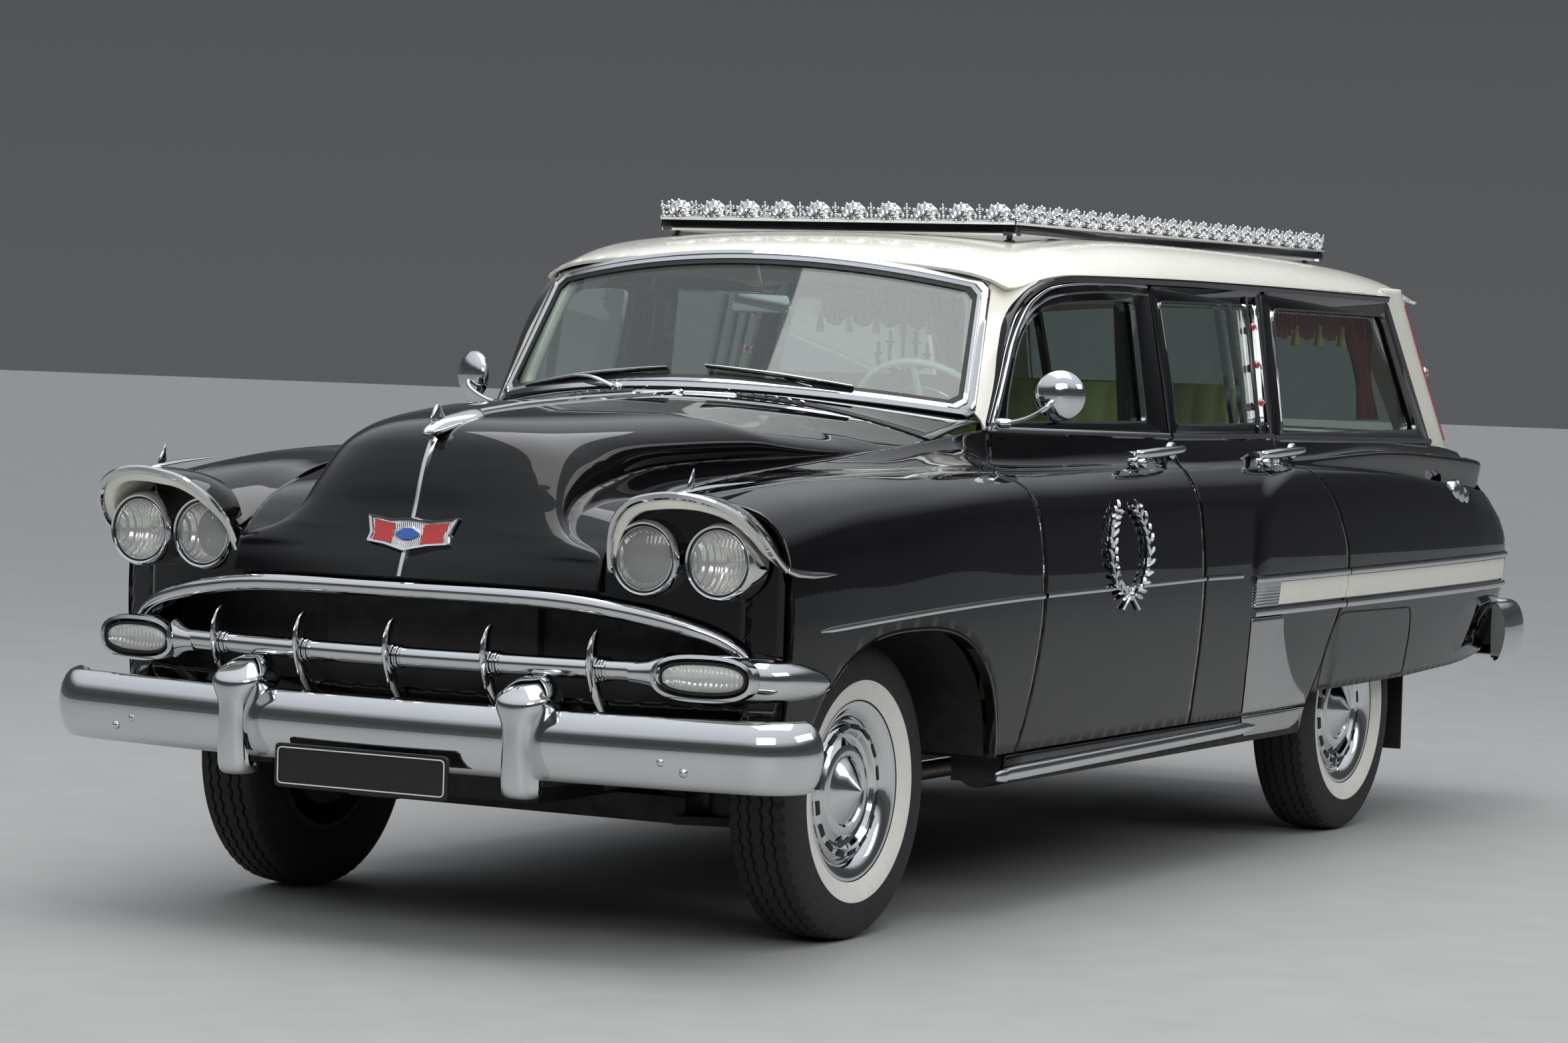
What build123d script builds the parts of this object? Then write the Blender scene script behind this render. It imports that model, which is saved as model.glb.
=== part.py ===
from build123d import *
from math import asin, atan2, cos, hypot, radians, sin
import os

os.makedirs("parts", exist_ok=True)

# A hearse built on a 1950s estate car. Millimetres, front towards -Y, the car's left side towards +X,
# +Z up. The origin lies on the ground, midway along and across the car.

# Wheels and axles
WHEELBASE = 2921
FRONT_AXLE_Y = -1655
REAR_AXLE_Y = FRONT_AXLE_Y + WHEELBASE
FRONT_HALF_TRACK = 720
REAR_HALF_TRACK = 744
TYRE_RADIUS = 340
KINGPIN_X = 632
KNUCKLE_DRUM_RADIUS = 140
FIT_GAP = 0.3

# Body
SKIN = 22
DOOR_WALL = 62
FRAME_WALL = 40
ROOF_WALL = 34
SHUT_GAP = 7
SHUT_SLANT = 0.25
FLOOR_Z = 392
ROOF_REAR_Y = 1975
TAIL_Y = 2205
TAILGATE_TOP_Z = 1042
TAILGATE_BOTTOM_Z = 640

# Front and rear ends
BUMPER_HEIGHT = 158
BUMPER_DEPTH = 58
BUMPER_Z = 470
BUMPER_FRONT_Y = -2430
BUMPER_REAR_Y = 2440
GUARD_X = 369
LAMP_RADIUS = 85
LAMP_Z = 878

# The side of the body, front to back. Each row is one station: its place along the car, then the sill, lower
# side, widest line, upper side, inner crest, crest, valley, shelf and belt as (x, z).
SIDE_STATIONS = (
    (-2255, (866, 520), (878, 640), (880, 768), (866, 890), (816, 968), (700, 1010), (590, 1000), (535, 960),
     (505, 900)),
    (-1755, (896, 430), (910, 600), (914, 768), (902, 910), (860, 1005), (770, 1046), (660, 1052),
     (600, 1050), (556, 1052)),
    (-1420, (905, 395), (921, 600), (926, 768), (916, 925), (882, 1010), (810, 1056), (730, 1056),
     (672, 1062), (630, 1084)),
    (-1055, (906, 395), (925, 600), (932, 768), (920, 930), (894, 1010), (852, 1052), (822, 1062),
     (808, 1090), (804, 1135)),
    (-35, (908, 395), (930, 600), (938, 768), (924, 930), (905, 995), (876, 1042), (852, 1066), (836, 1100),
     (824, 1135)),
    (700, (905, 395), (930, 600), (938, 768), (924, 930), (903, 995), (872, 1042), (850, 1064), (836, 1100),
     (824, 1135)),
    (1700, (895, 420), (918, 600), (925, 768), (912, 920), (888, 985), (856, 1030), (830, 1052), (812, 1070),
     (800, 1100)),
    (2215, (862, 470), (882, 600), (890, 768), (880, 900), (850, 962), (818, 1000), (800, 1024), (790, 1042),
     (782, 1062)),
)
LEAN_TOP_Z = 1517
LEAN_TOP_X = 752
LEAN_REAR_X = 738


def side_points(y):
    """The station outline at any place along the car, straight between the table's rows."""
    rows = SIDE_STATIONS
    low = rows[0]
    high = rows[1]
    for front, back in zip(rows, rows[1:]):
        if front[0] <= y:
            low, high = front, back
    t = (y - low[0]) / (high[0] - low[0])
    return [(a[0] + (b[0] - a[0]) * t, a[1] + (b[1] - a[1]) * t) for a, b in zip(low[1:], high[1:])]


def lean_point(y):
    """The head of a side window, where the glass plane meets the drip rail."""
    t = max(0, (y - 700) / (ROOF_REAR_Y - 700))
    return (LEAN_TOP_X + (LEAN_REAR_X - LEAN_TOP_X) * t, LEAN_TOP_Z)


def inward(points, walls):
    """The same run of points, moved to the inner side of a wall."""
    moved = []
    for i, (x, z) in enumerate(points):
        before = points[max(i - 1, 0)]
        after = points[min(i + 1, len(points) - 1)]
        dx, dz = after[0] - before[0], after[1] - before[1]
        length = hypot(dx, dz)
        moved.append((x - dz / length * walls[i], z + dx / length * walls[i]))
    return moved


def skin_section(y, points, walls, arcs):
    """A closed section of a curved wall across the car at y: arcs counts the leading arcs."""
    inner = inward(points, walls)
    with BuildSketch(Plane.XZ.offset(-y)) as section:
        with BuildLine():
            for run in (points, inner):
                for i in range(arcs):
                    ThreePointArc(run[2 * i], run[2 * i + 1], run[2 * i + 2])
                for a, b in zip(run[2 * arcs:], run[2 * arcs + 1:]):
                    Line(a, b)
            Line(points[0], inner[0])
            Line(points[-1], inner[-1])
        make_face()
    return section.sketch


def skin_x(y, z):
    """How far out the body's skin lies at a place in side view."""
    points = side_points(y) + [lean_point(y)]
    for low, high in zip(points, points[1:]):
        if z <= high[1]:
            t = max(0, min(1, (z - low[1]) / (high[1] - low[1])))
            return low[0] + (high[0] - low[0]) * t
    return points[-1][0]


def divided(outline, step=130):
    """The outline with its long runs divided, so that it can follow the body's curve."""
    points = []
    for (y, z), (next_y, next_z) in zip(outline, outline[1:] + outline[:1]):
        count = max(1, round(abs(next_z - z) / step))
        points += [(y + (next_y - y) * i / count, z + (next_z - z) * i / count) for i in range(count)]
    return points


def slant_prism(outline, grow=0, slant=SHUT_SLANT):
    """A side view outline, true at the skin, run inwards and drifting forward as the shut faces do."""
    start_x = 1060
    if slant:
        outline = [(y + slant * (start_x - skin_x(y, z)), z) for y, z in divided(outline)]
    with BuildPart() as prism:
        with BuildSketch(Plane.YZ.offset(start_x)):
            with BuildLine():
                Polyline(*outline, close=True)
            make_face()
            if grow:
                offset(amount=grow, kind=Kind.INTERSECTION)
        extrude(amount=600, dir=(-1, -slant, 0))
    return prism.part


def save(piece, name):
    piece.label = name
    export_step(piece, f"parts/{name}.step")
    print(name, round(piece.volume / 1e6, 2))


def both_sides(left, name):
    with BuildPart() as right:
        mirror(left, about=Plane.YZ)
    save(left, f"{name}_left")
    save(right.part, f"{name}_right")


# Side view outlines of the doors and openings, as (y, z)
FRONT_DOOR = ((-1076, 388), (-1046, 447), (-1001, 618), (-985, 763), (-990, 930), (-1012, 1010),
              (-1040, 1046), (-1100, 1060), (-1049, 1173), (-963, 1265), (-888, 1354), (-811, 1422),
              (-724, 1469), (-610, 1500), (-479, 1513), (-35, 1516), (-55, 1060), (-55, 388))
FRONT_GLASS = ((-930, 1176), (-880, 1262), (-800, 1362), (-730, 1420), (-660, 1448), (-560, 1462),
               (-120, 1466), (-130, 1176))
REAR_DOOR = ((-55 + SHUT_GAP, 398), (-55 + SHUT_GAP, 1060), (-35 + SHUT_GAP, 1516), (700, 1516),
             (640, 1140), (700, 1075), (820, 1010), (880, 900), (905, 760), (890, 660), (820, 540),
             (765, 430), (745, 398))
REAR_GLASS = ((50, 1168), (55, 1468), (590, 1468), (560, 1168))
QUARTER = ((600, 1516), (1640, 1508), (1955, 1064), (1960, 1056), (2215, 1056), (2215, 330), (775, 330),
           (775, 398), (800, 700), (600, 900))
QUARTER_GLASS = ((830, 1170), (800, 1464), (1640, 1452), (1850, 1150))
D_PILLAR_FOOT_Z = 1056 + FIT_GAP
D_PILLAR = ((1648, 1540), (1966, D_PILLAR_FOOT_Z), (2134, D_PILLAR_FOOT_Z), (1850, 1560), (1800, 1580))


def side_shell(stations, foot, head, arcs):
    """A loft of wall sections through some stations, from the sill or crest up to a given point."""
    with BuildPart() as shell:
        for y in stations:
            points = side_points(y)[foot:head]
            walls = [DOOR_WALL] * len(points)
            if head is None:
                points = points + [lean_point(y)]
                walls = walls + [FRAME_WALL]
                walls[-2] = FRAME_WALL + 8
            add(skin_section(y, points, walls, arcs))
        loft()
    return shell.part


def pane(outline, y_mid, wall=6):
    """A flat side glass that follows the lean of the side windows."""
    belt = side_points(y_mid)[-1]
    top = lean_point(y_mid)
    lean = atan2(belt[0] - top[0], top[1] - belt[1])
    inset = 16
    plane = Plane(origin=(belt[0] - inset, 0, belt[1]), x_dir=(0, 1, 0), z_dir=(cos(lean), 0, sin(lean)))
    with BuildPart() as glass:
        with BuildSketch(plane):
            with BuildLine():
                Polyline(*[(y, (z - belt[1]) / cos(lean)) for y, z in outline], close=True)
            make_face()
            offset(amount=-FIT_GAP, kind=Kind.INTERSECTION)
        extrude(amount=wall / cos(lean), dir=(-1, 0, 0))
    return glass.part


# The bulge over the rear wheel and the fin above it, as (y, top, outer x) and (y, top, foot, outer x)
HAUNCH_STATIONS = ((255, 1040, 944), (800, 1034, 946), (1500, 992, 936), (2000, 940, 912), (2208, 890, 884))
HAUNCH_FRONT = ((272, 640), (272, 793), (329, 914), (436, 1000), (618, 1046), (2208, 1046), (2208, 640))
FIN_STATIONS = ((560, 1056, 1046, 858), (1000, 1074, 1012, 872), (1500, 1066, 990, 872),
                (2215, 1030, 972, 858))


def haunch():
    with BuildPart() as bulge:
        for y, top, out in HAUNCH_STATIONS:
            with BuildSketch(Plane.XZ.offset(-y)):
                with BuildLine():
                    Line((out - 100, top), (out - 62, top))
                    ThreePointArc((out - 62, top), (out - 20, top - 24), (out - 4, top - 80))
                    ThreePointArc((out - 4, top - 80), (out, 800), (out - 12, 690))
                    Line((out - 12, 690), (out - 40, 690))
                    Line((out - 40, 690), (out - 100, top))
                make_face()
        loft()
        with BuildSketch(Plane.YZ.offset(1060)):
            with BuildLine():
                Polyline(*HAUNCH_FRONT, close=True)
            make_face()
        extrude(amount=-400, mode=Mode.INTERSECT)
    return bulge.part


def fin():
    with BuildPart() as blade:
        for y, top, foot, out in FIN_STATIONS:
            with BuildSketch(Plane.XZ.offset(-y)):
                with BuildLine():
                    Line((780, top - 6), (out - 26, top))
                    ThreePointArc((out - 26, top), (out - 2, (top + foot) / 2), (out - 10, foot))
                    Line((out - 10, foot), (780, foot))
                    Line((780, foot), (780, top - 6))
                make_face()
        loft()
    return blade.part


def cut_window(outline):
    with BuildPart() as cutter:
        with BuildSketch(Plane.YZ.offset(1060)):
            with BuildLine():
                Polyline(*outline, close=True)
            make_face()
        extrude(amount=-500)
    return cutter.part


def panel_between(stations, outline, holes, extras, neighbour=None):
    with BuildPart() as panel:
        add(side_shell(stations, 0, None, 4))
        for extra in extras:
            add(extra)
        add(slant_prism(outline), mode=Mode.INTERSECT)
        if neighbour:
            add(slant_prism(neighbour, grow=SHUT_GAP), mode=Mode.SUBTRACT)
        for hole in holes:
            add(cut_window(hole), mode=Mode.SUBTRACT)
    return panel.part


haunch_solid = haunch()
fin_solid = fin()
front_door = panel_between((-1130, -600, -20), FRONT_DOOR, [FRONT_GLASS], [])
rear_door = panel_between((-90, 500, 960), REAR_DOOR, [REAR_GLASS], [haunch_solid, fin_solid])
both_sides(front_door, "door_front")
both_sides(rear_door, "door_rear")
both_sides(pane(FRONT_GLASS, -500), "door_glass_front")
both_sides(pane(REAR_GLASS, 300), "door_glass_rear")

# Rear quarters with their skirts
SKIRT = ((800, 330), (830, 480), (900, 640), (985, 668), (1440, 668), (1485, 630), (1490, 480), (1480, 330))
SKIRT_FOOT_Z = 430
SKIRT_INSET = 5

with BuildPart() as tail_corner:
    with BuildSketch(Plane.XY.offset(455)):
        with BuildLine():
            ThreePointArc((884, 2140), (858, 2212), (698, 2246))
            Line((698, 2246), (698, 2200))
            ThreePointArc((698, 2200), (820, 2168), (836, 2130))
            Line((836, 2130), (884, 2140))
        make_face()
    extrude(amount=505)

with BuildPart() as quarter:
    add(panel_between((690, 1400, TAIL_Y), QUARTER, [QUARTER_GLASS, SKIRT], [haunch_solid, fin_solid],
                      REAR_DOOR))
    add(tail_corner.part)
    with BuildSketch(Plane.YZ.offset(560)):
        with Locations((REAR_AXLE_Y, TYRE_RADIUS)):
            Circle(TYRE_RADIUS + 60)
    extrude(amount=300, mode=Mode.SUBTRACT)
both_sides(quarter.part, "quarter")
both_sides(pane(QUARTER_GLASS, 1300), "quarter_glass")

with BuildPart() as skirt:
    add(side_shell((760, 1200, 1560), 0, 3, 1))
    with BuildSketch(Plane.YZ.offset(1060)):
        with BuildLine():
            Polyline(*SKIRT, close=True)
        make_face()
        offset(amount=-SKIRT_INSET, kind=Kind.INTERSECTION)
    extrude(amount=-500, mode=Mode.INTERSECT)
    with BuildSketch(Plane.XY.offset(SKIRT_FOOT_Z)):
        Rectangle(2400, 6000)
    extrude(amount=-200, mode=Mode.SUBTRACT)
with BuildPart() as fender_skirts:
    add(skirt.part)
    mirror(skirt.part, about=Plane.YZ)
save(fender_skirts.part, "fender_skirts")

# Roof: (y, centre z, shoulder x, shoulder z, edge x, edge z)
ROOF_STATIONS = (
    (-830, 1552, 560, 1510, 690, 1440), (-480, 1634, 590, 1606, 744, 1530), (100, 1656, 600, 1634, 748, 1534),
    (900, 1650, 600, 1626, 746, 1530), (1650, 1618, 590, 1596, 738, 1520), (1960, 1594, 560, 1578, 716, 1512),
)


def roof_section(y, top, shoulder_x, shoulder_z, edge_x, edge_z, wall):
    with BuildSketch(Plane.XZ.offset(-y)) as section:
        with BuildLine():
            rows = []
            for drop in (0, wall):
                edge = edge_x - drop
                rows.append(((edge, edge_z), (shoulder_x - drop * 0.5, shoulder_z - drop * 0.9),
                             (0, top - drop)))
            for edge, shoulder, crown in rows:
                bulge = ((edge[0] + shoulder[0]) / 2 + 22, (edge[1] + shoulder[1]) / 2 + 18)
                crest = (shoulder[0] / 2, crown[1] - (crown[1] - shoulder[1]) * 0.22)
                ThreePointArc(edge, bulge, shoulder)
                ThreePointArc(shoulder, crest, crown)
                ThreePointArc(crown, (-crest[0], crest[1]), (-shoulder[0], shoulder[1]))
                ThreePointArc((-shoulder[0], shoulder[1]), (-bulge[0], bulge[1]), (-edge[0], edge[1]))
            for side in (1, -1):
                Line((side * rows[0][0][0], rows[0][0][1]), (side * rows[1][0][0], rows[1][0][1]))
        make_face()
    return section.sketch


# Windscreen: its bottom and top edges, each a corner and a centre point
SCREEN_LOW = ((664, -877, 1189), (0, -1090, 1237))
SCREEN_HIGH = ((613, -706, 1494), (0, -790, 1559))


def curved_band(low, high, low_t, high_t, grow, front, back):
    """A loft up a curved window from its bottom to its top edge, thick from front to back."""
    with BuildPart() as band:
        for t in (low_t, high_t):
            corner = [a + (b - a) * t for a, b in zip(low[0], high[0])]
            centre = [a + (b - a) * t for a, b in zip(low[1], high[1])]
            wide = (corner[0] + grow) / corner[0]
            back_y = centre[1] + (corner[1] - centre[1]) * wide ** 2
            back_z = centre[2] + (corner[2] - centre[2]) * wide ** 2
            length = hypot(back_y - centre[1], back_z - centre[2])
            step = ((back_y - centre[1]) / length, (back_z - centre[2]) / length)
            runs = []
            for depth in (front, back):
                end = (corner[0] + grow, back_y + step[0] * depth, back_z + step[1] * depth)
                mid = (0, centre[1] + step[0] * depth, centre[2] + step[1] * depth)
                runs.append((end, mid, (-end[0], end[1], end[2])))
            edges = [Edge.make_three_point_arc(*run) for run in runs]
            edges += [Edge.make_line(runs[0][i], runs[1][i]) for i in (0, 2)]
            add(Face(Wire(edges)))
        loft()
    return band.part


screen_opening = curved_band(SCREEN_LOW, SCREEN_HIGH, 0, 1, 0, -90, 150)
FRAME_LOW_T = -0.02
FRAME_HIGH_T = 1.04
FRAME_GROW = 74
FRAME_DEPTH = 34
screen_frame = curved_band(SCREEN_LOW, SCREEN_HIGH, FRAME_LOW_T, FRAME_HIGH_T, FRAME_GROW, -10, FRAME_DEPTH)
SCREEN_SILL_T = -0.07
screen_sill = curved_band(SCREEN_LOW, SCREEN_HIGH, SCREEN_SILL_T, 0, 50, 0, FRAME_DEPTH)
screen_front = curved_band(SCREEN_LOW, SCREEN_HIGH, FRAME_LOW_T, FRAME_HIGH_T + 0.002, FRAME_GROW + FIT_GAP,
                           -700, FRAME_DEPTH + FIT_GAP)

with BuildPart() as windshield:
    add(curved_band(SCREEN_LOW, SCREEN_HIGH, 0.004, 0.996, -1, 4, 10))
save(windshield.part, "windshield")

# Hinge bosses: short blocks on a fixed post that reach the inner face of the door they carry
HINGE_Z = (560, 900)
BOSS_HEIGHT = 40
BOSS_OUT_X = 880


def hinge_bosses(y_span, from_x, carried):
    """Blocks from a post out to the door, cut back to a fit gap from it."""
    with BuildPart(mode=Mode.PRIVATE) as bosses:
        for z in HINGE_Z:
            with Locations(((from_x + BOSS_OUT_X) / 2, sum(y_span) / 2, z)):
                Box(BOSS_OUT_X - from_x, y_span[1] - y_span[0], BOSS_HEIGHT)
        add(carried.moved(Location((-FIT_GAP, -FIT_GAP, 0))), mode=Mode.SUBTRACT)
    kept = [s for s in bosses.part.solids() if s.bounding_box().min.X < from_x + 1]
    add(kept)


# Middle and rear roof pillars, as (z, inner x, outer x)
B_PILLAR_Y = -55
B_PILLAR_WIDTH = 80
B_PILLAR = ((FLOOR_Z + FIT_GAP, 770, 826), (900, 770, 826), (1120, 704, 752), (1590, 636, 674))

with BuildPart() as b_pillars:
    for (z, inner, outer), (z_up, inner_up, outer_up) in zip(B_PILLAR, B_PILLAR[1:]):
        for height, x_in, x_out in ((z, inner, outer), (z_up, inner_up, outer_up)):
            with BuildSketch(Plane.XY.offset(height)):
                with Locations(((x_in + x_out) / 2, B_PILLAR_Y)):
                    Rectangle(x_out - x_in, B_PILLAR_WIDTH)
        loft(ruled=True)
    hinge_bosses((-42, -16), 815, rear_door)
    mirror(about=Plane.YZ)

with BuildPart() as d_pillars:
    add(side_shell((1500, 2300), 7, None, 0))
    add(slant_prism(D_PILLAR, slant=0), mode=Mode.INTERSECT)
    mirror(about=Plane.YZ)

with BuildPart() as roof:
    for row in ROOF_STATIONS:
        add(roof_section(*row, ROOF_WALL))
    loft()
    add(b_pillars.part)
    add(d_pillars.part)
    add(screen_front, mode=Mode.SUBTRACT)
    for x in (-300, 300):
        with Locations((x, 1916, 1555)):
            Box(60, 22, 34)
save(roof.part, "roof")

# Scuttle: the windscreen frame, the panel under it, the door posts and the bulkhead
HOOD_REAR_Y = -1119
BULKHEAD_Y = -1112
BULKHEAD_WALL = 10
BULKHEAD_TOP_Z = 1140
BULKHEAD_HALF_WIDTH = 700
SCUTTLE_X = 718
SCUTTLE = ((BULKHEAD_Y, 1218, 520, 1172, SCUTTLE_X, 1136), (-960, 1236, 520, 1204, SCUTTLE_X, 1146),
           (-850, 1222, 520, 1206, SCUTTLE_X, 1150))
SCUTTLE_WALL = 30
DOOR_POST_DEPTH = 46


def crown_section(y, top, shoulder_x, shoulder_z, edge_x, edge_z, foot_z=None):
    """A closed crown across the car: edge to edge over a centre, closed flat or down to a foot."""
    with BuildSketch(Plane.XZ.offset(-y)) as section:
        with BuildLine():
            side_mid = ((edge_x + shoulder_x) / 2, (edge_z + shoulder_z) / 2 + (shoulder_z - edge_z) * 0.14)
            top_mid = (shoulder_x / 2, top - (top - shoulder_z) * 0.26)
            ThreePointArc((edge_x, edge_z), side_mid, (shoulder_x, shoulder_z))
            ThreePointArc((shoulder_x, shoulder_z), top_mid, (0, top))
            ThreePointArc((0, top), (-top_mid[0], top_mid[1]), (-shoulder_x, shoulder_z))
            ThreePointArc((-shoulder_x, shoulder_z), (-side_mid[0], side_mid[1]), (-edge_x, edge_z))
            if foot_z is None:
                Line((-edge_x, edge_z), (edge_x, edge_z))
            else:
                Polyline((-edge_x, edge_z), (-edge_x, foot_z), (edge_x, foot_z), (edge_x, edge_z))
        make_face()
    return section.sketch


with BuildPart() as scuttle_top:
    for row in SCUTTLE:
        add(crown_section(*row))
    loft()
with BuildPart() as scuttle_hollow:
    for y, top, shoulder_x, shoulder_z, edge_x, edge_z in SCUTTLE:
        drop = SCUTTLE_WALL
        add(crown_section(y, top - drop, shoulder_x - 20, shoulder_z - drop, edge_x - 40, edge_z - drop, 900))
    loft()

with BuildPart() as cowl:
    add(screen_frame)
    add(screen_sill)
    add(scuttle_top.part)
    add(scuttle_hollow.part, mode=Mode.SUBTRACT)
    add(screen_opening, mode=Mode.SUBTRACT)
    bulkhead_foot = FLOOR_Z + FIT_GAP
    with Locations((0, BULKHEAD_Y + BULKHEAD_WALL / 2, (BULKHEAD_TOP_Z + bulkhead_foot) / 2)):
        Box(2 * BULKHEAD_HALF_WIDTH, BULKHEAD_WALL, BULKHEAD_TOP_Z - bulkhead_foot)
    for side in (1, -1):
        with Locations((side * 750, BULKHEAD_Y + DOOR_POST_DEPTH / 2, 740)):
            Box(120, DOOR_POST_DEPTH, 520)
    with BuildPart(mode=Mode.PRIVATE) as door_bosses:
        hinge_bosses((-1090, -985), 790, front_door)
        mirror(about=Plane.YZ)
    add(door_bosses.part)
    for x in (-500, 500):
        with Locations((x, (BULKHEAD_Y + HOOD_REAR_Y) / 2 + 2, 1162)):
            Box(60, BULKHEAD_Y - HOOD_REAR_Y - FIT_GAP + 4, 40)
save(cowl.part, "cowl")

# Bonnet, as crown sections: (y, top, shoulder x, shoulder z, edge x, edge z)
HOOD_STATIONS = (
    (-2338, 866, 250, 850, 470, 812), (-2300, 985, 280, 935, 484, 850), (-2213, 1112, 320, 1050, 496, 915),
    (-2050, 1162, 350, 1100, 514, 985), (-1700, 1186, 400, 1125, 546, 1046),
    (-1420, 1199, 450, 1140, 618, 1080), (HOOD_REAR_Y, 1217, 560, 1172, 786, 1126),
)
HOOD_WALL = 24
HOOD_FRONT_WALL = 30
with BuildPart() as hood_hollow:
    for y, top, shoulder_x, shoulder_z, edge_x, edge_z in HOOD_STATIONS:
        drop = HOOD_WALL
        back = HOOD_FRONT_WALL if y < HOOD_STATIONS[-1][0] else 5
        add(crown_section(y + back, top - drop, shoulder_x - 20, shoulder_z - drop, edge_x - drop,
                          edge_z - drop, 700))
    loft()
with BuildPart() as hood:
    for row in HOOD_STATIONS:
        add(crown_section(*row))
    loft()
    add(hood_hollow.part, mode=Mode.SUBTRACT)
save(hood.part, "hood")

# Front wings, cut round the doors, the wheels and the nose
ARCH = ((-2060, 300), (-2040, 560), (-1940, 668), (-1780, 712), (-1600, 716), (-1420, 668), (-1290, 560),
        (-1215, 430), (-1170, 300))
NOSE_WALL = 20
NOSE_SIDE = (872, -2160)
NOSE_CENTRE_Y = -2318


def nose_arc(depth):
    side_y = NOSE_SIDE[1] + depth
    return ((-NOSE_SIDE[0], side_y), (0, NOSE_CENTRE_Y + depth), (NOSE_SIDE[0], side_y))


with BuildPart() as nose_front:
    with BuildSketch(Plane.XY.offset(200)):
        with BuildLine():
            back = nose_arc(NOSE_WALL + FIT_GAP)
            ThreePointArc(*back)
            Polyline(back[2], (1000, back[2][1]), (1000, -2600), (-1000, -2600), (-1000, back[0][1]), back[0])
        make_face()
    extrude(amount=1000)

APRON_X = 399 + FIT_GAP
APRON_FOOT_Z = 340
APRON_Y = (-2140, -1755, -1420, -1125)
with BuildPart() as fender:
    for y in (-2255, -1755, -1420, -1055, -900):
        points = side_points(y)
        if y > -1055:
            points = points[:-3] + [(818, 1060), (812, 1080), (806, 1105)]
        add(skin_section(y, points, [SKIN] * len(points), 4))
    loft()
    add(nose_front.part, mode=Mode.SUBTRACT)
    add(slant_prism(FRONT_DOOR, grow=SHUT_GAP), mode=Mode.SUBTRACT)
    add(cut_window(ARCH), mode=Mode.SUBTRACT)
    with BuildSketch(Plane.YZ.offset(1060)):
        with BuildLine():
            Polyline((-1100, 1052), (-1100, 1300), (-800, 1300), (-800, 300), (-960, 300), (-960, 1052),
                     close=True)
        make_face()
    extrude(amount=-600, mode=Mode.SUBTRACT)
    for low, high in zip(APRON_Y, APRON_Y[1:]):
        for y in (low, high):
            belt_x, belt_z = side_points(y)[-1]
            with BuildSketch(Plane.XZ.offset(-y)):
                with BuildLine():
                    Polyline((APRON_X, APRON_FOOT_Z), (APRON_X, 470), (belt_x + 4, belt_z - 14),
                             (belt_x + 18, belt_z - 20), (APRON_X + 12, 466), (APRON_X + 12, APRON_FOOT_Z),
                             close=True)
                make_face()
        loft(ruled=True)
    with Locations((APRON_X, FRONT_AXLE_Y, 400)):
        Box(80, 300, 200, mode=Mode.SUBTRACT)
both_sides(fender.part, "fender")

def nose_y(x):
    """How far forward the nose panel lies at a distance from the middle."""
    sweep = NOSE_SIDE[1] - NOSE_CENTRE_Y
    radius = (NOSE_SIDE[0] ** 2 + sweep ** 2) / (2 * sweep)
    return NOSE_CENTRE_Y + radius - (radius ** 2 - x ** 2) ** 0.5


# Nose panel with the grille mouth and lamp holes
LAMP_RIM = 14
LENS_RADIUS = 73
LAMPS = ((769, -2262), (587, -2267))
MOUTH = ((-780, 572), (-770, 690), (-540, 758), (0, 792), (540, 758), (770, 690), (780, 572))
with BuildPart() as nose_panel:
    with BuildSketch(Plane.XY.offset(478)):
        with BuildLine():
            front = nose_arc(0)
            rear = nose_arc(NOSE_WALL)
            ThreePointArc(*front)
            ThreePointArc(*rear)
            Line(front[0], rear[0])
            Line(front[2], rear[2])
        make_face()
    extrude(amount=530)
    with BuildSketch(Plane.XZ.offset(2100)):
        with BuildLine():
            Polyline((-868, 478), (-872, 768), (-862, 890), (-812, 962), (-700, 1000), (-560, 985),
                     (-512, 900), (-484, 804), (484, 804), (512, 900), (560, 985), (700, 1000),
                     (812, 962), (862, 890), (872, 768), (868, 478), close=True)
        make_face()
        with BuildLine():
            Polyline(*MOUTH, close=True)
        make_face(mode=Mode.SUBTRACT)
        with Locations(*[(side * x, LAMP_Z) for x, y in LAMPS for side in (1, -1)]):
            Circle(LAMP_RADIUS - LAMP_RIM + FIT_GAP, mode=Mode.SUBTRACT)
    extrude(amount=400, mode=Mode.INTERSECT)
save(nose_panel.part, "nose_panel")

LENS_RISE = 12


def dome_middle(edge_radius, rise):
    """Half way along the profile of a ball-shaped dome: how far behind its crown, and from its axis."""
    ball = (edge_radius ** 2 + rise ** 2) / (2 * rise)
    half = asin(edge_radius / ball) / 2
    return ball * (1 - cos(half)), ball * sin(half)


# Four round lamps: a bowl through the nose, a rim and a domed lens
with BuildPart() as front_lamps:
    for x, y in LAMPS:
        with BuildSketch(Plane.YZ.offset(x)):
            with BuildLine():
                bowl = LAMP_Z + LAMP_RADIUS - LAMP_RIM
                seat = nose_y(x - LAMP_RADIUS) - FIT_GAP
                back = seat + NOSE_WALL
                Polyline((back, LAMP_Z), (back, bowl), (seat, bowl), (seat, LAMP_Z + LAMP_RADIUS),
                         (y - 12, LAMP_Z + LAMP_RADIUS - 2), (y - 16, LAMP_Z + LENS_RADIUS))
                crown = y - 16 - LENS_RISE
                depth, half_radius = dome_middle(LENS_RADIUS, LENS_RISE)
                ThreePointArc((y - 16, LAMP_Z + LENS_RADIUS), (crown + depth, LAMP_Z + half_radius),
                              (crown, LAMP_Z))
                Line((crown, LAMP_Z), (back, LAMP_Z))
            make_face()
        revolve(axis=Axis((x, y, LAMP_Z), (0, 1, 0)))
    mirror(about=Plane.YZ)
save(front_lamps.part, "front_lamps")

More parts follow.
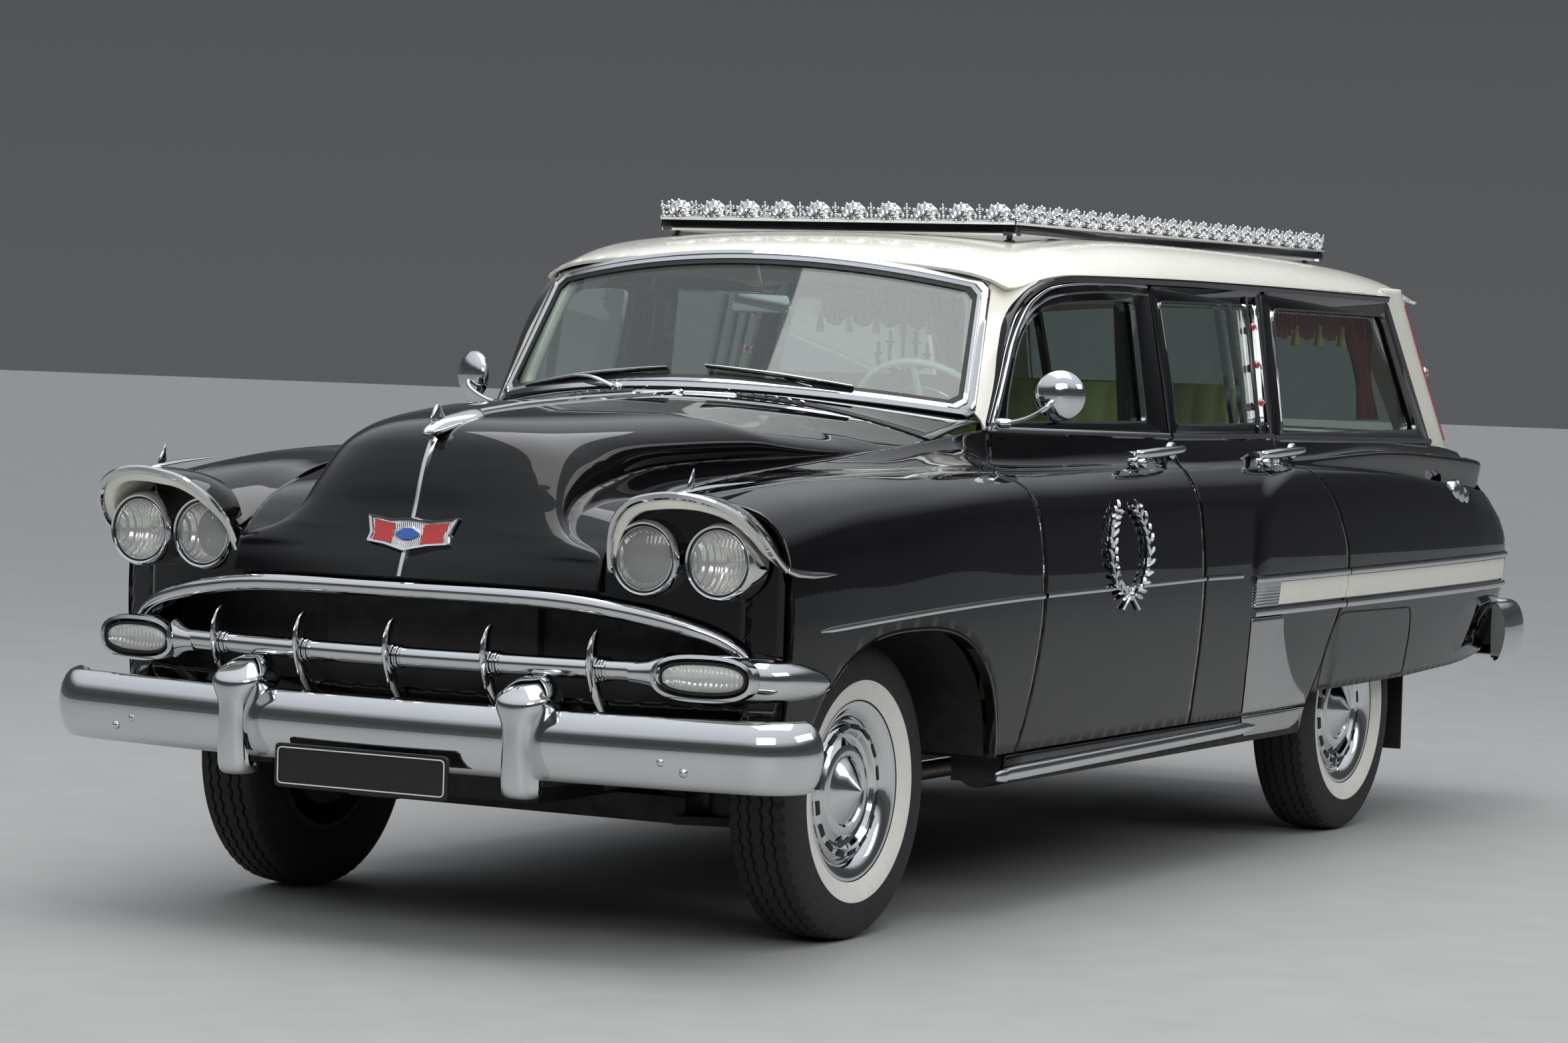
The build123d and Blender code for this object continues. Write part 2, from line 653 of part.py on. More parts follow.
# Hooded visors over each pair of lamps
VISOR_REACH = 100
with BuildPart() as lamp_visors:
    with BuildSketch(Plane.XZ.offset(2262 - 40)):
        with BuildLine():
            ThreePointArc((497, 868), (560, 985), (690, 1019))
            ThreePointArc((690, 1019), (820, 975), (886, 866))
            Line((886, 866), (870, 862))
            ThreePointArc((870, 862), (808, 962), (690, 1004))
            ThreePointArc((690, 1004), (572, 972), (513, 868))
            Line((513, 868), (497, 868))
        make_face()
    extrude(amount=VISOR_REACH + 40)
    with BuildSketch(Plane.YZ.offset(300)):
        with BuildLine():
            Polyline((-2266, 800), (-2364, 1030), (-2500, 1030), (-2500, 800), close=True)
        make_face()
    extrude(amount=800, mode=Mode.SUBTRACT)
    with BuildSketch(Plane.XY.offset(700)):
        with BuildLine():
            front = nose_arc(-FIT_GAP)
            ThreePointArc(*front)
            Polyline(front[2], (1000, front[2][1]), (1000, -1900), (-1000, -1900), (-1000, front[0][1]),
                     front[0])
        make_face()
    extrude(amount=600, mode=Mode.SUBTRACT)
    with BuildSketch(Plane.XZ.offset(2100)):
        with Locations(*[(x, LAMP_Z) for x, y in LAMPS]):
            Circle(LAMP_RADIUS + FIT_GAP)
    extrude(amount=400, mode=Mode.SUBTRACT)
    mirror(about=Plane.YZ)
save(lamp_visors.part, "lamp_visors")

# Grille: an arch over the mouth, a round centre bar with upright teeth, and a pod at each end
TEETH_X = (0, 248, 498)
GRILLE_BAR_Z = 640
GRILLE_BAR_RADIUS = 19
TOOTH_LOW_Z = 582
TOOTH_HIGH_Z = 716
POD_LOW_Z = 580
POD_HIGH_Z = 680
POD_REAR_Y = -2010
with BuildPart() as grille:
    with BuildLine() as arch_line:
        ThreePointArc((-764, -2230, 688), (0, -2346, 784), (764, -2230, 688))
    with BuildSketch(Plane(origin=arch_line.line @ 0, z_dir=arch_line.line % 0)):
        Circle(18)
    sweep(path=arch_line.line)
    with BuildLine() as bar_line:
        ThreePointArc((-690, -2262, GRILLE_BAR_Z), (0, -2362, GRILLE_BAR_Z), (690, -2262, GRILLE_BAR_Z))
    with BuildSketch(Plane(origin=bar_line.line @ 0, z_dir=bar_line.line % 0)):
        Circle(GRILLE_BAR_RADIUS)
    sweep(path=bar_line.line)
    for x in TEETH_X:
        y = -2362 + 100 * (x / 690) ** 2
        for side in ((1, -1) if x else (1,)):
            with BuildSketch(Plane.YZ.offset(side * x - 7)):
                with BuildLine():
                    ThreePointArc((y + 14, TOOTH_LOW_Z), (y - 30, GRILLE_BAR_Z), (y - 26, TOOTH_HIGH_Z))
                    ThreePointArc((y - 26, TOOTH_HIGH_Z), (y + 8, 680), (y + 14, TOOTH_LOW_Z))
                make_face()
            extrude(amount=14)
    with BuildPart(mode=Mode.PRIVATE) as pod:
        with BuildSketch(Plane.XY.offset(POD_LOW_Z)):
            with BuildLine():
                Polyline((652, -2268), (670, -2290), (800, -2288))
                ThreePointArc((800, -2288), (880, -2230), (912, -2100))
                Polyline((912, -2100), (908, POD_REAR_Y), (893, POD_REAR_Y), (882, -2150))
                ThreePointArc((882, -2150), (775, nose_y(775) - 6), (652, nose_y(652) - 4))
                Line((652, nose_y(652) - 4), (652, -2268))
            make_face()
        extrude(amount=POD_HIGH_Z - POD_LOW_Z)
        with BuildSketch(Plane.YZ.offset(640)):
            with BuildLine():
                Polyline((-2320, POD_LOW_Z), (-2320, POD_HIGH_Z), (-2140, POD_HIGH_Z), (POD_REAR_Y, 652),
                         (POD_REAR_Y, 618), (-2140, POD_LOW_Z), close=True)
            make_face()
        extrude(amount=300, mode=Mode.INTERSECT)
        add(fender.part.moved(Location((FIT_GAP, -FIT_GAP, 0))), mode=Mode.SUBTRACT)
        add(nose_panel.part.moved(Location((0, -FIT_GAP, 0))), mode=Mode.SUBTRACT)
    pod_body = max(pod.part.solids(), key=lambda solid: solid.volume)
    add(pod_body)
    mirror(pod_body, about=Plane.YZ)
save(grille.part, "grille")


def bumper(middle_y, corner, end, height, z):
    """A rounded bar bent round the corners in plan: half swept from the middle, then mirrored."""
    face_arc = Edge.make_tangent_arc((0, middle_y, z), (1, 0, 0), (*corner, z))
    wrap_arc = Edge.make_tangent_arc((*corner, z), face_arc % 1, (*end, z))
    with BuildPart() as bar:
        for run in (face_arc, wrap_arc):
            with BuildSketch(Plane(origin=run @ 0, x_dir=(0, 0, 1), z_dir=run % 0)):
                RectangleRounded(height, BUMPER_DEPTH, BUMPER_DEPTH * 0.48)
            sweep(path=run)
        mirror(about=Plane.YZ)
    return bar.part


BUMPER_BRACKET_X = 372
RAIL_FRONT_Y = -2332
RAIL_REAR_Y = 2348
with BuildPart() as front_bumper:
    add(bumper(BUMPER_FRONT_Y + BUMPER_DEPTH / 2, (880, -2322), (974, -2190), BUMPER_HEIGHT, BUMPER_Z))
    for side in (1, -1):
        with BuildSketch(Plane.YZ.offset(side * GUARD_X - 36)):
            with BuildLine():
                Polyline((-2380, 392), (-2456, 392), (-2464, 420))
                ThreePointArc((-2464, 420), (-2462, 520), (-2436, 600))
                ThreePointArc((-2436, 600), (-2420, 612), (-2404, 598))
                Polyline((-2404, 598), (-2392, 552), (-2380, 540), (-2380, 392))
            make_face()
        extrude(amount=72)
        with Locations((side * BUMPER_BRACKET_X, RAIL_FRONT_Y - FIT_GAP - 22, 430)):
            Box(50, 44, 60)
save(front_bumper.part, "front_bumper")

with BuildPart() as rear_bumper:
    add(bumper(BUMPER_REAR_Y - BUMPER_DEPTH / 2, (850, 2370), (930, 2110), 178, 530))
    for side in (1, -1):
        with BuildSketch(Plane.YZ.offset(side * GUARD_X - 36)):
            with BuildLine():
                Polyline((2390, 420), (2460, 420), (2466, 450))
                ThreePointArc((2466, 450), (2464, 540), (2440, 612))
                Polyline((2440, 612), (2400, 612), (2390, 420))
            make_face()
        extrude(amount=72)
        with Locations((side * BUMPER_BRACKET_X, RAIL_REAR_Y + FIT_GAP + 20, 450)):
            Box(50, 40, 60)
save(rear_bumper.part, "rear_bumper")

# Wheels: profiles run round the axle, as (distance out from the tyre's middle, radius)
BEAD_GAP = 0.3
TYRE_PROFILE = ((-61, 200.3), (-61, 209), (-72, 217), (-84, 275), (-78, 318), (-62, 337), (0, TYRE_RADIUS),
                (62, 337), (78, 318), (84, 275), (72, 217), (61, 209), (61, 200.3))
WHEEL_PROFILE = ((-64, 200), (-64, 206), (-68, 206), (-68, 190), (-58, 186), (-20, 180), (20, 180), (20, 24),
                 (34, 24), (34, 0), (88, 0), (60, 42), (47, 74), (44, 108), (36, 112), (34, 150), (44, 166),
                 (56, 176), (60, 196), (66, 198), (68, 206), (61.6, 206), (61.6, 200))
HUB_BORE = 24
WHEELS = (("front_left", 1, FRONT_HALF_TRACK, FRONT_AXLE_Y),
          ("front_right", -1, FRONT_HALF_TRACK, FRONT_AXLE_Y),
          ("rear_left", 1, REAR_HALF_TRACK, REAR_AXLE_Y), ("rear_right", -1, REAR_HALF_TRACK, REAR_AXLE_Y))


def turned(profile, side, centre_x, centre_y):
    with BuildPart() as ring:
        with BuildSketch(Plane.XZ.offset(-centre_y)):
            with BuildLine():
                Polyline(*[(side * (centre_x + out), TYRE_RADIUS + r) for out, r in profile], close=True)
            make_face()
        revolve(axis=Axis((0, centre_y, TYRE_RADIUS), (1, 0, 0)))
    return ring.part


for place, side, centre_x, centre_y in WHEELS:
    save(turned(TYRE_PROFILE, side, centre_x, centre_y), f"tyre_{place}")
    save(turned(WHEEL_PROFILE, side, centre_x, centre_y), f"wheel_{place}")

# Steering knuckles: a kingpin, a backing drum and the stub that the wheel turns on
STUB_PROFILE = ((KINGPIN_X - 2 - FRONT_HALF_TRACK, 0), (KINGPIN_X - 2 - FRONT_HALF_TRACK, 26), (-66, 26),
                (-66, KNUCKLE_DRUM_RADIUS), (-8, KNUCKLE_DRUM_RADIUS), (-8, HUB_BORE - BEAD_GAP),
                (30, HUB_BORE - BEAD_GAP), (30, 0))
with BuildPart() as knuckle:
    add(turned(STUB_PROFILE, 1, FRONT_HALF_TRACK, FRONT_AXLE_Y))
    with BuildSketch(Plane.XY.offset(236)):
        with Locations((KINGPIN_X, FRONT_AXLE_Y)):
            Circle(20)
    extrude(amount=204)
both_sides(knuckle.part, "knuckle")

# Chassis: two side rails with a kick-up over the rear axle, and cross members
RAIL_X = 370
RAIL_WIDTH = 58
RAIL_REAR_Z = 470
RAIL_SIDE = ((RAIL_FRONT_Y, 372), (RAIL_FRONT_Y, 452), (-1900, 452), (-1720, 372), (730, 372), (980, 520),
             (1620, 520), (1850, RAIL_REAR_Z), (RAIL_REAR_Y, RAIL_REAR_Z),
             (RAIL_REAR_Y, 400), (1820, 400), (1600, 450), (1010, 450), (760, 300),
             (-1720, 300), (-1900, 372))
TUBE_Z = 336
TUBE_RADIUS = 38
with BuildPart() as chassis_frame:
    with BuildSketch(Plane.YZ.offset(RAIL_X - RAIL_WIDTH / 2)):
        with BuildLine():
            Polyline(*RAIL_SIDE, close=True)
        make_face()
    extrude(amount=RAIL_WIDTH)
    mirror(about=Plane.YZ)
    for y, z in ((-2180, 412), (1900, 435)):
        with Locations((0, y, z)):
            Box(2 * RAIL_X, 70, 56)
    for y in (-560, -40, 640):
        with Locations((0, y, 334)):
            Box(2 * RAIL_X, 70, 60)
        with Locations((0, y, 307)):
            Box(180, 70, 114)
        with Locations((0, y, TUBE_Z)):
            Cylinder(TUBE_RADIUS + 8, 80, rotation=(90, 0, 0), mode=Mode.SUBTRACT)
save(chassis_frame.part, "chassis_frame")

# Engine with its gearbox, as plain blocks, and the radiator behind the grille
with BuildPart() as engine:
    with Locations((0, -1650, 575)):
        Box(420, 860, 550)
    with Locations((0, -950, 297)):
        Box(260, 560, 145)
    with Locations((0, -1240, 420)):
        Box(300, 60, 250)
    with Locations((0, -2180, 650.3)):
        Box(560, 60, 420)
save(engine.part, "engine")

# Front suspension: a cross member with an upper and a lower arm to each kingpin
ARM_END = KINGPIN_X - 20 - FIT_GAP
with BuildPart() as front_suspension:
    with Locations((0, FRONT_AXLE_Y, 300 - FIT_GAP - 31)):
        Box(780, 150, 62)
    for z, inner in ((250, 380), (426, 400)):
        with BuildSketch(Plane.XY.offset(z - 10)):
            with BuildLine():
                Polyline((inner, FRONT_AXLE_Y - 110), (inner, FRONT_AXLE_Y + 110),
                         (ARM_END, FRONT_AXLE_Y + 24), (ARM_END, FRONT_AXLE_Y - 24), close=True)
            make_face()
        extrude(amount=20)
    with Locations((470, FRONT_AXLE_Y, 338)):
        Cylinder(52, 176)
    mirror(about=Plane.YZ)
save(front_suspension.part, "front_suspension")

# Rear axle with its differential, torque tube, drums and leaf springs
DRUM_PROFILE = ((-80, 0), (-80, 140), (-8, 140), (-8, HUB_BORE - BEAD_GAP), (30, HUB_BORE - BEAD_GAP),
                (30, 0))
with BuildPart() as rear_axle:
    with Locations((0, REAR_AXLE_Y, TYRE_RADIUS)):
        Cylinder(42, 2 * 690, rotation=(0, 90, 0))
        Sphere(135)
    for side in (1, -1):
        add(turned(DRUM_PROFILE, side, REAR_HALF_TRACK, REAR_AXLE_Y))
        with Locations((side * 500, REAR_AXLE_Y, 290)):
            Box(60, 1300, 24)
        with Locations((side * 500, REAR_AXLE_Y, 320)):
            Box(76, 110, 70)
        for y, top in ((REAR_AXLE_Y - 640, 350), (REAR_AXLE_Y + 640, 450)):
            with Locations((side * (RAIL_X + RAIL_WIDTH / 2 + FIT_GAP + 65), y, (280 + top) / 2)):
                Box(130, 40, top - 280)
    with Locations((0, (REAR_AXLE_Y - 670) / 2 + FIT_GAP, TUBE_Z)):
        Cylinder(TUBE_RADIUS, REAR_AXLE_Y + 670, rotation=(90, 0, 0))
save(rear_axle.part, "rear_axle")

with BuildPart() as fuel_tank:
    with Locations((-90, 2080, 400 - FIT_GAP - 47)):
        Box(520, 420, 94)
save(fuel_tank.part, "fuel_tank")

with BuildPart() as exhaust:
    with BuildLine() as pipe_line:
        FilletPolyline((180, -1480, 300 - FIT_GAP), (180, -1480, 240), (250, -900, 240), (250, 720, 240),
                       (250, 900, 410), (250, 1560, 410), (280, 1760, 340), (280, 2330, 340), radius=28)
    with BuildSketch(Plane(origin=pipe_line.line @ 0, z_dir=pipe_line.line % 0)):
        Circle(24)
    sweep(path=pipe_line.wires()[0])
    with Locations((250, 300, 240)):
        Cylinder(70, 480, rotation=(90, 0, 0))
save(exhaust.part, "exhaust")

# Tail: the drop-down tailgate, the lifting rear window and the panel under them
GATE_HALF_WIDTH = 690
GATE_WALL = 46
GATE_CORNER_Y = 2246
GATE_CENTRE_Y = 2284


def tail_plate(low_z, high_z, half_width, wall, back=0):
    with BuildPart() as plate:
        with BuildSketch(Plane.XY.offset(low_z)):
            with BuildLine():
                runs = []
                for depth in (back, back + wall):
                    runs.append(((half_width, GATE_CORNER_Y - depth), (0, GATE_CENTRE_Y - depth),
                                 (-half_width, GATE_CORNER_Y - depth)))
                    ThreePointArc(*runs[-1])
                Line(runs[0][0], runs[1][0])
                Line(runs[0][2], runs[1][2])
            make_face()
        extrude(amount=high_z - low_z)
    return plate.part


# Floor: pan, rear deck, sills and wheel boxes
REAR_DECK_Z = 560
DECK_WALL = 16
WHEELHOUSE_X = 632
WHEELHOUSE_RADIUS = TYRE_RADIUS + 48
WHEELHOUSE_WALL = 10
WHEELHOUSE_DEPTH = 122
with BuildPart() as floor_pan:
    with BuildSketch(Plane.YZ.offset(-764)):
        with BuildLine():
            Polyline((BULKHEAD_Y, 376), (BULKHEAD_Y, FLOOR_Z), (700, FLOOR_Z), (760, REAR_DECK_Z),
                     (2150, REAR_DECK_Z), (2150, REAR_DECK_Z - DECK_WALL), (776, REAR_DECK_Z - DECK_WALL),
                     (716, 376), close=True)
        make_face()
    extrude(amount=2 * 764)
    for side in (1, -1):
        with Locations((side * 826, -190, 352)):
            Box(140, 1830, 64)
        with BuildSketch(Plane.YZ.offset(side * WHEELHOUSE_X)):
            with Locations((REAR_AXLE_Y, TYRE_RADIUS)):
                Circle(WHEELHOUSE_RADIUS)
        extrude(amount=side * 200, mode=Mode.SUBTRACT)
        for hole, depth in ((0, WHEELHOUSE_WALL), (WHEELHOUSE_RADIUS, WHEELHOUSE_WALL + WHEELHOUSE_DEPTH)):
            with BuildSketch(Plane.YZ.offset(side * (WHEELHOUSE_X - WHEELHOUSE_WALL))):
                with Locations((REAR_AXLE_Y, TYRE_RADIUS)):
                    Circle(WHEELHOUSE_RADIUS + WHEELHOUSE_WALL)
                    if hole:
                        Circle(hole, mode=Mode.SUBTRACT)
                with Locations((REAR_AXLE_Y, REAR_DECK_Z - DECK_WALL - 400)):
                    Rectangle(1000, 800, mode=Mode.SUBTRACT)
            extrude(amount=side * depth)
        for y in (-900, -300, 500):
            with Locations((side * RAIL_X, y, 374 + FIT_GAP / 2)):
                Box(50, 60, 4 - FIT_GAP)
    with Locations((0, 2190, 550)):
        Box(1380, 90, 24)
    add(tail_plate(RAIL_REAR_Z + FIT_GAP, 625, GATE_HALF_WIDTH, 14))
    for x in (-400, 400):
        with Locations((x, 2252, 630)):
            Box(60, 30, 2 * (TAILGATE_BOTTOM_Z - 630 - FIT_GAP))
save(floor_pan.part, "floor_pan")

save(tail_plate(TAILGATE_BOTTOM_Z, TAILGATE_TOP_Z, GATE_HALF_WIDTH, GATE_WALL), "tailgate")

REAR_LOW = ((690, 2166, 1052), (0, 2226, 1052))
REAR_HIGH = ((604, 1880, 1496), (0, 1936, 1540))
GLASS_LOW_T = 0.13
GLASS_HIGH_T = 0.88
GLASS_BORDER = 70
rear_opening = curved_band(REAR_LOW, REAR_HIGH, GLASS_LOW_T, GLASS_HIGH_T, -GLASS_BORDER, -60, 90)
with BuildPart() as liftgate:
    add(curved_band(REAR_LOW, REAR_HIGH, 0, 1, 0, 0, 34))
    add(rear_opening, mode=Mode.SUBTRACT)
save(liftgate.part, "liftgate")
with BuildPart() as liftgate_glass:
    add(curved_band(REAR_LOW, REAR_HIGH, GLASS_LOW_T + 0.001, GLASS_HIGH_T - 0.001, -GLASS_BORDER - 0.5,
                    10, 16))
save(liftgate_glass.part, "liftgate_glass")

# Round tail lamps, seated on the rear corners
TAIL_LAMP = (790, 2290, 820)
TAIL_LAMP_RADIUS = 46
with BuildPart() as tail_lamp:
    with BuildSketch(Plane.XZ.offset(-2190)):
        with Locations((TAIL_LAMP[0], TAIL_LAMP[2])):
            Circle(TAIL_LAMP_RADIUS)
    extrude(amount=-(TAIL_LAMP[1] - 2190))
    add(quarter.part, mode=Mode.SUBTRACT)
with BuildPart() as tail_lamps:
    lamp_body = max(tail_lamp.part.solids(), key=lambda solid: solid.center().Y)
    add(lamp_body)
    mirror(lamp_body, about=Plane.YZ)
save(tail_lamps.part, "tail_lamps")

FLAP_Y = 1690
with BuildPart() as mud_flaps:
    for side in (1, -1):
        with Locations((side * 735, FLAP_Y, (200 + REAR_DECK_Z - 16) / 2)):
            Box(180, 8, REAR_DECK_Z - 16 - 200 - 2 * FIT_GAP)
save(mud_flaps.part, "mud_flaps")

# Inside: dash, column, wheel, seats, deck and curtains
WHEEL_HUB = (370, -505, 1140)
COLUMN_SLOPE = 35
WHEEL_RADIUS = 212
COLUMN_RADIUS = 24
column_axis = Vector(0, cos(radians(COLUMN_SLOPE)), sin(radians(COLUMN_SLOPE)))
wheel_plane = Plane(origin=WHEEL_HUB, x_dir=(1, 0, 0), z_dir=column_axis)
with BuildPart() as steering_wheel:
    with BuildSketch(Plane(origin=wheel_plane.from_local_coords((WHEEL_RADIUS, 0, 0)), x_dir=(1, 0, 0),
                           z_dir=wheel_plane.y_dir)):
        Circle(12)
    revolve(axis=Axis(WHEEL_HUB, column_axis))
    with BuildSketch(wheel_plane.offset(-50)):
        Circle(34)
    extrude(amount=60)
    with BuildSketch(wheel_plane.offset(-20)):
        for angle in (90, 210, 330):
            spoke = (WHEEL_RADIUS / 2 * cos(radians(angle)), WHEEL_RADIUS / 2 * sin(radians(angle)))
            with Locations(Location(spoke)):
                Rectangle(WHEEL_RADIUS - 8, 26, rotation=angle)
    extrude(amount=12)
save(steering_wheel.part, "steering_wheel")

DASH_FRONT_Y = BULKHEAD_Y + BULKHEAD_WALL + FIT_GAP
DASH = ((DASH_FRONT_Y, 1100), (-930, 1100), (-876, 1050), (-900, 900), (-960, 860), (-1020, 860),
        (-1020, 1040), (DASH_FRONT_Y, 1050))
with BuildPart() as dashboard:
    with BuildSketch(Plane.YZ.offset(-700)):
        with BuildLine():
            Polyline(*DASH, close=True)
        make_face()
    extrude(amount=1400)
    with BuildSketch(wheel_plane.offset(-50 - FIT_GAP)):
        Circle(COLUMN_RADIUS)
    extrude(amount=-660)
    with Locations((WHEEL_HUB[0], -960, 850)):
        Box(50, 40, 40)
    with Locations((0, DASH_FRONT_Y - 200, 750)):
        Box(1600, 400, 900, mode=Mode.SUBTRACT)
save(dashboard.part, "dashboard")


def bench(front_y, cushion_z, back_y, back_top, half_width, plinth_rear, rear_foot, name):
    """A bench seat: a cushion on a plinth and a leaning back."""
    foot = FLOOR_Z + 60
    with BuildPart() as seat:
        with BuildSketch(Plane.YZ.offset(-half_width)):
            with BuildLine():
                Polyline((front_y, cushion_z - 130), (front_y - 16, cushion_z - 30),
                         (front_y + 30, cushion_z), (back_y - 30, cushion_z - 26),
                         (back_y + 60, back_top - 20),
                         (back_y + 100, back_top), (back_y + 150, back_top - 30), (back_y + 110, rear_foot),
                         (plinth_rear, rear_foot),
                         (plinth_rear, foot), (front_y + 60, foot), close=True)
            make_face()
        extrude(amount=2 * half_width)
        plinth_front = front_y + 70
        with Locations((0, (plinth_front + plinth_rear) / 2, (foot + FLOOR_Z + FIT_GAP) / 2)):
            Box(2 * half_width - 160, plinth_rear - plinth_front, foot - FLOOR_Z - FIT_GAP)
    save(seat.part, name)


bench(-420, 700, 40, 1225, 615, 130, FLOOR_Z + 90, "front_seat")
bench(320, 690, 800, 1225, 600, 690, REAR_DECK_Z + 30, "rear_seat")

DECK_BOARD = 40
with BuildPart() as casket_deck:
    with Locations((0, 1560, REAR_DECK_Z + FIT_GAP + DECK_BOARD / 2)):
        Box(1180, 1120, DECK_BOARD)
    for side in (1, -1):
        with Locations((side * 330, 1560, REAR_DECK_Z + FIT_GAP + DECK_BOARD + 15)):
            Box(30, 1060, 30)
save(casket_deck.part, "casket_deck")

CURTAIN_X = 672
with BuildPart() as curtains:
    with Locations((CURTAIN_X, 1250, 1450)):
        Box(12, 880, 230)
    add(roof.part, mode=Mode.SUBTRACT)
    mirror(about=Plane.YZ)
save(curtains.part, "curtains")

# Roof gallery: a rail on feet carrying a band of scalloped crests
GALLERY_X = 522
GALLERY_FRONT_Y = -365
GALLERY_REAR_Y = 1716
GALLERY_RAIL_Z = 1656
CREST_PITCH = 87
CREST_RADIUS = 34
CREST_Z = 1682
with BuildPart() as roof_gallery:
    gallery_mid = (GALLERY_FRONT_Y + GALLERY_REAR_Y) / 2
    gallery_length = GALLERY_REAR_Y - GALLERY_FRONT_Y
    with BuildSketch(Plane.XY.offset(GALLERY_RAIL_Z)):
        with Locations((0, gallery_mid)):
            Rectangle(2 * GALLERY_X, gallery_length)
            Rectangle(2 * GALLERY_X - 44, gallery_length - 44, mode=Mode.SUBTRACT)
    extrude(amount=12)
    for y in (GALLERY_FRONT_Y, GALLERY_REAR_Y - 8):
        with BuildSketch(Plane.XZ.offset(-y)):
            with Locations((0, CREST_Z - 8)):
                Rectangle(2 * GALLERY_X, 24)
            with Locations((0, CREST_Z)):
                with GridLocations(CREST_PITCH, 1, round(2 * GALLERY_X / CREST_PITCH), 1):
                    Circle(CREST_RADIUS)
            with Locations((0, GALLERY_RAIL_Z - 20)):
                Rectangle(3 * GALLERY_X, 40, mode=Mode.SUBTRACT)
        extrude(amount=-8)
    for x in (-GALLERY_X, GALLERY_X - 8):
        with BuildSketch(Plane.YZ.offset(x)):
            with Locations((gallery_mid, CREST_Z - 8)):
                Rectangle(gallery_length, 24)
            with Locations((gallery_mid, CREST_Z)):
                with GridLocations(CREST_PITCH, 1, round(gallery_length / CREST_PITCH), 1):
                    Circle(CREST_RADIUS)
            with Locations((gallery_mid, GALLERY_RAIL_Z - 20)):
                Rectangle(gallery_length + 200, 40, mode=Mode.SUBTRACT)
        extrude(amount=8)
    for x in (-GALLERY_X + 12, GALLERY_X - 12):
        for y in (GALLERY_FRONT_Y + 60, gallery_mid, GALLERY_REAR_Y - 60):
            with Locations((x, y, GALLERY_RAIL_Z - 14)):
                Cylinder(9, 28)
    add(roof.part, mode=Mode.SUBTRACT)
save(roof_gallery.part, "roof_gallery")

# Round door mirrors on curved arms
with BuildPart() as mirror_piece:
    with BuildSketch(Plane(origin=(856, -745, 1237), z_dir=(0.35, 1, 0))):
        Circle(64)
    extrude(amount=-22)
    with BuildLine() as arm_line:
        ThreePointArc((812, -1000, 1168), (850, -880, 1176), (862, -772, 1232))
    with BuildSketch(Plane(origin=arm_line.line @ 0, z_dir=arm_line.line % 0)):
        Circle(7)
    sweep(path=arm_line.line)
    with BuildSketch(Plane.YZ.offset(790)):
        with Locations((-1000, 1168)):
            Circle(16)
    extrude(amount=29)
    add(front_door, mode=Mode.SUBTRACT)
both_sides(mirror_piece.part, "mirror")
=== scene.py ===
"""The looks of a hearse on a 1950s estate-car body, built round its packed frame."""
import random
from bisect import bisect_right
from math import asin, atan2, cos, pi, radians, sin, sqrt

import bpy
import numpy as np
from mathutils import Matrix, Vector


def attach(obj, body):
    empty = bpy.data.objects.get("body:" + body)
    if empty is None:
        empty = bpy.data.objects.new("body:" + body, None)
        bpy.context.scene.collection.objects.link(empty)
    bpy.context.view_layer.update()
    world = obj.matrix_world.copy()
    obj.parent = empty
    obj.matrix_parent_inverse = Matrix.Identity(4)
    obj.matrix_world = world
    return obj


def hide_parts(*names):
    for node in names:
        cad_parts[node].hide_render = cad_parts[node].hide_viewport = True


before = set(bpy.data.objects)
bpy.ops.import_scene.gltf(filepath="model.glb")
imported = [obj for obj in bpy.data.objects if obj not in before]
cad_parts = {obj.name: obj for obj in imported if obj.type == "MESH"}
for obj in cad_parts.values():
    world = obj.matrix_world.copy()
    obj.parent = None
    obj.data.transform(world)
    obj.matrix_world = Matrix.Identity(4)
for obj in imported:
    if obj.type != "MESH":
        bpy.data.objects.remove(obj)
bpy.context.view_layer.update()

MM = 0.001

bl_info = {
    "name": "Estate hearse",
    "version": (1, 0, 0),
    "blender": (4, 5, 0),
    "location": "View3D > Sidebar > Hearse",
    "description": "Paint, chrome, glass, trim and upholstery for a 1950s estate hearse",
    "category": "Object",
}

# Tables are in millimetres: x to the car's left, y rearward, z up from the ground
FRONT_AXLE_Y = -1655
REAR_AXLE_Y = 1266
FRONT_HALF_TRACK = 720
REAR_HALF_TRACK = 744
TYRE_RADIUS = 340
SHUT_GAP = 6
PHOTO_WIDTH = 2357
PHOTO_FOCAL = 6613.2


# Settings that a user would change
def colour_setting(name, description, default):
    return bpy.props.FloatVectorProperty(name=name, description=description, subtype="COLOR", size=3, min=0, max=1,
                                         default=default)


def length_setting(name, description, default, low, high):
    return bpy.props.FloatProperty(name=name, description=description, subtype="DISTANCE", unit="LENGTH",
                                   default=default, min=low, max=high)


class HearseSettings(bpy.types.PropertyGroup):
    body_colour: colour_setting("Body colour", "Paint of the body sides and bonnet", (0.0035, 0.0035, 0.004))
    roof_colour: colour_setting("Roof colour", "Paint of the roof, rear pillars and side band", (0.86, 0.84, 0.75))
    leather_colour: colour_setting("Leather colour", "Colour of the bench seats", (0.44, 0.48, 0.18))
    curtain_colour: colour_setting("Curtain colour", "Colour of the curtains", (0.16, 0.008, 0.014))
    whitewall_inner: length_setting("Whitewall inner radius", "Where the tyre's white ring starts", 0.2075, 0.2, 0.24)
    whitewall_outer: length_setting("Whitewall outer radius", "Where the tyre's white ring ends", 0.2528, 0.24, 0.3)
    lamp_strength: bpy.props.FloatProperty(
        name="Lamp strength", description="Level of the studio lamps", default=1.0, min=0.1, max=3)


def settings():
    return bpy.context.scene.hearse


# Materials
def link(tree, a, b):
    tree.links.new(a, b)


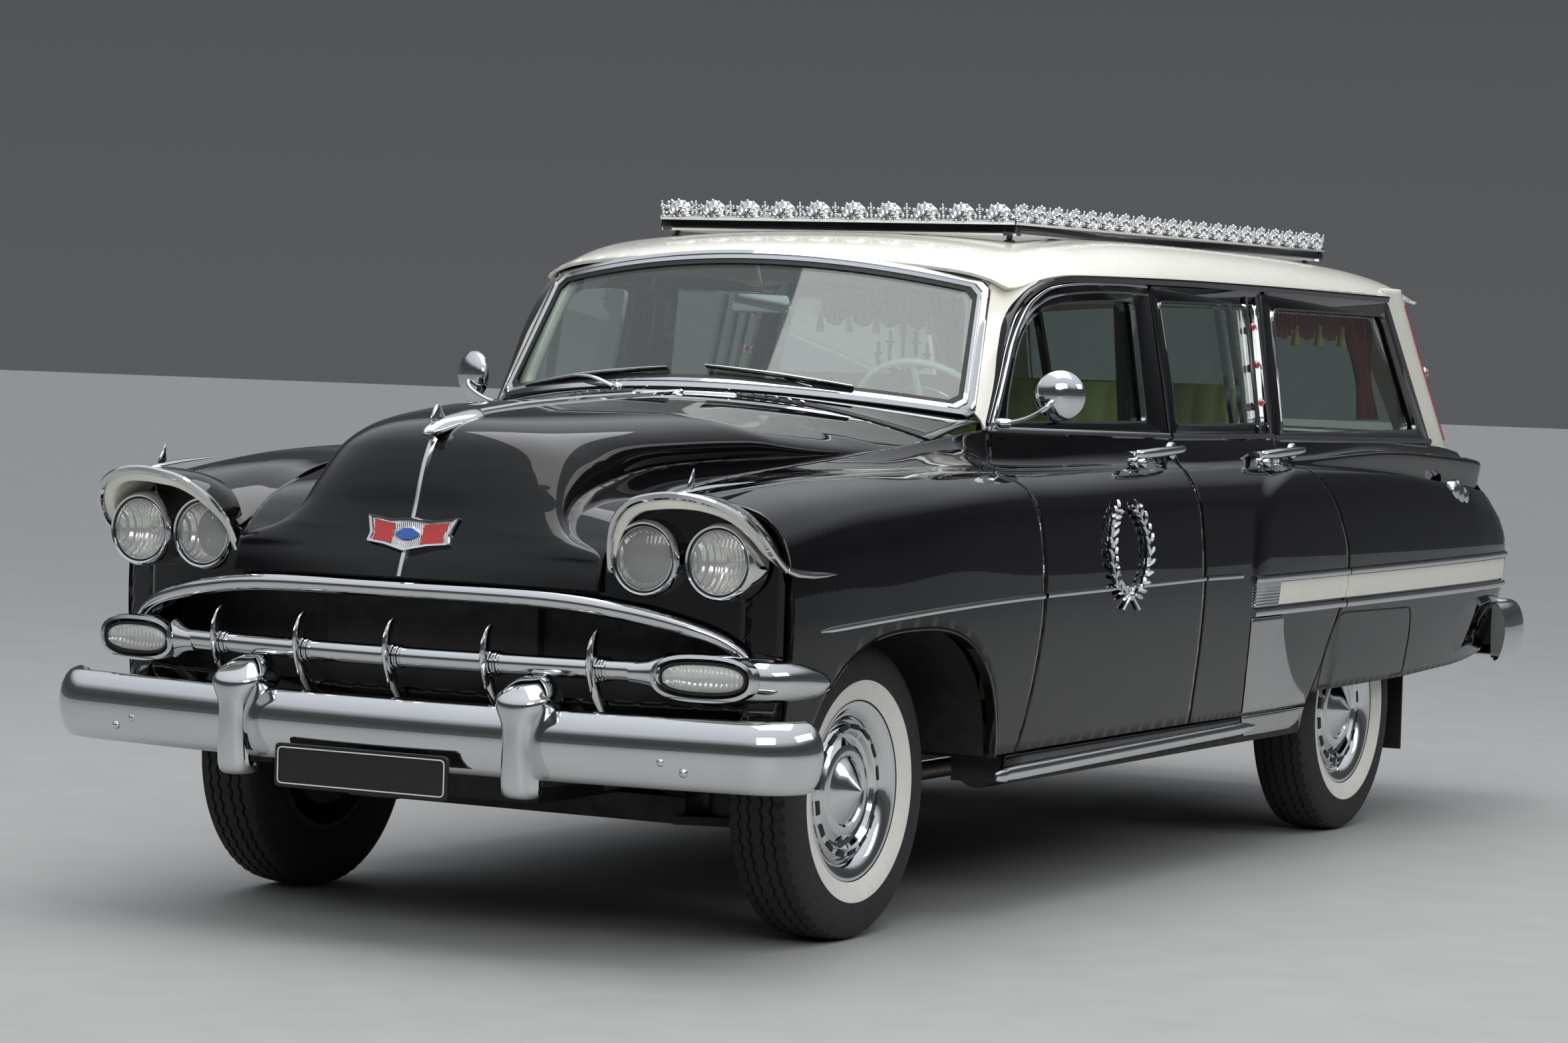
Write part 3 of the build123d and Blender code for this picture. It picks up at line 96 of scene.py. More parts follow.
def new_material(name):
    material = bpy.data.materials.new(name)
    material.use_nodes = True
    return material, material.node_tree


def set_sockets(made, values):
    for socket, value in values.items():
        made.inputs[socket.replace("_", " ")].default_value = value


def new_node(tree, kind, **values):
    """A new shader node with some of its sockets set."""
    made = tree.nodes.new(f"ShaderNode{kind}")
    set_sockets(made, values)
    return made


def place_noise(tree, scale, detail=3.0, stretch=(1, 1, 1)):
    """Noise over the piece's own space, as its Fac socket."""
    space = new_node(tree, "TexCoord")
    mapping = new_node(tree, "Mapping", Scale=stretch)
    noise = new_node(tree, "TexNoise", Scale=scale, Detail=detail)
    link(tree, space.outputs["Object"], mapping.inputs["Vector"])
    link(tree, mapping.outputs["Vector"], noise.inputs["Vector"])
    return noise.outputs["Fac"]


def spread(tree, fac, low, high):
    """The factor's middle range, spread between two numbers."""
    ranged = new_node(tree, "MapRange", From_Min=0.3, From_Max=0.7, To_Min=low, To_Max=high)
    link(tree, fac, ranged.inputs["Value"])
    return ranged.outputs["Result"]


def blended(tree, fac, low, high):
    mix = new_node(tree, "Mix")
    mix.data_type = "RGBA"
    mix.inputs["A"].default_value = (*low, 1)
    mix.inputs["B"].default_value = (*high, 1)
    link(tree, fac, mix.inputs["Factor"])
    return mix.outputs["Result"]


def relief(tree, shader, height, strength, distance):
    bump = new_node(tree, "Bump", Strength=strength, Distance=distance)
    link(tree, height, bump.inputs["Height"])
    link(tree, bump.outputs["Normal"], shader.inputs["Normal"])


def surface(name, colour, rough, shift=0.12, scale=18.0, grain=None, stretch=(1, 1, 1), **sockets):
    """A finish: colour and roughness vary a little over the surface, and grain is (scale, strength, distance)."""
    material, tree = new_material(name)
    shader = tree.nodes["Principled BSDF"]
    set_sockets(shader, sockets)
    fac = place_noise(tree, scale, stretch=stretch)
    light = tuple(min(1, c * (1 + shift)) for c in colour)
    dark = tuple(c * (1 - shift) for c in colour)
    link(tree, blended(tree, spread(tree, fac, 0, 1), dark, light), shader.inputs["Base Color"])
    link(tree, spread(tree, place_noise(tree, scale * 3.1, stretch=stretch), *rough), shader.inputs["Roughness"])
    if grain:
        relief(tree, shader, place_noise(tree, grain[0], 2.0, stretch), grain[1], grain[2])
    return material


def see_through(name, tint, mirror=0.045, ribs=None, painted_glare=0):
    """Thin glass: clear straight on, mirror-like at a slant, with no bending. milk is its share of pressed white."""
    material, tree = new_material(name)
    tree.nodes.remove(tree.nodes["Principled BSDF"])
    through = new_node(tree, "BsdfTransparent", Color=(*tint, 1)).outputs["BSDF"]
    gloss = new_node(tree, "BsdfGlossy", Roughness=0.02)
    edge = new_node(tree, "LayerWeight", Blend=0.5)
    steep = new_node(tree, "Math")
    steep.operation = "POWER"
    steep.inputs[1].default_value = 5.0
    share = new_node(tree, "MapRange", To_Min=mirror, To_Max=1.0)
    mix = new_node(tree, "MixShader")
    link(tree, edge.outputs["Facing"], steep.inputs[0])
    link(tree, steep.outputs["Value"], share.inputs["Value"])
    link(tree, share.outputs["Result"], mix.inputs["Fac"])
    # Diffuse white mixed into the see-through part: painted glare, not a property of the glass
    if painted_glare:
        glare_white = new_node(tree, "BsdfDiffuse", Color=(0.82, 0.83, 0.80, 1))
        veil = new_node(tree, "MixShader", Fac=painted_glare)
        link(tree, through, veil.inputs[1])
        link(tree, glare_white.outputs["BSDF"], veil.inputs[2])
        through = veil.outputs["Shader"]
    link(tree, through, mix.inputs[1])
    link(tree, gloss.outputs["BSDF"], mix.inputs[2])
    link(tree, mix.outputs["Shader"], tree.nodes["Material Output"].inputs["Surface"])
    if ribs:
        relief(tree, gloss, ribbed(tree, ribs, "X"), 0.6, 0.002)
    return material


def ribbed(tree, scale, axis):
    wave = new_node(tree, "TexWave", Scale=scale)
    wave.bands_direction = axis
    link(tree, new_node(tree, "TexCoord").outputs["Object"], wave.inputs["Vector"])
    return wave.outputs["Fac"]


def brightwork(name, colour, rough, ribs=None, axis="Z", depth=0.002):
    material = surface(name, colour, rough, shift=0.02, scale=6, Metallic=1.0)
    if ribs:
        tree = material.node_tree
        relief(tree, tree.nodes["Principled BSDF"], ribbed(tree, ribs, axis), 0.8, depth)
    return material


LOOKS = {}


def make_looks():
    """Every finish of the car, with the record's slot that each belongs to."""
    chosen = settings()
    body, roof = tuple(chosen.body_colour), tuple(chosen.roof_colour)
    leather, cloth = tuple(chosen.leather_colour), tuple(chosen.curtain_colour)
    chrome = (0.68, 0.69, 0.70)
    LOOKS.update({
        "paint": (surface("black_lacquer", body, (0.04, 0.08), Coat_Weight=1.0, Coat_Roughness=0.012, Coat_IOR=1.4,
                          Specular_IOR_Level=0.05, grain=(420, 0.01, 0.001)), "black_paint"),
        "cream": (surface("cream_lacquer", roof, (0.16, 0.24), shift=0.025, Coat_Weight=0.6, Coat_Roughness=0.04,
                          grain=(420, 0.012, 0.001)), "cream_paint"),
        "chrome": (brightwork("polished_chrome", chrome, (0.03, 0.075)), "chrome"),
        "wheel_chrome": (brightwork("wheel_chrome", chrome, (0.035, 0.09)), "wheel_chrome"),
        "shield": (brightwork("stone_shield_chrome", (0.46, 0.46, 0.46), (0.1, 0.22)), "chrome"),
        "ribbed": (brightwork("ribbed_chrome", chrome, (0.06, 0.12), 38, "Z", 0.006), "chrome"),
        "reflector": (brightwork("lamp_reflector", (0.88, 0.88, 0.86), (0.12, 0.2), 26, "X"), "lamp_glass"),
        "glass": (see_through("window_glass", (0.90, 0.95, 0.93), 0.07), "window_glass"),
        # The lamp lenses carry painted glare: a share of diffuse white in place of the reflector's brightness through
        # the glass
        "lens": (see_through("lamp_lens", (0.95, 0.95, 0.93), 0.06, 34, 0.32), "lamp_glass"),
        "park_lens": (see_through("parking_lens", (0.95, 0.95, 0.93), 0.06, 34, 0.45), "lamp_glass"),
        "red_lens": (surface("red_lens", (0.45, 0.006, 0.008), (0.05, 0.1), Coat_Weight=1.0,
                             Transmission_Weight=0.35), "red_glass"),
        "tyre": (surface("tyre_rubber", (0.018, 0.018, 0.019), (0.62, 0.82), scale=40, grain=(900, 0.2, 0.001)),
                 "tyre"),
        "whitewall": (surface("white_rubber", (0.80, 0.78, 0.72), (0.4, 0.55), shift=0.04, scale=30,
                              grain=(700, 0.08, 0.001)), "tyre"),
        "rubber": (surface("black_rubber", (0.012, 0.012, 0.012), (0.45, 0.65), scale=60,
                           grain=(800, 0.15, 0.001)), "mat_rubber"),
        "underside": (surface("chassis_black", (0.02, 0.019, 0.018), (0.5, 0.75), shift=0.3, scale=9,
                              grain=(160, 0.3, 0.002)), "chassis_black"),
        "exhaust": (surface("exhaust_steel", (0.24, 0.21, 0.19), (0.35, 0.6), shift=0.25, scale=14, Metallic=1.0,
                            grain=(220, 0.2, 0.001)), "exhaust_steel"),
        "leather": (surface("olive_leather", leather, (0.32, 0.48), shift=0.1, scale=12,
                            grain=(520, 0.3, 0.0012)), "seat_leather"),
        "piping": (surface("brown_piping", (0.16, 0.03, 0.015), (0.35, 0.5), scale=40), "seat_leather"),
        "cloth": (surface("red_velvet", cloth, (0.7, 0.9), shift=0.2, scale=60, grain=(900, 0.4, 0.001),
                          Sheen_Weight=0.5), "curtain_cloth"),
        "tassel": (surface("gold_tassel", (0.42, 0.36, 0.12), (0.6, 0.8), shift=0.2, scale=200,
                           grain=(900, 0.5, 0.001)), "curtain_cloth"),
        "ivory": (surface("ivory_plastic", (0.66, 0.82, 0.68), (0.16, 0.26), shift=0.03, Coat_Weight=0.5,
                          Coat_Roughness=0.05, grain=(300, 0.02, 0.001)), "wheel_plastic"),
        "dash": (surface("dash_enamel", (0.02, 0.026, 0.022), (0.2, 0.32), Coat_Weight=0.4, grain=(380, 0.05, 0.001)),
                 "dash_paint"),
        "lining": (surface("headlining", (0.42, 0.42, 0.34), (0.75, 0.9), shift=0.06, scale=40,
                           grain=(900, 0.3, 0.001)), "seat_leather"),
        "carpet": (surface("dark_carpet", (0.03, 0.035, 0.025), (0.85, 0.95), shift=0.3, scale=120,
                           grain=(1500, 0.6, 0.002)), "mat_rubber"),
        "wood": (surface("varnished_wood", (0.17, 0.075, 0.03), (0.18, 0.32), shift=0.3, scale=7,
                         stretch=(6, 0.6, 6), Coat_Weight=0.7, grain=(60, 0.1, 0.001)), "deck_wood"),
        "plate": (surface("plate_enamel", (0.012, 0.012, 0.013), (0.25, 0.4), scale=20,
                          grain=(300, 0.05, 0.001)), "black_paint"),
        "badge_silver": (brightwork("badge_silver", (0.72, 0.73, 0.74), (0.2, 0.3), 60, "X", 0.004), "chrome"),
        "blue_enamel": (surface("blue_enamel", (0.01, 0.08, 0.42), (0.1, 0.18), scale=20, Coat_Weight=0.8),
                        "red_glass"),
        "enamel": (surface("red_enamel", (0.50, 0.012, 0.012), (0.1, 0.18), scale=20, Coat_Weight=0.8), "red_glass"),
    })


# Building blocks
PIECES = []


def piece(name, points, faces, look, body="body", wall=0, bevel=0, rounds=0, angle=36, stands_for=(), side=1):
    """One mesh piece, its points in millimetres, with its finish and the body that carries it."""
    mesh = bpy.data.meshes.new(name)
    turned_faces = [tuple(f) if side > 0 else tuple(reversed(f)) for f in faces]
    mesh.from_pydata([(side * x * MM, y * MM, z * MM) for x, y, z in points], [], turned_faces)
    mesh.validate()
    made = bpy.data.objects.new(name, mesh)
    bpy.context.scene.collection.objects.link(made)
    if rounds:
        smooth = made.modifiers.new("Rounded", "SUBSURF")
        smooth.levels = smooth.render_levels = rounds
    if wall:
        thick = made.modifiers.new("Wall", "SOLIDIFY")
        thick.thickness = wall * MM
        thick.offset = -1
        thick.use_even_offset = False
    if bevel:
        edge = made.modifiers.new("Edges", "BEVEL")
        edge.width = bevel * MM
        edge.segments = 2
        edge.limit_method = "ANGLE"
        edge.angle_limit = radians(40)
        edge.harden_normals = True
    if made.modifiers:
        graph = bpy.context.evaluated_depsgraph_get()
        finished = bpy.data.meshes.new_from_object(made.evaluated_get(graph))
        made.modifiers.clear()
        made.data = finished
    made.data.polygons.foreach_set("use_smooth", [True] * len(made.data.polygons))
    made.data.set_sharp_from_angle(angle=radians(angle))
    material, slot = LOOKS[look]
    made.data.materials.clear()
    made.data.materials.append(material)
    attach(made, body)
    for node in stands_for:
        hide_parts(node)
    PIECES.append(made)
    return made


def pair(name, points, faces, look, body="body", stands_for=(), **extra):
    """The same piece on the left and, mirrored, on the right; LEFT in a name gives way to each side's word."""
    for side, word in ((1, "left"), (-1, "right")):
        piece(f"{name}_{word}", points, faces, look, body.replace("LEFT", word), side=side,
              stands_for=[n.replace("LEFT", word) for n in stands_for], **extra)


def grid_faces(rows, columns, loop_rows=False, loop_columns=False):
    faces = []
    for i in range(rows if loop_rows else rows - 1):
        for j in range(columns if loop_columns else columns - 1):
            a, b = i * columns + j, i * columns + (j + 1) % columns
            c, d = (i + 1) % rows * columns + (j + 1) % columns, (i + 1) % rows * columns + j
            faces.append((a, b, c, d))
    return faces


def skin(rows, flip=False):
    """Points and faces of a sheet given as equal rows of points."""
    faces = grid_faces(len(rows), len(rows[0]))
    points = [p for row in rows for p in row]
    return points, [f[::-1] for f in faces] if flip else faces


def lofted(loops, closed_ends=True, flip=False):
    """Points and faces of a skin over closed loops of equal length."""
    count = len(loops[0])
    faces = grid_faces(len(loops), count, loop_columns=True)
    if closed_ends:
        faces.append(tuple(range(count))[::-1])
        faces.append(tuple(range((len(loops) - 1) * count, len(loops) * count)))
    points = [p for loop in loops for p in loop]
    return points, [f[::-1] for f in faces] if flip else faces


def merged(*parts):
    """Several (points, faces) as one."""
    points, faces = [], []
    for some_points, some_faces in parts:
        start = len(points)
        points += list(some_points)
        faces += [tuple(i + start for i in f) for f in some_faces]
    return points, faces


def swept(path, profile, outward=(1, 0, 0), sizes=None, closed=False):
    """A profile, as (outward, across) points, carried along a path. sizes scale it along the way."""
    track = [Vector(p) for p in path]
    loops = []
    for i, at in enumerate(track):
        before = track[i - 1] if i or closed else at
        after = track[(i + 1) % len(track)] if i < len(track) - 1 or closed else at
        along = (after - before).normalized()
        out = Vector(outward(at) if callable(outward) else outward)
        out = (out - along * out.dot(along)).normalized()
        across = along.cross(out)
        size = sizes[i] if sizes else 1
        loops.append([tuple(at + out * u * size + across * v * size) for u, v in profile])
    if closed:
        count = len(profile)
        return [p for loop in loops for p in loop], [f[::-1] for f in grid_faces(len(loops), count, True, True)]
    return lofted(loops, flip=True)


def ring_profile(radius, count=10, flat=1.0):
    return [(radius * flat * cos(2 * pi * i / count), radius * sin(2 * pi * i / count)) for i in range(count)]


def turned(profile, centre, axis=(1, 0, 0), count=72):
    """A profile of (along, radius) turned round an axis through a centre."""
    axis = Vector(axis).normalized()
    across = axis.orthogonal().normalized()
    other = axis.cross(across)
    centre = Vector(centre)
    loops = []
    for i in range(count):
        angle = 2 * pi * i / count
        spoke = across * cos(angle) + other * sin(angle)
        loops.append([tuple(centre + axis * along + spoke * radius) for along, radius in profile])
    return [p for loop in loops for p in loop], grid_faces(count, len(profile), loop_rows=True)


def smooth_curve(points, steps=6):
    """A Catmull-Rom curve through the points."""
    curve = []
    for i in range(len(points) - 1):
        quad = [np.array(points[min(max(i + k, 0), len(points) - 1)], float) for k in (-1, 0, 1, 2)]
        for k in range(steps):
            t = k / steps
            a, b, c, d = quad
            curve.append(tuple(0.5 * (2 * b + (c - a) * t + (2 * a - 5 * b + 4 * c - d) * t ** 2
                                      + (3 * b - a - 3 * c + d) * t ** 3)))
    return curve + [tuple(points[-1])]


def rounded(corners, radius, steps=5):
    """A closed outline with its corners rounded; radius is one number or one for each corner."""
    outline = []
    count = len(corners)
    for i, corner in enumerate(corners):
        at = Vector(corner)
        before, after = Vector(corners[i - 1]), Vector(corners[(i + 1) % count])
        r = radius[i] if isinstance(radius, (list, tuple)) else radius
        a, b = before - at, after - at
        reach = min(r, a.length * 0.48, b.length * 0.48)
        start, end = at + a.normalized() * reach, at + b.normalized() * reach
        for k in range(steps):
            t = k / (steps - 1)
            outline.append(tuple(start * (1 - t) ** 2 + at * 2 * t * (1 - t) + end * t ** 2))
    return outline


def lerp(a, b, t):
    return a + (b - a) * t


def both_sides(line):
    """A line that starts in the middle, led in by its own mirror image."""
    return [(-x, y, z) for x, y, z in line[::-1]][:-1] + list(line)


def tapering(count, low, high, reach):
    """Sizes for a sweep that grow from low to high over some steps at both of its ends."""
    return [lerp(low, high, min(i, count - 1 - i, reach) / reach) for i in range(count)]


def spaced(low, high, count):
    return [lerp(low, high, i / (count - 1)) for i in range(count)]


def along_table(table, place):
    """The table's value at a place: rows are (place, value) with straight runs."""
    places = [row[0] for row in table]
    i = min(max(bisect_right(places, place) - 1, 0), len(table) - 2)
    t = min(max((place - places[i]) / (places[i + 1] - places[i]), 0), 1)
    return lerp(table[i][1], table[i + 1][1], t)


def smooth_row(places, rows, place):
    """The row at a place, on a smooth curve through the table's rows."""
    i = min(max(bisect_right(places, place) - 1, 0), len(places) - 2)
    span = places[i + 1] - places[i]
    t = min(max((place - places[i]) / span, 0), 1)

    def slope(k):
        a, b = max(k - 1, 0), min(k + 1, len(places) - 1)
        return (rows[b] - rows[a]) / (places[b] - places[a]) * span

    return (rows[i] * (1 + 2 * t) * (1 - t) ** 2 + rows[i + 1] * t * t * (3 - 2 * t)
            + slope(i) * t * (1 - t) ** 2 - slope(i + 1) * t * t * (1 - t))


# The side of the body, front to back: y, then sill, low, wide, bulge, shoulder, crest, hollow, foot, top,
# shelf and belt as (x, z)
SIDE = (
    (-2255, (866, 520), (878, 640), (880, 768), (866, 890), (816, 968), (700, 1010), (645, 1008), (585, 985),
     (550, 955), (518, 925), (492, 900)),
    (-2000, (884, 465), (897, 620), (902, 768), (890, 905), (846, 992), (745, 1032), (690, 1036), (632, 1032),
     (590, 1024), (550, 1015), (512, 1010)),
    (-1755, (896, 430), (910, 600), (914, 768), (902, 910), (862, 1006), (780, 1048), (728, 1054), (676, 1054),
     (634, 1052), (590, 1050), (545, 1049)),
    (-1420, (905, 395), (921, 600), (926, 768), (916, 925), (884, 1012), (818, 1058), (776, 1061), (734, 1060),
     (700, 1064), (664, 1074), (626, 1087)),
    (-1080, (906, 395), (925, 600), (932, 768), (920, 930), (894, 1010), (850, 1053), (808, 1060), (770, 1071),
     (738, 1088), (712, 1108), (692, 1130)),
    (-850, (906, 395), (926, 600), (934, 768), (921, 930), (896, 1008), (854, 1050), (812, 1056), (770, 1059),
     (728, 1064), (712, 1098), (706, 1150)),
    (-400, (907, 395), (928, 600), (936, 768), (923, 930), (901, 1002), (868, 1046), (845, 1055), (822, 1060),
     (803, 1068), (790, 1098), (783, 1140)),
    (-35, (908, 395), (930, 600), (938, 768), (924, 930), (905, 995), (876, 1040), (862, 1052), (852, 1062),
     (846, 1074), (836, 1100), (824, 1130)),
    (700, (905, 395), (930, 600), (938, 768), (924, 930), (903, 995), (872, 1040), (860, 1052), (850, 1062),
     (844, 1072), (836, 1096), (822, 1126)),
    (2215, (862, 470), (882, 600), (890, 768), (880, 880), (862, 950), (838, 1000), (826, 1010), (812, 1020),
     (804, 1030), (792, 1042), (782, 1062)),
)
# The same columns over the rear wheel, with the bulge and the fin
REAR_SIDE = (
    (250, (907, 395), (930, 600), (947, 768), (939, 890), (918, 990), (880, 1042), (862, 1052), (852, 1060),
     (846, 1072), (836, 1098), (824, 1128)),
    (700, (905, 395), (930, 600), (952, 768), (942, 885), (922, 975), (896, 1032), (874, 1043), (862, 1047),
     (856, 1060), (838, 1070), (822, 1122)),
    (1400, (900, 412), (926, 600), (946, 768), (934, 875), (914, 958), (894, 1010), (866, 1010), (858, 1022),
     (868, 1072), (834, 1076), (808, 1108)),
    (2000, (884, 445), (912, 600), (930, 768), (917, 862), (896, 928), (876, 966), (846, 962), (846, 985),
     (862, 1046), (820, 1054), (790, 1082)),
    (2215, (868, 465), (898, 600), (916, 768), (901, 855), (876, 912), (854, 948), (832, 942), (838, 962),
     (852, 1030), (800, 1040), (780, 1060)),
    (2310, (856, 490), (888, 600), (906, 768), (889, 850), (860, 905), (838, 940), (820, 940), (824, 950),
     (830, 1000), (795, 1030), (770, 1050)),
)
SIDE_PLACES = [row[0] for row in SIDE]
REAR_PLACES = [row[0] for row in REAR_SIDE]
SIDE_ROWS = np.array([row[1:] for row in SIDE], float)
REAR_ROWS = np.array([row[1:] for row in REAR_SIDE], float)
COLUMNS = SIDE_ROWS.shape[1]
# Front edge of the rear bulge in side view, as (z, y)
BULGE_FRONT = ((640, 272), (793, 272), (860, 296), (914, 329), (960, 372), (1000, 436), (1030, 530), (1046, 640))
BULGE_ROUND = 78


PLACES = np.linspace(0, COLUMNS - 1, 10 * (COLUMNS - 1) + 1)
SECTION_STEP = 4.0
SECTIONS = {}


def section_curve(points):
    """A smooth curve through a section's points, at every place round it."""
    i = np.minimum(PLACES.astype(int), COLUMNS - 2)
    t = (PLACES - i)[:, None]
    a, b, c, d = (points[np.clip(i + k, 0, COLUMNS - 1)] for k in (-1, 0, 1, 2))
    return 0.5 * (2 * b + (c - a) * t + (2 * a - 5 * b + 4 * c - d) * t * t + (3 * b - a - 3 * c + d) * t ** 3)


def section(step):
    """The body side's section at a whole number of steps along the car, kept once it is worked out."""
    if step not in SECTIONS:
        y = step * SECTION_STEP
        outline = section_curve(smooth_row(SIDE_PLACES, SIDE_ROWS, y))
        if y > REAR_PLACES[0]:
            full = section_curve(smooth_row(REAR_PLACES, REAR_ROWS, y))
            heights, edges = zip(*BULGE_FRONT)
            inside = np.clip((y - np.interp(full[:, 1], heights, edges)) / BULGE_ROUND, 0, 1)
            share = np.sqrt(1 - (1 - inside) ** 2)
            if y < 900:
                share = share * np.clip(PLACES / 2, 0, 1)
            outline = outline + (full - outline) * share[:, None]
        SECTIONS[step] = outline
    return SECTIONS[step]


def section_at(y):
    step = int(y // SECTION_STEP)
    t = y / SECTION_STEP - step
    return section(step) * (1 - t) + section(step + 1) * t


def side_xz(y, s):
    """The body side at y: s runs from the sill, 0, to the belt, 10."""
    outline = section_at(y)
    i = min(int(s * 10), len(PLACES) - 2)
    return outline[i] + (outline[i + 1] - outline[i]) * (s * 10 - i)


def height_place(y, z, top=5.0):
    """The place s round the section where the body side is z high, up to a given place."""
    count = int(top * 10) + 1
    return float(np.interp(z, section_at(y)[:count, 1], PLACES[:count]))


def side_point(y, z, out=0.0):
    """A point on the body side by its place along the car and its height, moved out by a little."""
    s = height_place(y, z)
    x, height = side_xz(y, s)
    return (x + out, y, height)


def edge_at(table, z):
    return along_table(table, z)


# Shut lines in side view, as (z, y), from the bottom up
FRONT_SHUT = ((388, -1076), (447, -1046), (530, -1020), (618, -1001), (690, -990), (763, -985), (850, -985),
              (930, -990), (985, -1000), (1015, -1016), (1034, -1042), (1052, -1108))
# Over the shoulder it runs inward to the foot of the windscreen pillar, as (place round the section, y)
FRONT_SHUT_TOP = ((5, -1108), (6, -1028), (7, -952), (8, -879), (9, -857), (10, -850))
MIDDLE_SHUT = ((388, -50), (600, -46), (1000, -44), (1135, -42))
REAR_SHUT = ((398, 740), (426, 762), (480, 800), (540, 835), (600, 868), (677, 905), (760, 912), (840, 902),
             (920, 872), (980, 832), (1020, 780), (1046, 710), (1070, 650), (1130, 628))
BELT = COLUMNS - 1.0


def front_shut(z, s):
    return along_table(FRONT_SHUT_TOP, s) if s > 5 else edge_at(FRONT_SHUT, z)


def side_panel(front, back, low, columns, rows, front_gap=0, back_gap=0):
    """A sheet of the body side between two shut lines, from a lower edge low(y) up to the belt."""
    def settled(t, share):
        y, s = 0.0, BELT * t
        for _ in range(5):
            z = side_xz(y, s)[1] if y else low(0) + (1100 - low(0)) * t
            y = lerp(front(z, s) + front_gap, back(z) - back_gap, share)
            s = lerp(height_place(y, low(y)), BELT, t)
        x, z = side_xz(y, s)
        return (x, y, z)

    return skin([[settled(t, share) for share in spaced(0, 1, columns)] for t in spaced(0, 1, rows)])


# Front wings
ARCH_CENTRE_Y = -1622
ARCH_HALF_LENGTH = 452
ARCH_TOP_Z = 716
ARCH_SPRING_Z = 330
WING_FRONT_Z = 478
WING_FOOT_Z = 432
SILL_Z = 395
NOSE_CENTRE_Y = -2318
NOSE_SIDE = (872, -2160)


def nose_y(x):
    """How far forward the nose lies at a distance from the middle."""
    return NOSE_CENTRE_Y + (NOSE_SIDE[1] - NOSE_CENTRE_Y) * (x / NOSE_SIDE[0]) ** 2


def arch_z(y):
    """The wheel opening's height at y."""
    share = (y - ARCH_CENTRE_Y) / ARCH_HALF_LENGTH
    if abs(share) >= 1:
        return 0
    return ARCH_SPRING_Z + (ARCH_TOP_Z - ARCH_SPRING_Z) * (1 - abs(share) ** 2.7) ** (1 / 2.3)


def wing_low(y):
    floor = lerp(WING_FRONT_Z, WING_FOOT_Z, min(max((y + 2255) / 190, 0), 1)) if y < ARCH_CENTRE_Y else SILL_Z
    return max(floor, arch_z(y))


def arch_line(out):
    """Points round the edge of the wheel opening, from the front foot to the rear foot."""
    line = []
    for i in range(60):
        reach = -cos(pi * i / 59)
        y = ARCH_CENTRE_Y + (ARCH_HALF_LENGTH - 0.5) * (abs(reach) ** 0.8) * (1 if reach > 0 else -1)
        line.append(side_point(y, max(arch_z(y), WING_FOOT_Z if y < ARCH_CENTRE_Y else SILL_Z), out))
    return line


WING_ENDS = (-2235, -1000)
WING_MIDDLE = (-2112, -1125)


def wing_columns():
    """Places along the front wing, closest together at the feet of the wheel opening."""
    legs = [ARCH_CENTRE_Y + side * ARCH_HALF_LENGTH * share for side in (-1, 1)
            for share in (1.0001, 0.9999, 0.997, 0.99, 0.98, 0.965, 0.945, 0.92, 0.885, 0.845, 0.8)]
    return sorted(set(legs + spaced(WING_ENDS[0], WING_ENDS[1], 60) + spaced(-1110, WING_ENDS[1], 14)))


def build_wings():
    def settled(t, place):
        y, s = place, BELT * t
        for _ in range(6):
            x, z = side_xz(y, s)
            if place < WING_MIDDLE[0]:
                y = lerp(nose_y(x) + 2, WING_MIDDLE[0], (place - WING_ENDS[0]) / (WING_MIDDLE[0] - WING_ENDS[0]))
            elif place > WING_MIDDLE[1]:
                y = lerp(WING_MIDDLE[1], front_shut(z, s) - SHUT_GAP,
                         (place - WING_MIDDLE[1]) / (WING_ENDS[1] - WING_MIDDLE[1]))
            s = lerp(height_place(y, wing_low(y)), BELT, t)
        x, z = side_xz(y, s)
        return (x, y, z)

    sheet = [[settled(t, place) for place in wing_columns()] for t in spaced(0, 1, 54)]
    pair("front_wing", *skin(sheet), "paint", wall=14, bevel=2.5, stands_for=["fender_LEFT"])
    lip = swept(arch_line(-1), [(1, -2), (2, 4), (0, 7), (-22, 8), (-22, 4), (-3, 3), (-3, -2)])
    pair("wing_arch_lip", *lip, "paint")
    build_wheel_house()


def build_wheel_house():
    """The inner side of each front wing: an arched apron over the wheel, and a panel down to the frame rail."""
    foot = ARCH_SPRING_Z + 60
    rows = [[(x, ARCH_CENTRE_Y - (ARCH_HALF_LENGTH + grow * 0.4) * cos(angle),
              foot + (ARCH_TOP_Z + grow + 10 - ARCH_SPRING_Z - 60) * sin(angle) ** 0.75)
             for angle in [pi * i / 32 for i in range(33)]]
            for x, grow in ((872, 0), (700, 26), (560, 40), (410, 44))]
    pair("wheel_house", *skin(rows), "underside", wall=3)
    inner = [[(408, y, 350), (408, y, 520), (430, y, 700), (x, y, z)] for x, y, z in
             ((470, -2120, 960), (540, -1800, 1020), (580, -1500, 1040), (660, -1125, 1080))]
    pair("inner_wing", *skin(inner), "underside", wall=3)


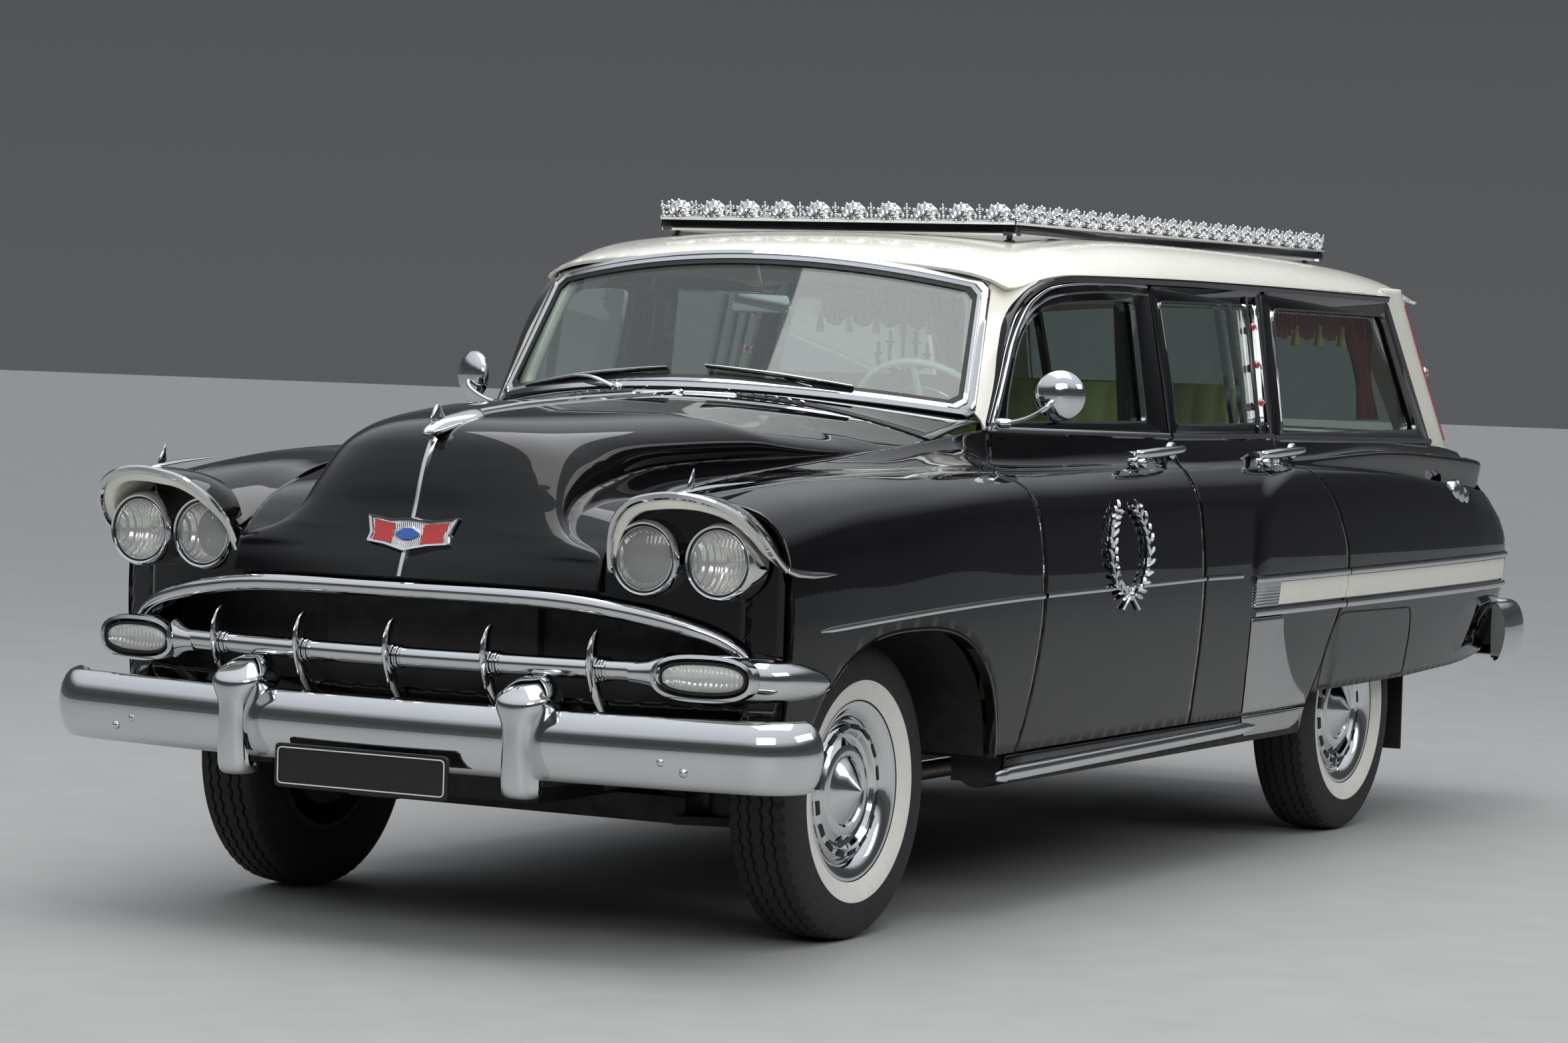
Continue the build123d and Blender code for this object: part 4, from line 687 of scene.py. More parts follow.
# Bonnet: centre y and z, half width of the bulge, its depth share and power, then the edge as x, y and z
HOOD = (
    (-2341, 806, 484, 1.00, 2.3, 484, -2299, 800), (-2326, 848, 484, 1.00, 2.5, 484, -2287, 843),
    (-2308, 885, 468, 0.97, 2.9, 484, -2270, 881), (-2296, 915, 392, 0.93, 3.3, 485, -2238, 908),
    (-2280, 960, 352, 0.90, 3.4, 487, -2200, 938), (-2262, 1020, 338, 0.88, 3.2, 490, -2150, 968),
    (-2242, 1072, 336, 0.86, 3.0, 495, -2080, 992), (-2212, 1118, 342, 0.86, 2.8, 503, -1990, 1011),
    (-2150, 1151, 356, 0.86, 2.6, 517, -1880, 1032), (-2040, 1171, 390, 0.86, 2.5, 537, -1770, 1047),
    (-1860, 1187, 450, 0.89, 2.4, 564, -1640, 1062), (-1600, 1201, 560, 0.96, 2.3, 608, -1440, 1084),
    (-1350, 1210, 652, 1.00, 2.2, 652, -1270, 1106), (-1122, 1217, 680, 1.00, 2.2, 680, -1122, 1126),
)
HOOD_ROWS = np.array(HOOD, float)


def hood_point(v, u):
    """A point of the bonnet: v along its rows from the lip to the scuttle, u across from -1 to 1."""
    i = min(int(v), len(HOOD) - 2)
    t = v - i
    quad = [HOOD_ROWS[min(max(i + k, 0), len(HOOD) - 1)] for k in (-1, 0, 1, 2)]
    a, b, c, d = quad
    row = 0.5 * (2 * b + (c - a) * t + (2 * a - 5 * b + 4 * c - d) * t * t + (3 * b - a - 3 * c + d) * t ** 3)
    centre_y, centre_z, bulge, depth, power, edge_x, edge_y, edge_z = row
    bulge = min(bulge, edge_x - 6)
    place = abs(u)
    x = bulge * sin(place / 0.84 * pi / 2) if place < 0.84 else lerp(bulge, edge_x, (place - 0.84) / 0.16)
    if x < bulge:
        fall = depth * (1 - (1 - (x / bulge) ** power) ** (1 / power)) if depth < 0.995 else (x / bulge) ** power
        if depth >= 0.93:
            soft = (x / bulge) ** power
            fall = lerp(fall, depth * soft, min((depth - 0.93) / 0.06, 1))
    else:
        fall = lerp(depth, 1, (x - bulge) / max(edge_x - bulge, 1e-6))
    return (x if u > 0 else -x, lerp(centre_y, edge_y, fall), lerp(centre_z, edge_z, fall))


def hood_top(y):
    """Height of the bonnet's middle at y, over its top."""
    return along_table([(row[0], row[1]) for row in HOOD], y)


def build_bonnet():
    across = spaced(-1, 1, 121)
    rows = [[hood_point(v, u) for u in across] for v in spaced(0, len(HOOD) - 1.001, 92)]
    piece("bonnet_skin", *skin(rows), "paint", "bonnet", wall=10, bevel=2.5, stands_for=["hood"])
    middle = [(0, y - 2, z + 1) for _, y, z in [hood_point(v, 0) for v in spaced(0.1, 6.9, 40)]]
    piece("bonnet_strip", *swept(middle, [(6, -5), (7, 0), (6, 5), (-4, 9), (-4, -9)], outward=(0, -1, 0.35)), "chrome",
          "bonnet")
    tail = [(0, y, hood_top(y) + 2) for y in spaced(-2050, -1128, 24)]
    piece("bonnet_tail_strip", *swept(tail, [(7, 0), (3, 6), (-3, 8), (-3, -8), (3, -6)], outward=(0, 0, 1)),
          "chrome", "bonnet")
    build_ornament()
    build_emblem()


def build_ornament():
    """The bonnet's mascot: a low spear with short wings and an upright fin."""
    base = [[(-half, y, low), (-half * 0.5, y, high - 3), (0, y, high), (half * 0.5, y, high - 3), (half, y, low),
             (0, y, low - 6)]
            for y, half, low, high in ((-2262, 3, 1128, 1134), (-2240, 26, 1122, 1146), (-2205, 34, 1126, 1160),
                                       (-2150, 44, 1146, 1170), (-2090, 60, 1160, 1180), (-2060, 40, 1166, 1184),
                                       (-2030, 10, 1170, 1182))]
    fin = [[(half * k, lerp(front, back, s), z) for k, s in ((0, 0), (1, 0.3), (0.7, 0.8), (0, 1), (-0.7, 0.8),
                                                             (-1, 0.3))]
           for z, front, back, half in ((1146, -2250, -2150, 9), (1168, -2238, -2176, 7), (1185, -2222, -2190, 5),
                                        (1192, -2212, -2200, 2))]
    piece("bonnet_mascot", *merged(lofted(base), lofted(fin, flip=True)), "chrome", "bonnet", rounds=2)


BADGE = ((-122, 945), (-60, 936), (0, 941), (60, 936), (122, 945), (106, 904), (112, 884), (60, 879), (0, 866),
         (-60, 879), (-112, 884), (-106, 904))


def badge_sheet(outline, out, grow=1.0):
    """An outline on the bonnet's front, as points that stand out from it."""
    places = [(row[1], row[0]) for row in HOOD[:5]]
    middle = (0, 907)
    points = []
    for x, z in outline:
        px, pz = middle[0] + (x - middle[0]) * grow, middle[1] + (z - middle[1]) * (1 - (1 - grow) * 1.9)
        points.append((px, along_table(places, pz) - out - 7 + abs(px) * 0.09, pz))
    return points


def build_emblem():
    """A plain shield badge on the bonnet's front: a bright frame, a ribbed field, red ends and a blue lozenge."""
    outline = rounded(BADGE, 5, 3)
    loops = [badge_sheet(outline, out, grow) for out, grow in ((-6, 1), (9, 1), (13, 0.97), (12, 0.9), (7, 0.88))]
    piece("bonnet_badge_frame", *lofted(loops, closed_ends=False), "chrome", "bonnet")
    field = badge_sheet([(x * 0.9, 907 + (z - 907) * 0.8) for x, z in outline], 8)
    piece("bonnet_badge_field", field, [tuple(range(len(field)))[::-1]], "badge_silver", "bonnet")
    shape = ((38, 926), (84, 931), (100, 934), (92, 905), (94, 888), (60, 886), (38, 883))
    ends = [(badge_sheet([(side * x, z) for x, z in shape], 9.5), [tuple(range(len(shape)))[::side]])
            for side in (1, -1)]
    piece("bonnet_badge_ends", *merged(*ends), "enamel", "bonnet")
    lozenge = badge_sheet([(-34, 905), (-12, 917), (12, 917), (34, 905), (12, 893), (-12, 893)], 11)
    piece("bonnet_badge_lozenge", lozenge, [tuple(range(6))], "blue_enamel", "bonnet")


# Nose with the grille mouth, as (x, z) along its edges
MOUTH_TOP = ((0, 780), (300, 776), (540, 752), (700, 716), (780, 676), (800, 640))
MOUTH_FOOT_Z = 566
NOSE_TOP = ((0, 797), (484, 794), (486, 890), (510, 905), (560, 985), (620, 1000), (700, 1008), (760, 994),
            (812, 966), (845, 925), (866, 890), (872, 830))


def build_nose():
    xs = sorted(set(spaced(-872, 872, 110) + [-485, 485, -780, 780]))
    front = [x for x in xs if abs(x) <= 800]

    def strip(run, low, high, rows, sink=0.0):
        return skin([[(x, nose_y(x) + sink * (1 - t) ** 2, lerp(low(abs(x)), high(abs(x)), t)) for x in run]
                     for t in spaced(0, 1, rows)])

    def top(x):
        return along_table(NOSE_TOP, x)

    upper = strip(front, lambda x: along_table(MOUTH_TOP, x), top, 14)
    lower = strip(front, lambda x: 470, lambda x: MOUTH_FOOT_Z, 8, sink=46)
    sides = [strip([x for x in xs if side * x >= 792], lambda x: 470, top, 20) for side in (-1, 1)]
    piece("nose_skin", *merged(upper, lower, *sides), "paint", wall=10, bevel=1.5, angle=30, stands_for=["nose_panel"])
    walls = [skin([[(x, nose_y(x) + depth, z) for x in spaced(-800, 800, 30)] for depth, z in places]) for places in
             (((120, 540), (120, 660), (120, 800)), ((14, 800), (120, 800)), ((60, 540), (120, 540)))]
    piece("grille_backing", *merged(*walls), "underside", wall=2)


# Four round lamps in two pairs: (x, y of the rim)
LAMPS = ((769, -2262), (587, -2267))
LAMP_Z = 878


def build_lamps():
    def rings(*profiles):
        return merged(*(turned(profile, (x, y, LAMP_Z), (0, -1, 0), 64) for x, y in LAMPS for profile in profiles))

    pair("headlamp_rims", *rings([(-60, 86), (-6, 86), (8, 84), (15, 79), (13, 75), (6, 74), (2, 70)],
                                 [(4, 71), (9, 70), (10, 68), (6, 66), (2, 66)]), "chrome", stands_for=["front_lamps"])
    pair("headlamp_gaskets", *rings([(2, 75), (6, 73), (6, 70), (2, 69)]), "rubber")
    pair("headlamp_lenses", *rings([(5, 67), (13, 52), (19, 32), (21.5, 14), (22, 0.5)]), "lens", angle=80)
    pair("headlamp_reflectors", *rings([(4, 67), (-14, 60), (-34, 42), (-46, 22), (-50, 9), (-36, 8), (-30, 0.5)]),
         "reflector", angle=80)


# Hooded visors: along the arch, the root on the nose as (x, y, z), then the lip
VISOR = (
    ((492, -2250, 850), (496, -2262, 846)), ((502, -2238, 905), (510, -2290, 908)),
    ((530, -2228, 960), (540, -2322, 962)), ((580, -2218, 996), (590, -2346, 1000)),
    ((640, -2210, 1010), (650, -2358, 1016)), ((700, -2204, 1012), (712, -2357, 1021)),
    ((765, -2196, 1000), (780, -2342, 1012)), ((820, -2184, 966), (838, -2316, 986)),
    ((856, -2172, 920), (874, -2282, 944)), ((872, -2164, 876), (890, -2240, 898)),
    ((878, -2150, 850), (892, -2192, 868)),
)


def build_visors():
    root, lip = [smooth_curve([row[k] for row in VISOR], 5) for k in (0, 1)]
    middle_z, middle_x = 890, 690
    top = [[tuple(Vector(a).lerp(Vector(b), t) + Vector((0, 0, 9 * sin(pi * t)))) for a, b in zip(root, lip)]
           for t in spaced(0, 1, 7)]
    under = []
    for t, depth in ((0, 8), (0.3, 12), (0.6, 19), (0.8, 25), (0.9, 29), (0.95, 28), (0.985, 20), (1.0, 8)):
        line = []
        for a, b in zip(root, lip):
            p = Vector(a).lerp(Vector(b), t)
            inward = Vector((middle_x - p.x, 0, middle_z - p.z)).normalized()
            reach = min(1, (Vector(b) - Vector(a)).length / 90)
            line.append(tuple(p + inward * lerp(4, depth, reach)))
        under.append(line)
    pair("visor_top", *skin(top, flip=True), "paint", stands_for=["lamp_visors"])
    pair("visor_lining", *skin(under), "cream")
    bead = swept(lip, [(6, -3), (8, 4), (4, 9), (-5, 9), (-9, 4), (-6, -3)],
                 outward=lambda p: (p.x - middle_x, 0, p.z - middle_z + 1))
    spear = swept([(892, -2192, 868), (896, -2150, 858), (901, -2090, 852), (904, -2040, 851), (906, -1990, 850)],
                  [(5, -2), (7, 3), (4, 7), (-3, 8), (-3, -6)], sizes=[1.25, 1.3, 1.1, 0.8, 0.15])
    pair("visor_bead", *merged(bead, spear), "chrome")
    strip = swept([(700, -2330, 1024), (702, -2270, 1031), (706, -2200, 1037), (712, -2110, 1041), (718, -2020, 1045)],
                  [(5, 0), (3, 9), (-4, 13), (-4, -13), (3, -9)], outward=(0, 0, 1), sizes=[0.6, 1.2, 1, 0.7, 0.1])
    blade = [[(702, front, z), (702 + half, lerp(front, back, 0.4), z), (702, back, z),
              (702 - half, lerp(front, back, 0.4), z)]
             for z, front, back, half in ((1026, -2318, -2240, 6), (1050, -2296, -2262, 5), (1068, -2280, -2266, 3.5),
                                          (1078, -2273, -2266, 1.5))]
    pair("wing_spear", *merged(strip, lofted(blade, flip=True)), "chrome", rounds=1)


# Grille
TEETH_X = (0, 248, -248, 498, -498)
BAR_Z = 636


def bar_y(x):
    return -2362 + 88 * (x / 690) ** 2


def build_grille():
    arch = smooth_curve([(0, -2334, 781), (366, -2318, 778), (560, -2286, 758), (690, -2256, 731), (760, -2232, 706),
                         (800, -2214, 676), (812, -2206, 655)], 8)
    half_round = [(20, 0), (18, 9), (11, 17), (2, 20), (-6, 19), (-6, -19), (2, -20), (11, -17), (18, -9)]
    sizes = [1.0 if abs(p[0]) < 600 else lerp(1.0, 0.62, (abs(p[0]) - 600) / 212) for p in arch]
    parts = [swept(both_sides(arch), half_round, outward=(0, -1, 0), sizes=sizes[::-1][:-1] + sizes),
             swept([(x, bar_y(x), BAR_Z) for x in spaced(-668, 668, 60)], ring_profile(23, 18), outward=(0, -1, 0))]
    parts += [turned([(-3, 20), (-2, radius), (2, radius), (3, 20)], (x + shift, bar_y(x + shift), BAR_Z), (1, 0, 0),
                     28)
              for x in TEETH_X for shift, radius in ((9, 29), (16, 26.5), (23, 28), (30, 25.5))]
    piece("grille_bars", *merged(*parts), "chrome", stands_for=["grille"])
    teeth = []
    for x in TEETH_X:
        line = [(x, bar_y(x) + depth, z) for depth, z in ((34, 534), (16, 556), (-6, 590), (-24, 634), (-26, 672),
                                                          (-16, 700), (2, 716))]
        teeth.append(swept(smooth_curve(line, 4), [(16, 0), (12, 5), (-14, 7), (-14, -7), (12, -5)],
                           outward=(0, -1, 0.1), sizes=tapering(25, 0.35, 1, 8)))
    piece("grille_teeth", *merged(*teeth), "chrome", angle=50)
    build_parking_lamps()


POD = (752, 629)


def oval(half_x, half_z):
    """An outline between an ellipse and a rectangle."""
    return [(half_x * abs(c) ** (2 / 2.6) * (1 if c > 0 else -1), half_z * abs(s) ** (2 / 2.6) * (1 if s > 0 else -1))
            for c, s in ring_profile(1, 40)]


def build_parking_lamps():
    """Oval parking lamps in chrome pods that wrap round onto the wings."""
    def rings(*steps):
        return lofted([[(POD[0] + x, y + x * 0.16, POD[1] + z) for x, z in oval(half_x, half_z)]
                       for half_x, half_z, y in steps], closed_ends=False)

    shell = rings((117, 51, -2252), (120, 53, -2284), (117, 51, -2300), (108, 43, -2303), (101, 37, -2290))
    wrap = [[(x + half_x * c * (1 if c > 0 else 0.6), y, (low + high) / 2 + (high - low) / 2 * s)
             for c, s in ring_profile(1, 20)]
            for y, x, half_x, low, high in ((-2262, 800, 66, 580, 678), (-2230, 838, 62, 578, 676),
                                            (-2180, 862, 50, 577, 672), (-2110, 876, 38, 577, 662),
                                            (-2050, 884, 28, 580, 648), (-2005, 888, 20, 588, 634),
                                            (-1988, 890, 10, 600, 622))]
    neck = [[(x, y + half * c, POD[1] + half * s + 4) for c, s in ring_profile(1, 20)]
            for x, y, half in ((655, -2268, 47), (640, -2278, 40), (622, -2288, 31), (600, -2296, 26),
                               (580, -2300, 24))]
    pair("parking_pod", *merged(shell, lofted(wrap), lofted(neck, flip=True)), "chrome")
    pair("parking_gasket", *rings((101, 37, -2293), (99, 35.5, -2299), (94, 31, -2299), (92, 29, -2291)), "rubber")
    pair("parking_reflector", *rings((93, 30, -2292), (80, 24, -2276), (40, 14, -2270), (1, 1, -2269)), "reflector",
         angle=80)
    pair("parking_lens", *rings((93, 30, -2294), (88, 27, -2304), (70, 20, -2309), (35, 10, -2311), (1, 1, -2312)),
         "park_lens", angle=80)


# Bumpers
def bar_line(middle_y, corner, end):
    """Half of a bumper's line in plan: an arc from the middle to the corner and a tighter one round to the end."""
    (cx, cy), (ex, ey) = corner, end
    rise = cy - middle_y
    big = (cx * cx + rise * rise) / (2 * rise)
    turn = asin(cx / big)
    line = [(big * sin(turn * i / 40), middle_y + big * (1 - cos(turn * i / 40))) for i in range(41)]
    along = Vector((cos(turn), sin(turn)))
    chord = Vector((ex - cx, ey - cy))
    side = Vector((-along.y, along.x))
    small = chord.length_squared / (2 * chord.dot(side))
    total = 2 * atan2(chord.dot(side), chord.dot(along))
    for i in range(1, 21):
        angle = total * i / 20
        p = Vector((cx, cy)) + along * small * sin(angle) + side * small * (1 - cos(angle))
        line.append((p.x, p.y))
    return line


FRONT_BAR = ((27, -20), (29.4, 0), (27.5, 22), (22.5, 42), (14, 60), (4, 72), (-8, 78), (-22, 74), (-29, 64),
             (-24, 60), (-12, 64), (-2, 56), (6, 38), (9, 0), (7, -46), (0, -62), (-6, -68), (-8, -75), (-2, -79),
             (8, -74), (16, -60), (23, -40))


def away_from(centre):
    """The outward direction in plan, as seen from a point inside the car."""
    return lambda p: (p - Vector(centre)) * Vector((1, 1, 0))


PLATE_HALF_X, PLATE_HALF_Z = 229, 49


def plate_outline():
    corners = [(x, z) for x, z in ((-PLATE_HALF_X, -PLATE_HALF_Z), (PLATE_HALF_X, -PLATE_HALF_Z),
                                   (PLATE_HALF_X, PLATE_HALF_Z), (-PLATE_HALF_X, PLATE_HALF_Z))]
    return rounded(corners, 12, 4)


def build_front_bumper():
    line = bar_line(-2401, (880, -2322), (974, -2190))
    path = both_sides([(x, y, 470) for x, y in line])
    sizes = [1.0] * len(path)
    for i, share in enumerate((0.72, 0.86, 0.94, 0.98)):
        sizes[i] = sizes[-1 - i] = share
    bar = swept(path, [(u, -v) for u, v in FRONT_BAR], outward=away_from((0, -1200, 470)), sizes=sizes)
    piece("front_bumper_bar", *bar, "chrome", angle=50, stands_for=["front_bumper"])
    piece("front_bumper_guards", *merged(guard(375, -2401), guard(-375, -2401)), "chrome", rounds=2, angle=60)
    bolts = []
    for x, z in ((752, 432), (-752, 432), (700, 452), (-700, 452)):
        y = along_table([(abs(a), b) for a, b in line[:41]], abs(x)) - 22
        bolts.append(turned([(-2, 11), (4, 10), (8, 6), (9.5, 0.5)], (x, y, z), (x / 4000, -1, 0), 20))
    piece("front_bumper_bolts", *merged(*bolts), "chrome")

    def plate_loop(y, grow):
        return [(-22 + x * (PLATE_HALF_X + grow) / PLATE_HALF_X, y, 384 + z * (PLATE_HALF_Z + grow) / PLATE_HALF_Z)
                for x, z in plate_outline()]

    loops = [plate_loop(*step) for step in ((-2440, 0), (-2446, 0), (-2447.5, -1.5), (-2447.5, -5), (-2445, -7))]
    piece("front_number_plate", *lofted(loops, flip=True), "plate", angle=25)
    border = swept(plate_loop(-2447.8, -9), [(0.8, -1.3), (0.8, 1.3), (-1, 1.3), (-1, -1.3)], outward=(0, -1, 0),
                   closed=True)
    piece("front_plate_border", *border, "whitewall")
    bracket = lofted([[(x, y, z) for x, z in rounded([(-60, 330), (60, 330), (60, 420), (-60, 420)], 6, 3)]
                      for y in (-2438, -2415)])
    hangers = [lofted([[(x + dx, y, z) for dx, z in ((-26, 400), (26, 400), (26, 460), (-26, 460))]
                       for y in (-2390, -2336)]) for x in (-372, 372)]
    piece("front_bumper_irons", *merged(bracket, *hangers), "underside", bevel=2)


# A guard's rings, as z, its shift to the rear, reach to the front and the back, and half width
GUARD = ((350, 0, 26, 0, 24), (353, 0, 44, -16, 38), (366, 0, 58, -24, 45), (400, 0, 62, -26, 45),
         (450, 0, 64, -28, 42),
         (495, 0, 64, -30, 40), (518, 0, 64, -46, 45), (536, 0, 65, -78, 57), (552, 0, 66, -96, 66),
         (566, 2, 64, -100, 68), (580, 10, 54, -98, 62), (594, 22, 38, -94, 50), (606, 34, 20, -86, 36),
         (614, 46, -2, -74, 20), (617, 54, -22, -62, 7))


def guard(x, y):
    """A bumper guard: a pad over the bar with wide shoulders, and a cap that slopes up to the rear."""
    loops = []
    for z, shift, front, back, half in GUARD:
        loop = []
        for c, s in ring_profile(1, 16):
            depth = front if c > 0 else -back
            c, s = abs(c) ** 0.8 * (1 if c > 0 else -1), abs(s) ** 0.8 * (1 if s > 0 else -1)
            loop.append((x + half * s, y + shift * 0.4 - depth * c, z))
        loops.append(loop)
    return lofted(loops, flip=True)


def build_rear_bumper():
    line = bar_line(2411, (872, 2370), (946, 2290)) + [(948, 2250), (947, 2200), (943, 2150)]
    profile = [(u, v * 89 / 79) for u, v in FRONT_BAR]
    bar = swept(both_sides([(x, y, 530) for x, y in line]), profile, outward=away_from((0, 1300, 530)))
    end = profile[:6] + [(-14, 80), (-16, 0), (-14, -78)] + profile[-3:]
    ends = [lofted([[(side * (line[-1][0] + u), y, 530 + v) for u, v in end] for y in (2147, 2151)], flip=side < 0)
            for side in (1, -1)]
    piece("rear_bumper_bar", *merged(bar, *ends), "chrome", angle=50, stands_for=["rear_bumper"])
    guards = []
    for side in (1, -1):
        points, faces = guard(side * 375, 0)
        guards.append(([(x, 2400 - y, z + 18) for x, y, z in points], [f[::-1] for f in faces]))
    piece("rear_bumper_guards", *merged(*guards), "chrome", rounds=2, angle=60)
    loops = [[(x, y, 700 + z) for x, z in plate_outline()] for y in (2296, 2301)]
    piece("rear_number_plate", *lofted(loops), "plate", "tailgate", angle=25)


# Wheels
def build_wheels():
    for place, side, x, y in (("front_left", 1, FRONT_HALF_TRACK, FRONT_AXLE_Y),
                              ("front_right", -1, FRONT_HALF_TRACK, FRONT_AXLE_Y),
                              ("rear_left", 1, REAR_HALF_TRACK, REAR_AXLE_Y),
                              ("rear_right", -1, REAR_HALF_TRACK, REAR_AXLE_Y)):
        build_wheel(place, side, (x, y, TYRE_RADIUS))


def build_wheel(place, side, hub):
    ring_in, ring_out = settings().whitewall_inner / MM, settings().whitewall_outer / MM
    carrier = {"body": f"{place}_wheel", "side": side}

    def ring(profile, count=96):
        return turned(profile, hub, count=count)

    wall_run = [(61.5, 201), (63, 207), (68, ring_in + 1)]
    white_run = [(68.4, ring_in), (73, ring_in + 10), (78.5, ring_in + 24), (82, ring_in + 36), (83.2, ring_out - 2),
                 (83.4, ring_out)]
    outer_run = [(83.4, ring_out), (84, 262), (84, 276), (82.5, 292), (80, 308), (77, 318), (74, 323)]
    inner_run = [(-a, r) for a, r in (outer_run[::-1] + white_run[::-1] + wall_run[::-1])]
    piece(f"tyre_{place}_rubber", *merged(ring(wall_run), ring(outer_run), ring(inner_run), tyre_tread(hub)), "tyre",
          stands_for=[f"tyre_{place}"], angle=30, **carrier)
    piece(f"tyre_{place}_whitewall", *ring(white_run), "whitewall", **carrier)
    piece(f"wheel_{place}_rim", *ring([(-62, 203), (-67, 206), (-68, 190), (-58, 186), (-20, 180), (30, 178),
                                       (40, 184)]),
          "underside", stands_for=[f"wheel_{place}"], **carrier)
    piece(f"wheel_{place}_trim_ring", *ring([(40, 160), (52, 168), (60, 180), (65, 194), (67.5, 203), (66.5, 206),
                                             (63, 206)]), "wheel_chrome", **carrier)
    cap = [(36, 163), (44, 158), (50, 150), (52, 141), (48, 134), (39, 128), (36, 120), (40, 112), (47, 104), (50, 94),
           (50, 84), (46, 78), (48, 73), (56, 62), (66, 42), (76, 22), (84, 8), (88, 0.5)]
    piece(f"wheel_{place}_cap", *ring(cap, 120), "wheel_chrome", angle=24, **carrier)
    # The slots are dark sheets laid on the cap: painted shade in place of openings
    slots = [([(hub[0] + 53.2 - (r - 140) * 0.24, hub[1] + r * cos(angle + turn), hub[2] + r * sin(angle + turn))
               for turn, r in ((-0.11, 140), (0.11, 140), (0.11, 152), (-0.11, 152))], [(0, 1, 2, 3)])
             for angle in [2 * pi * (i + 0.5) / 16 for i in range(16)]]
    piece(f"wheel_{place}_slots", *merged(*slots), "rubber", wall=2, **carrier)


def tyre_tread(hub):
    """The tread: ribs with zigzag grooves between them, and shoulder blocks."""
    count = 240
    # As (across, radius, kind): kind 1 is a shoulder block, 2 and 3 are the sides of the zigzag grooves
    profile = [(74, 323, 0), (70, 330, 0), (66, 334, 1), (47, 337, 0), (45, 337, 2), (43, 331, 2), (39, 331, 2),
               (37, 338, 2), (20, 339.6, 3), (18, 333, 3), (14, 333, 3), (12, 339.8, 3)]
    profile += [(-a, r, k) for a, r, k in profile[::-1]]
    points = []
    for i in range(count):
        angle = 2 * pi * i / count
        wave = 2.6 if i % 4 < 2 else -2.6
        for across, radius, kind in profile:
            r = radius - (6 if kind == 1 and i % 4 == 0 else 0)
            points.append((hub[0] + across + (wave if kind > 1 else 0), hub[1] + r * cos(angle),
                           hub[2] + r * sin(angle)))
    return points, grid_faces(count, len(profile), loop_rows=True)


# Doors and quarters; the front windows' surface as (y, x) at heights of 1126 and 1517
GLASS_BELT = ((-900, 700), (-843, 709), (-780, 719), (-662, 739), (-604, 749), (-400, 782), (-200, 808), (-42, 824))
GLASS_TOP = ((-900, 640), (-843, 645), (-780, 652), (-723, 659), (-662, 668), (-604, 682), (-532, 702), (-460, 724),
             (-300, 741), (-42, 752))


def glass_x(y, z):
    """The outer face of the window frames: it leans in from the belt to the drip rail, and inward to the front."""
    if y < -42:
        low, top = along_table(GLASS_BELT, y), along_table(GLASS_TOP, y)
        return lerp(low, top, (z - 1126) / 391)
    top = lerp(752, 738, min(max((y - 700) / 1275, 0), 1))
    belt = side_xz(min(max(y, -1100), 2200), BELT)
    return lerp(belt[0], top, (z - belt[1]) / (1517 - belt[1]))


def build_doors():
    def low(y):
        return 392

    def middle(z, s=0):
        return edge_at(MIDDLE_SHUT, z)

    front = side_panel(front_shut, middle, low, 58, 56, back_gap=SHUT_GAP / 2)
    pair("front_door_skin", *front, "paint", "LEFT_front_door", wall=16, bevel=2.5, stands_for=["door_front_LEFT"])
    rear = side_panel(middle, lambda z: edge_at(REAR_SHUT, z), low, 84, 72, front_gap=SHUT_GAP / 2)
    pair("rear_door_skin", *rear, "paint", "LEFT_rear_door", wall=16, bevel=2.5, stands_for=["door_rear_LEFT"])
    for name, start, end in (("front", -850, -60), ("rear", -25, 640)):
        rows = [[(x or glass_x(y, 1126) - 42, y, z) for y in spaced(start, end, 8)]
                for z, x in ((400, 850), (760, 872), (1000, 806), (1040, 0), (1128, 0))]
        pair(f"{name}_door_card", *skin(rows), "leather", f"LEFT_{name}_door", wall=8, bevel=2)


# Skirt and quarter edges in side view
QUARTER_REAR = ((398, 2190), (453, 2215), (520, 2262), (600, 2290), (662, 2300), (768, 2302), (865, 2296),
                (938, 2252), (986, 2215), (1060, 2205))


QUARTER_LOW = ((740, 426), (820, 428), (1485, 430), (1600, 433), (2085, 444), (2160, 450), (2215, 462), (2300, 500))


def quarter_low(y):
    """The lower edge of the rear quarter: down to the sill in front, over the skirt, then rising to the tail."""
    return along_table(QUARTER_LOW, y)


def build_quarters():
    panel = side_panel(lambda z, s: edge_at(REAR_SHUT, z) + SHUT_GAP, lambda z: edge_at(QUARTER_REAR, z), quarter_low,
                       110, 84)
    pair("rear_quarter_skin", *panel, "paint", wall=14, bevel=2, stands_for=["quarter_LEFT"])
    outline = rounded([(985, 640), (1465, 632), (1484, 560), (1480, 431), (815, 429), (842, 560), (905, 640)], 34, 5)
    groove = [side_point(y, max(z, 432), 0.6) for y, z in smooth_curve(outline[10:] + outline[:22], 1)]
    seam = swept([p for p in groove if p[2] > 436], [(0.6, -2.4), (0.8, 2.4), (-3, 2.4), (-3, -2.4)])
    pair("skirt_seam", *seam, "rubber", stands_for=["fender_skirts"])
    tail = []
    for z in spaced(466, 1046, 30):
        start = edge_at(QUARTER_REAR, z) - 1
        end_x = side_xz(start, height_place(start, z))[0] if z < 938 else along_table(
            ((938, 850), (962, 836), (1030, 848), (1050, 800)), z)
        deep = along_table(((466, 24), (600, 60), (860, 58), (940, 48), (1046, 30)), z)
        tail.append([(lerp(700, end_x, cos(s * pi / 2) ** 0.7), start + deep * sin(s * pi / 2) ** 0.9, z)
                     for s in spaced(0, 1, 12)] + [(694, 2258, z)])
    pair("tail_corner", *skin(tail), "paint", wall=10)


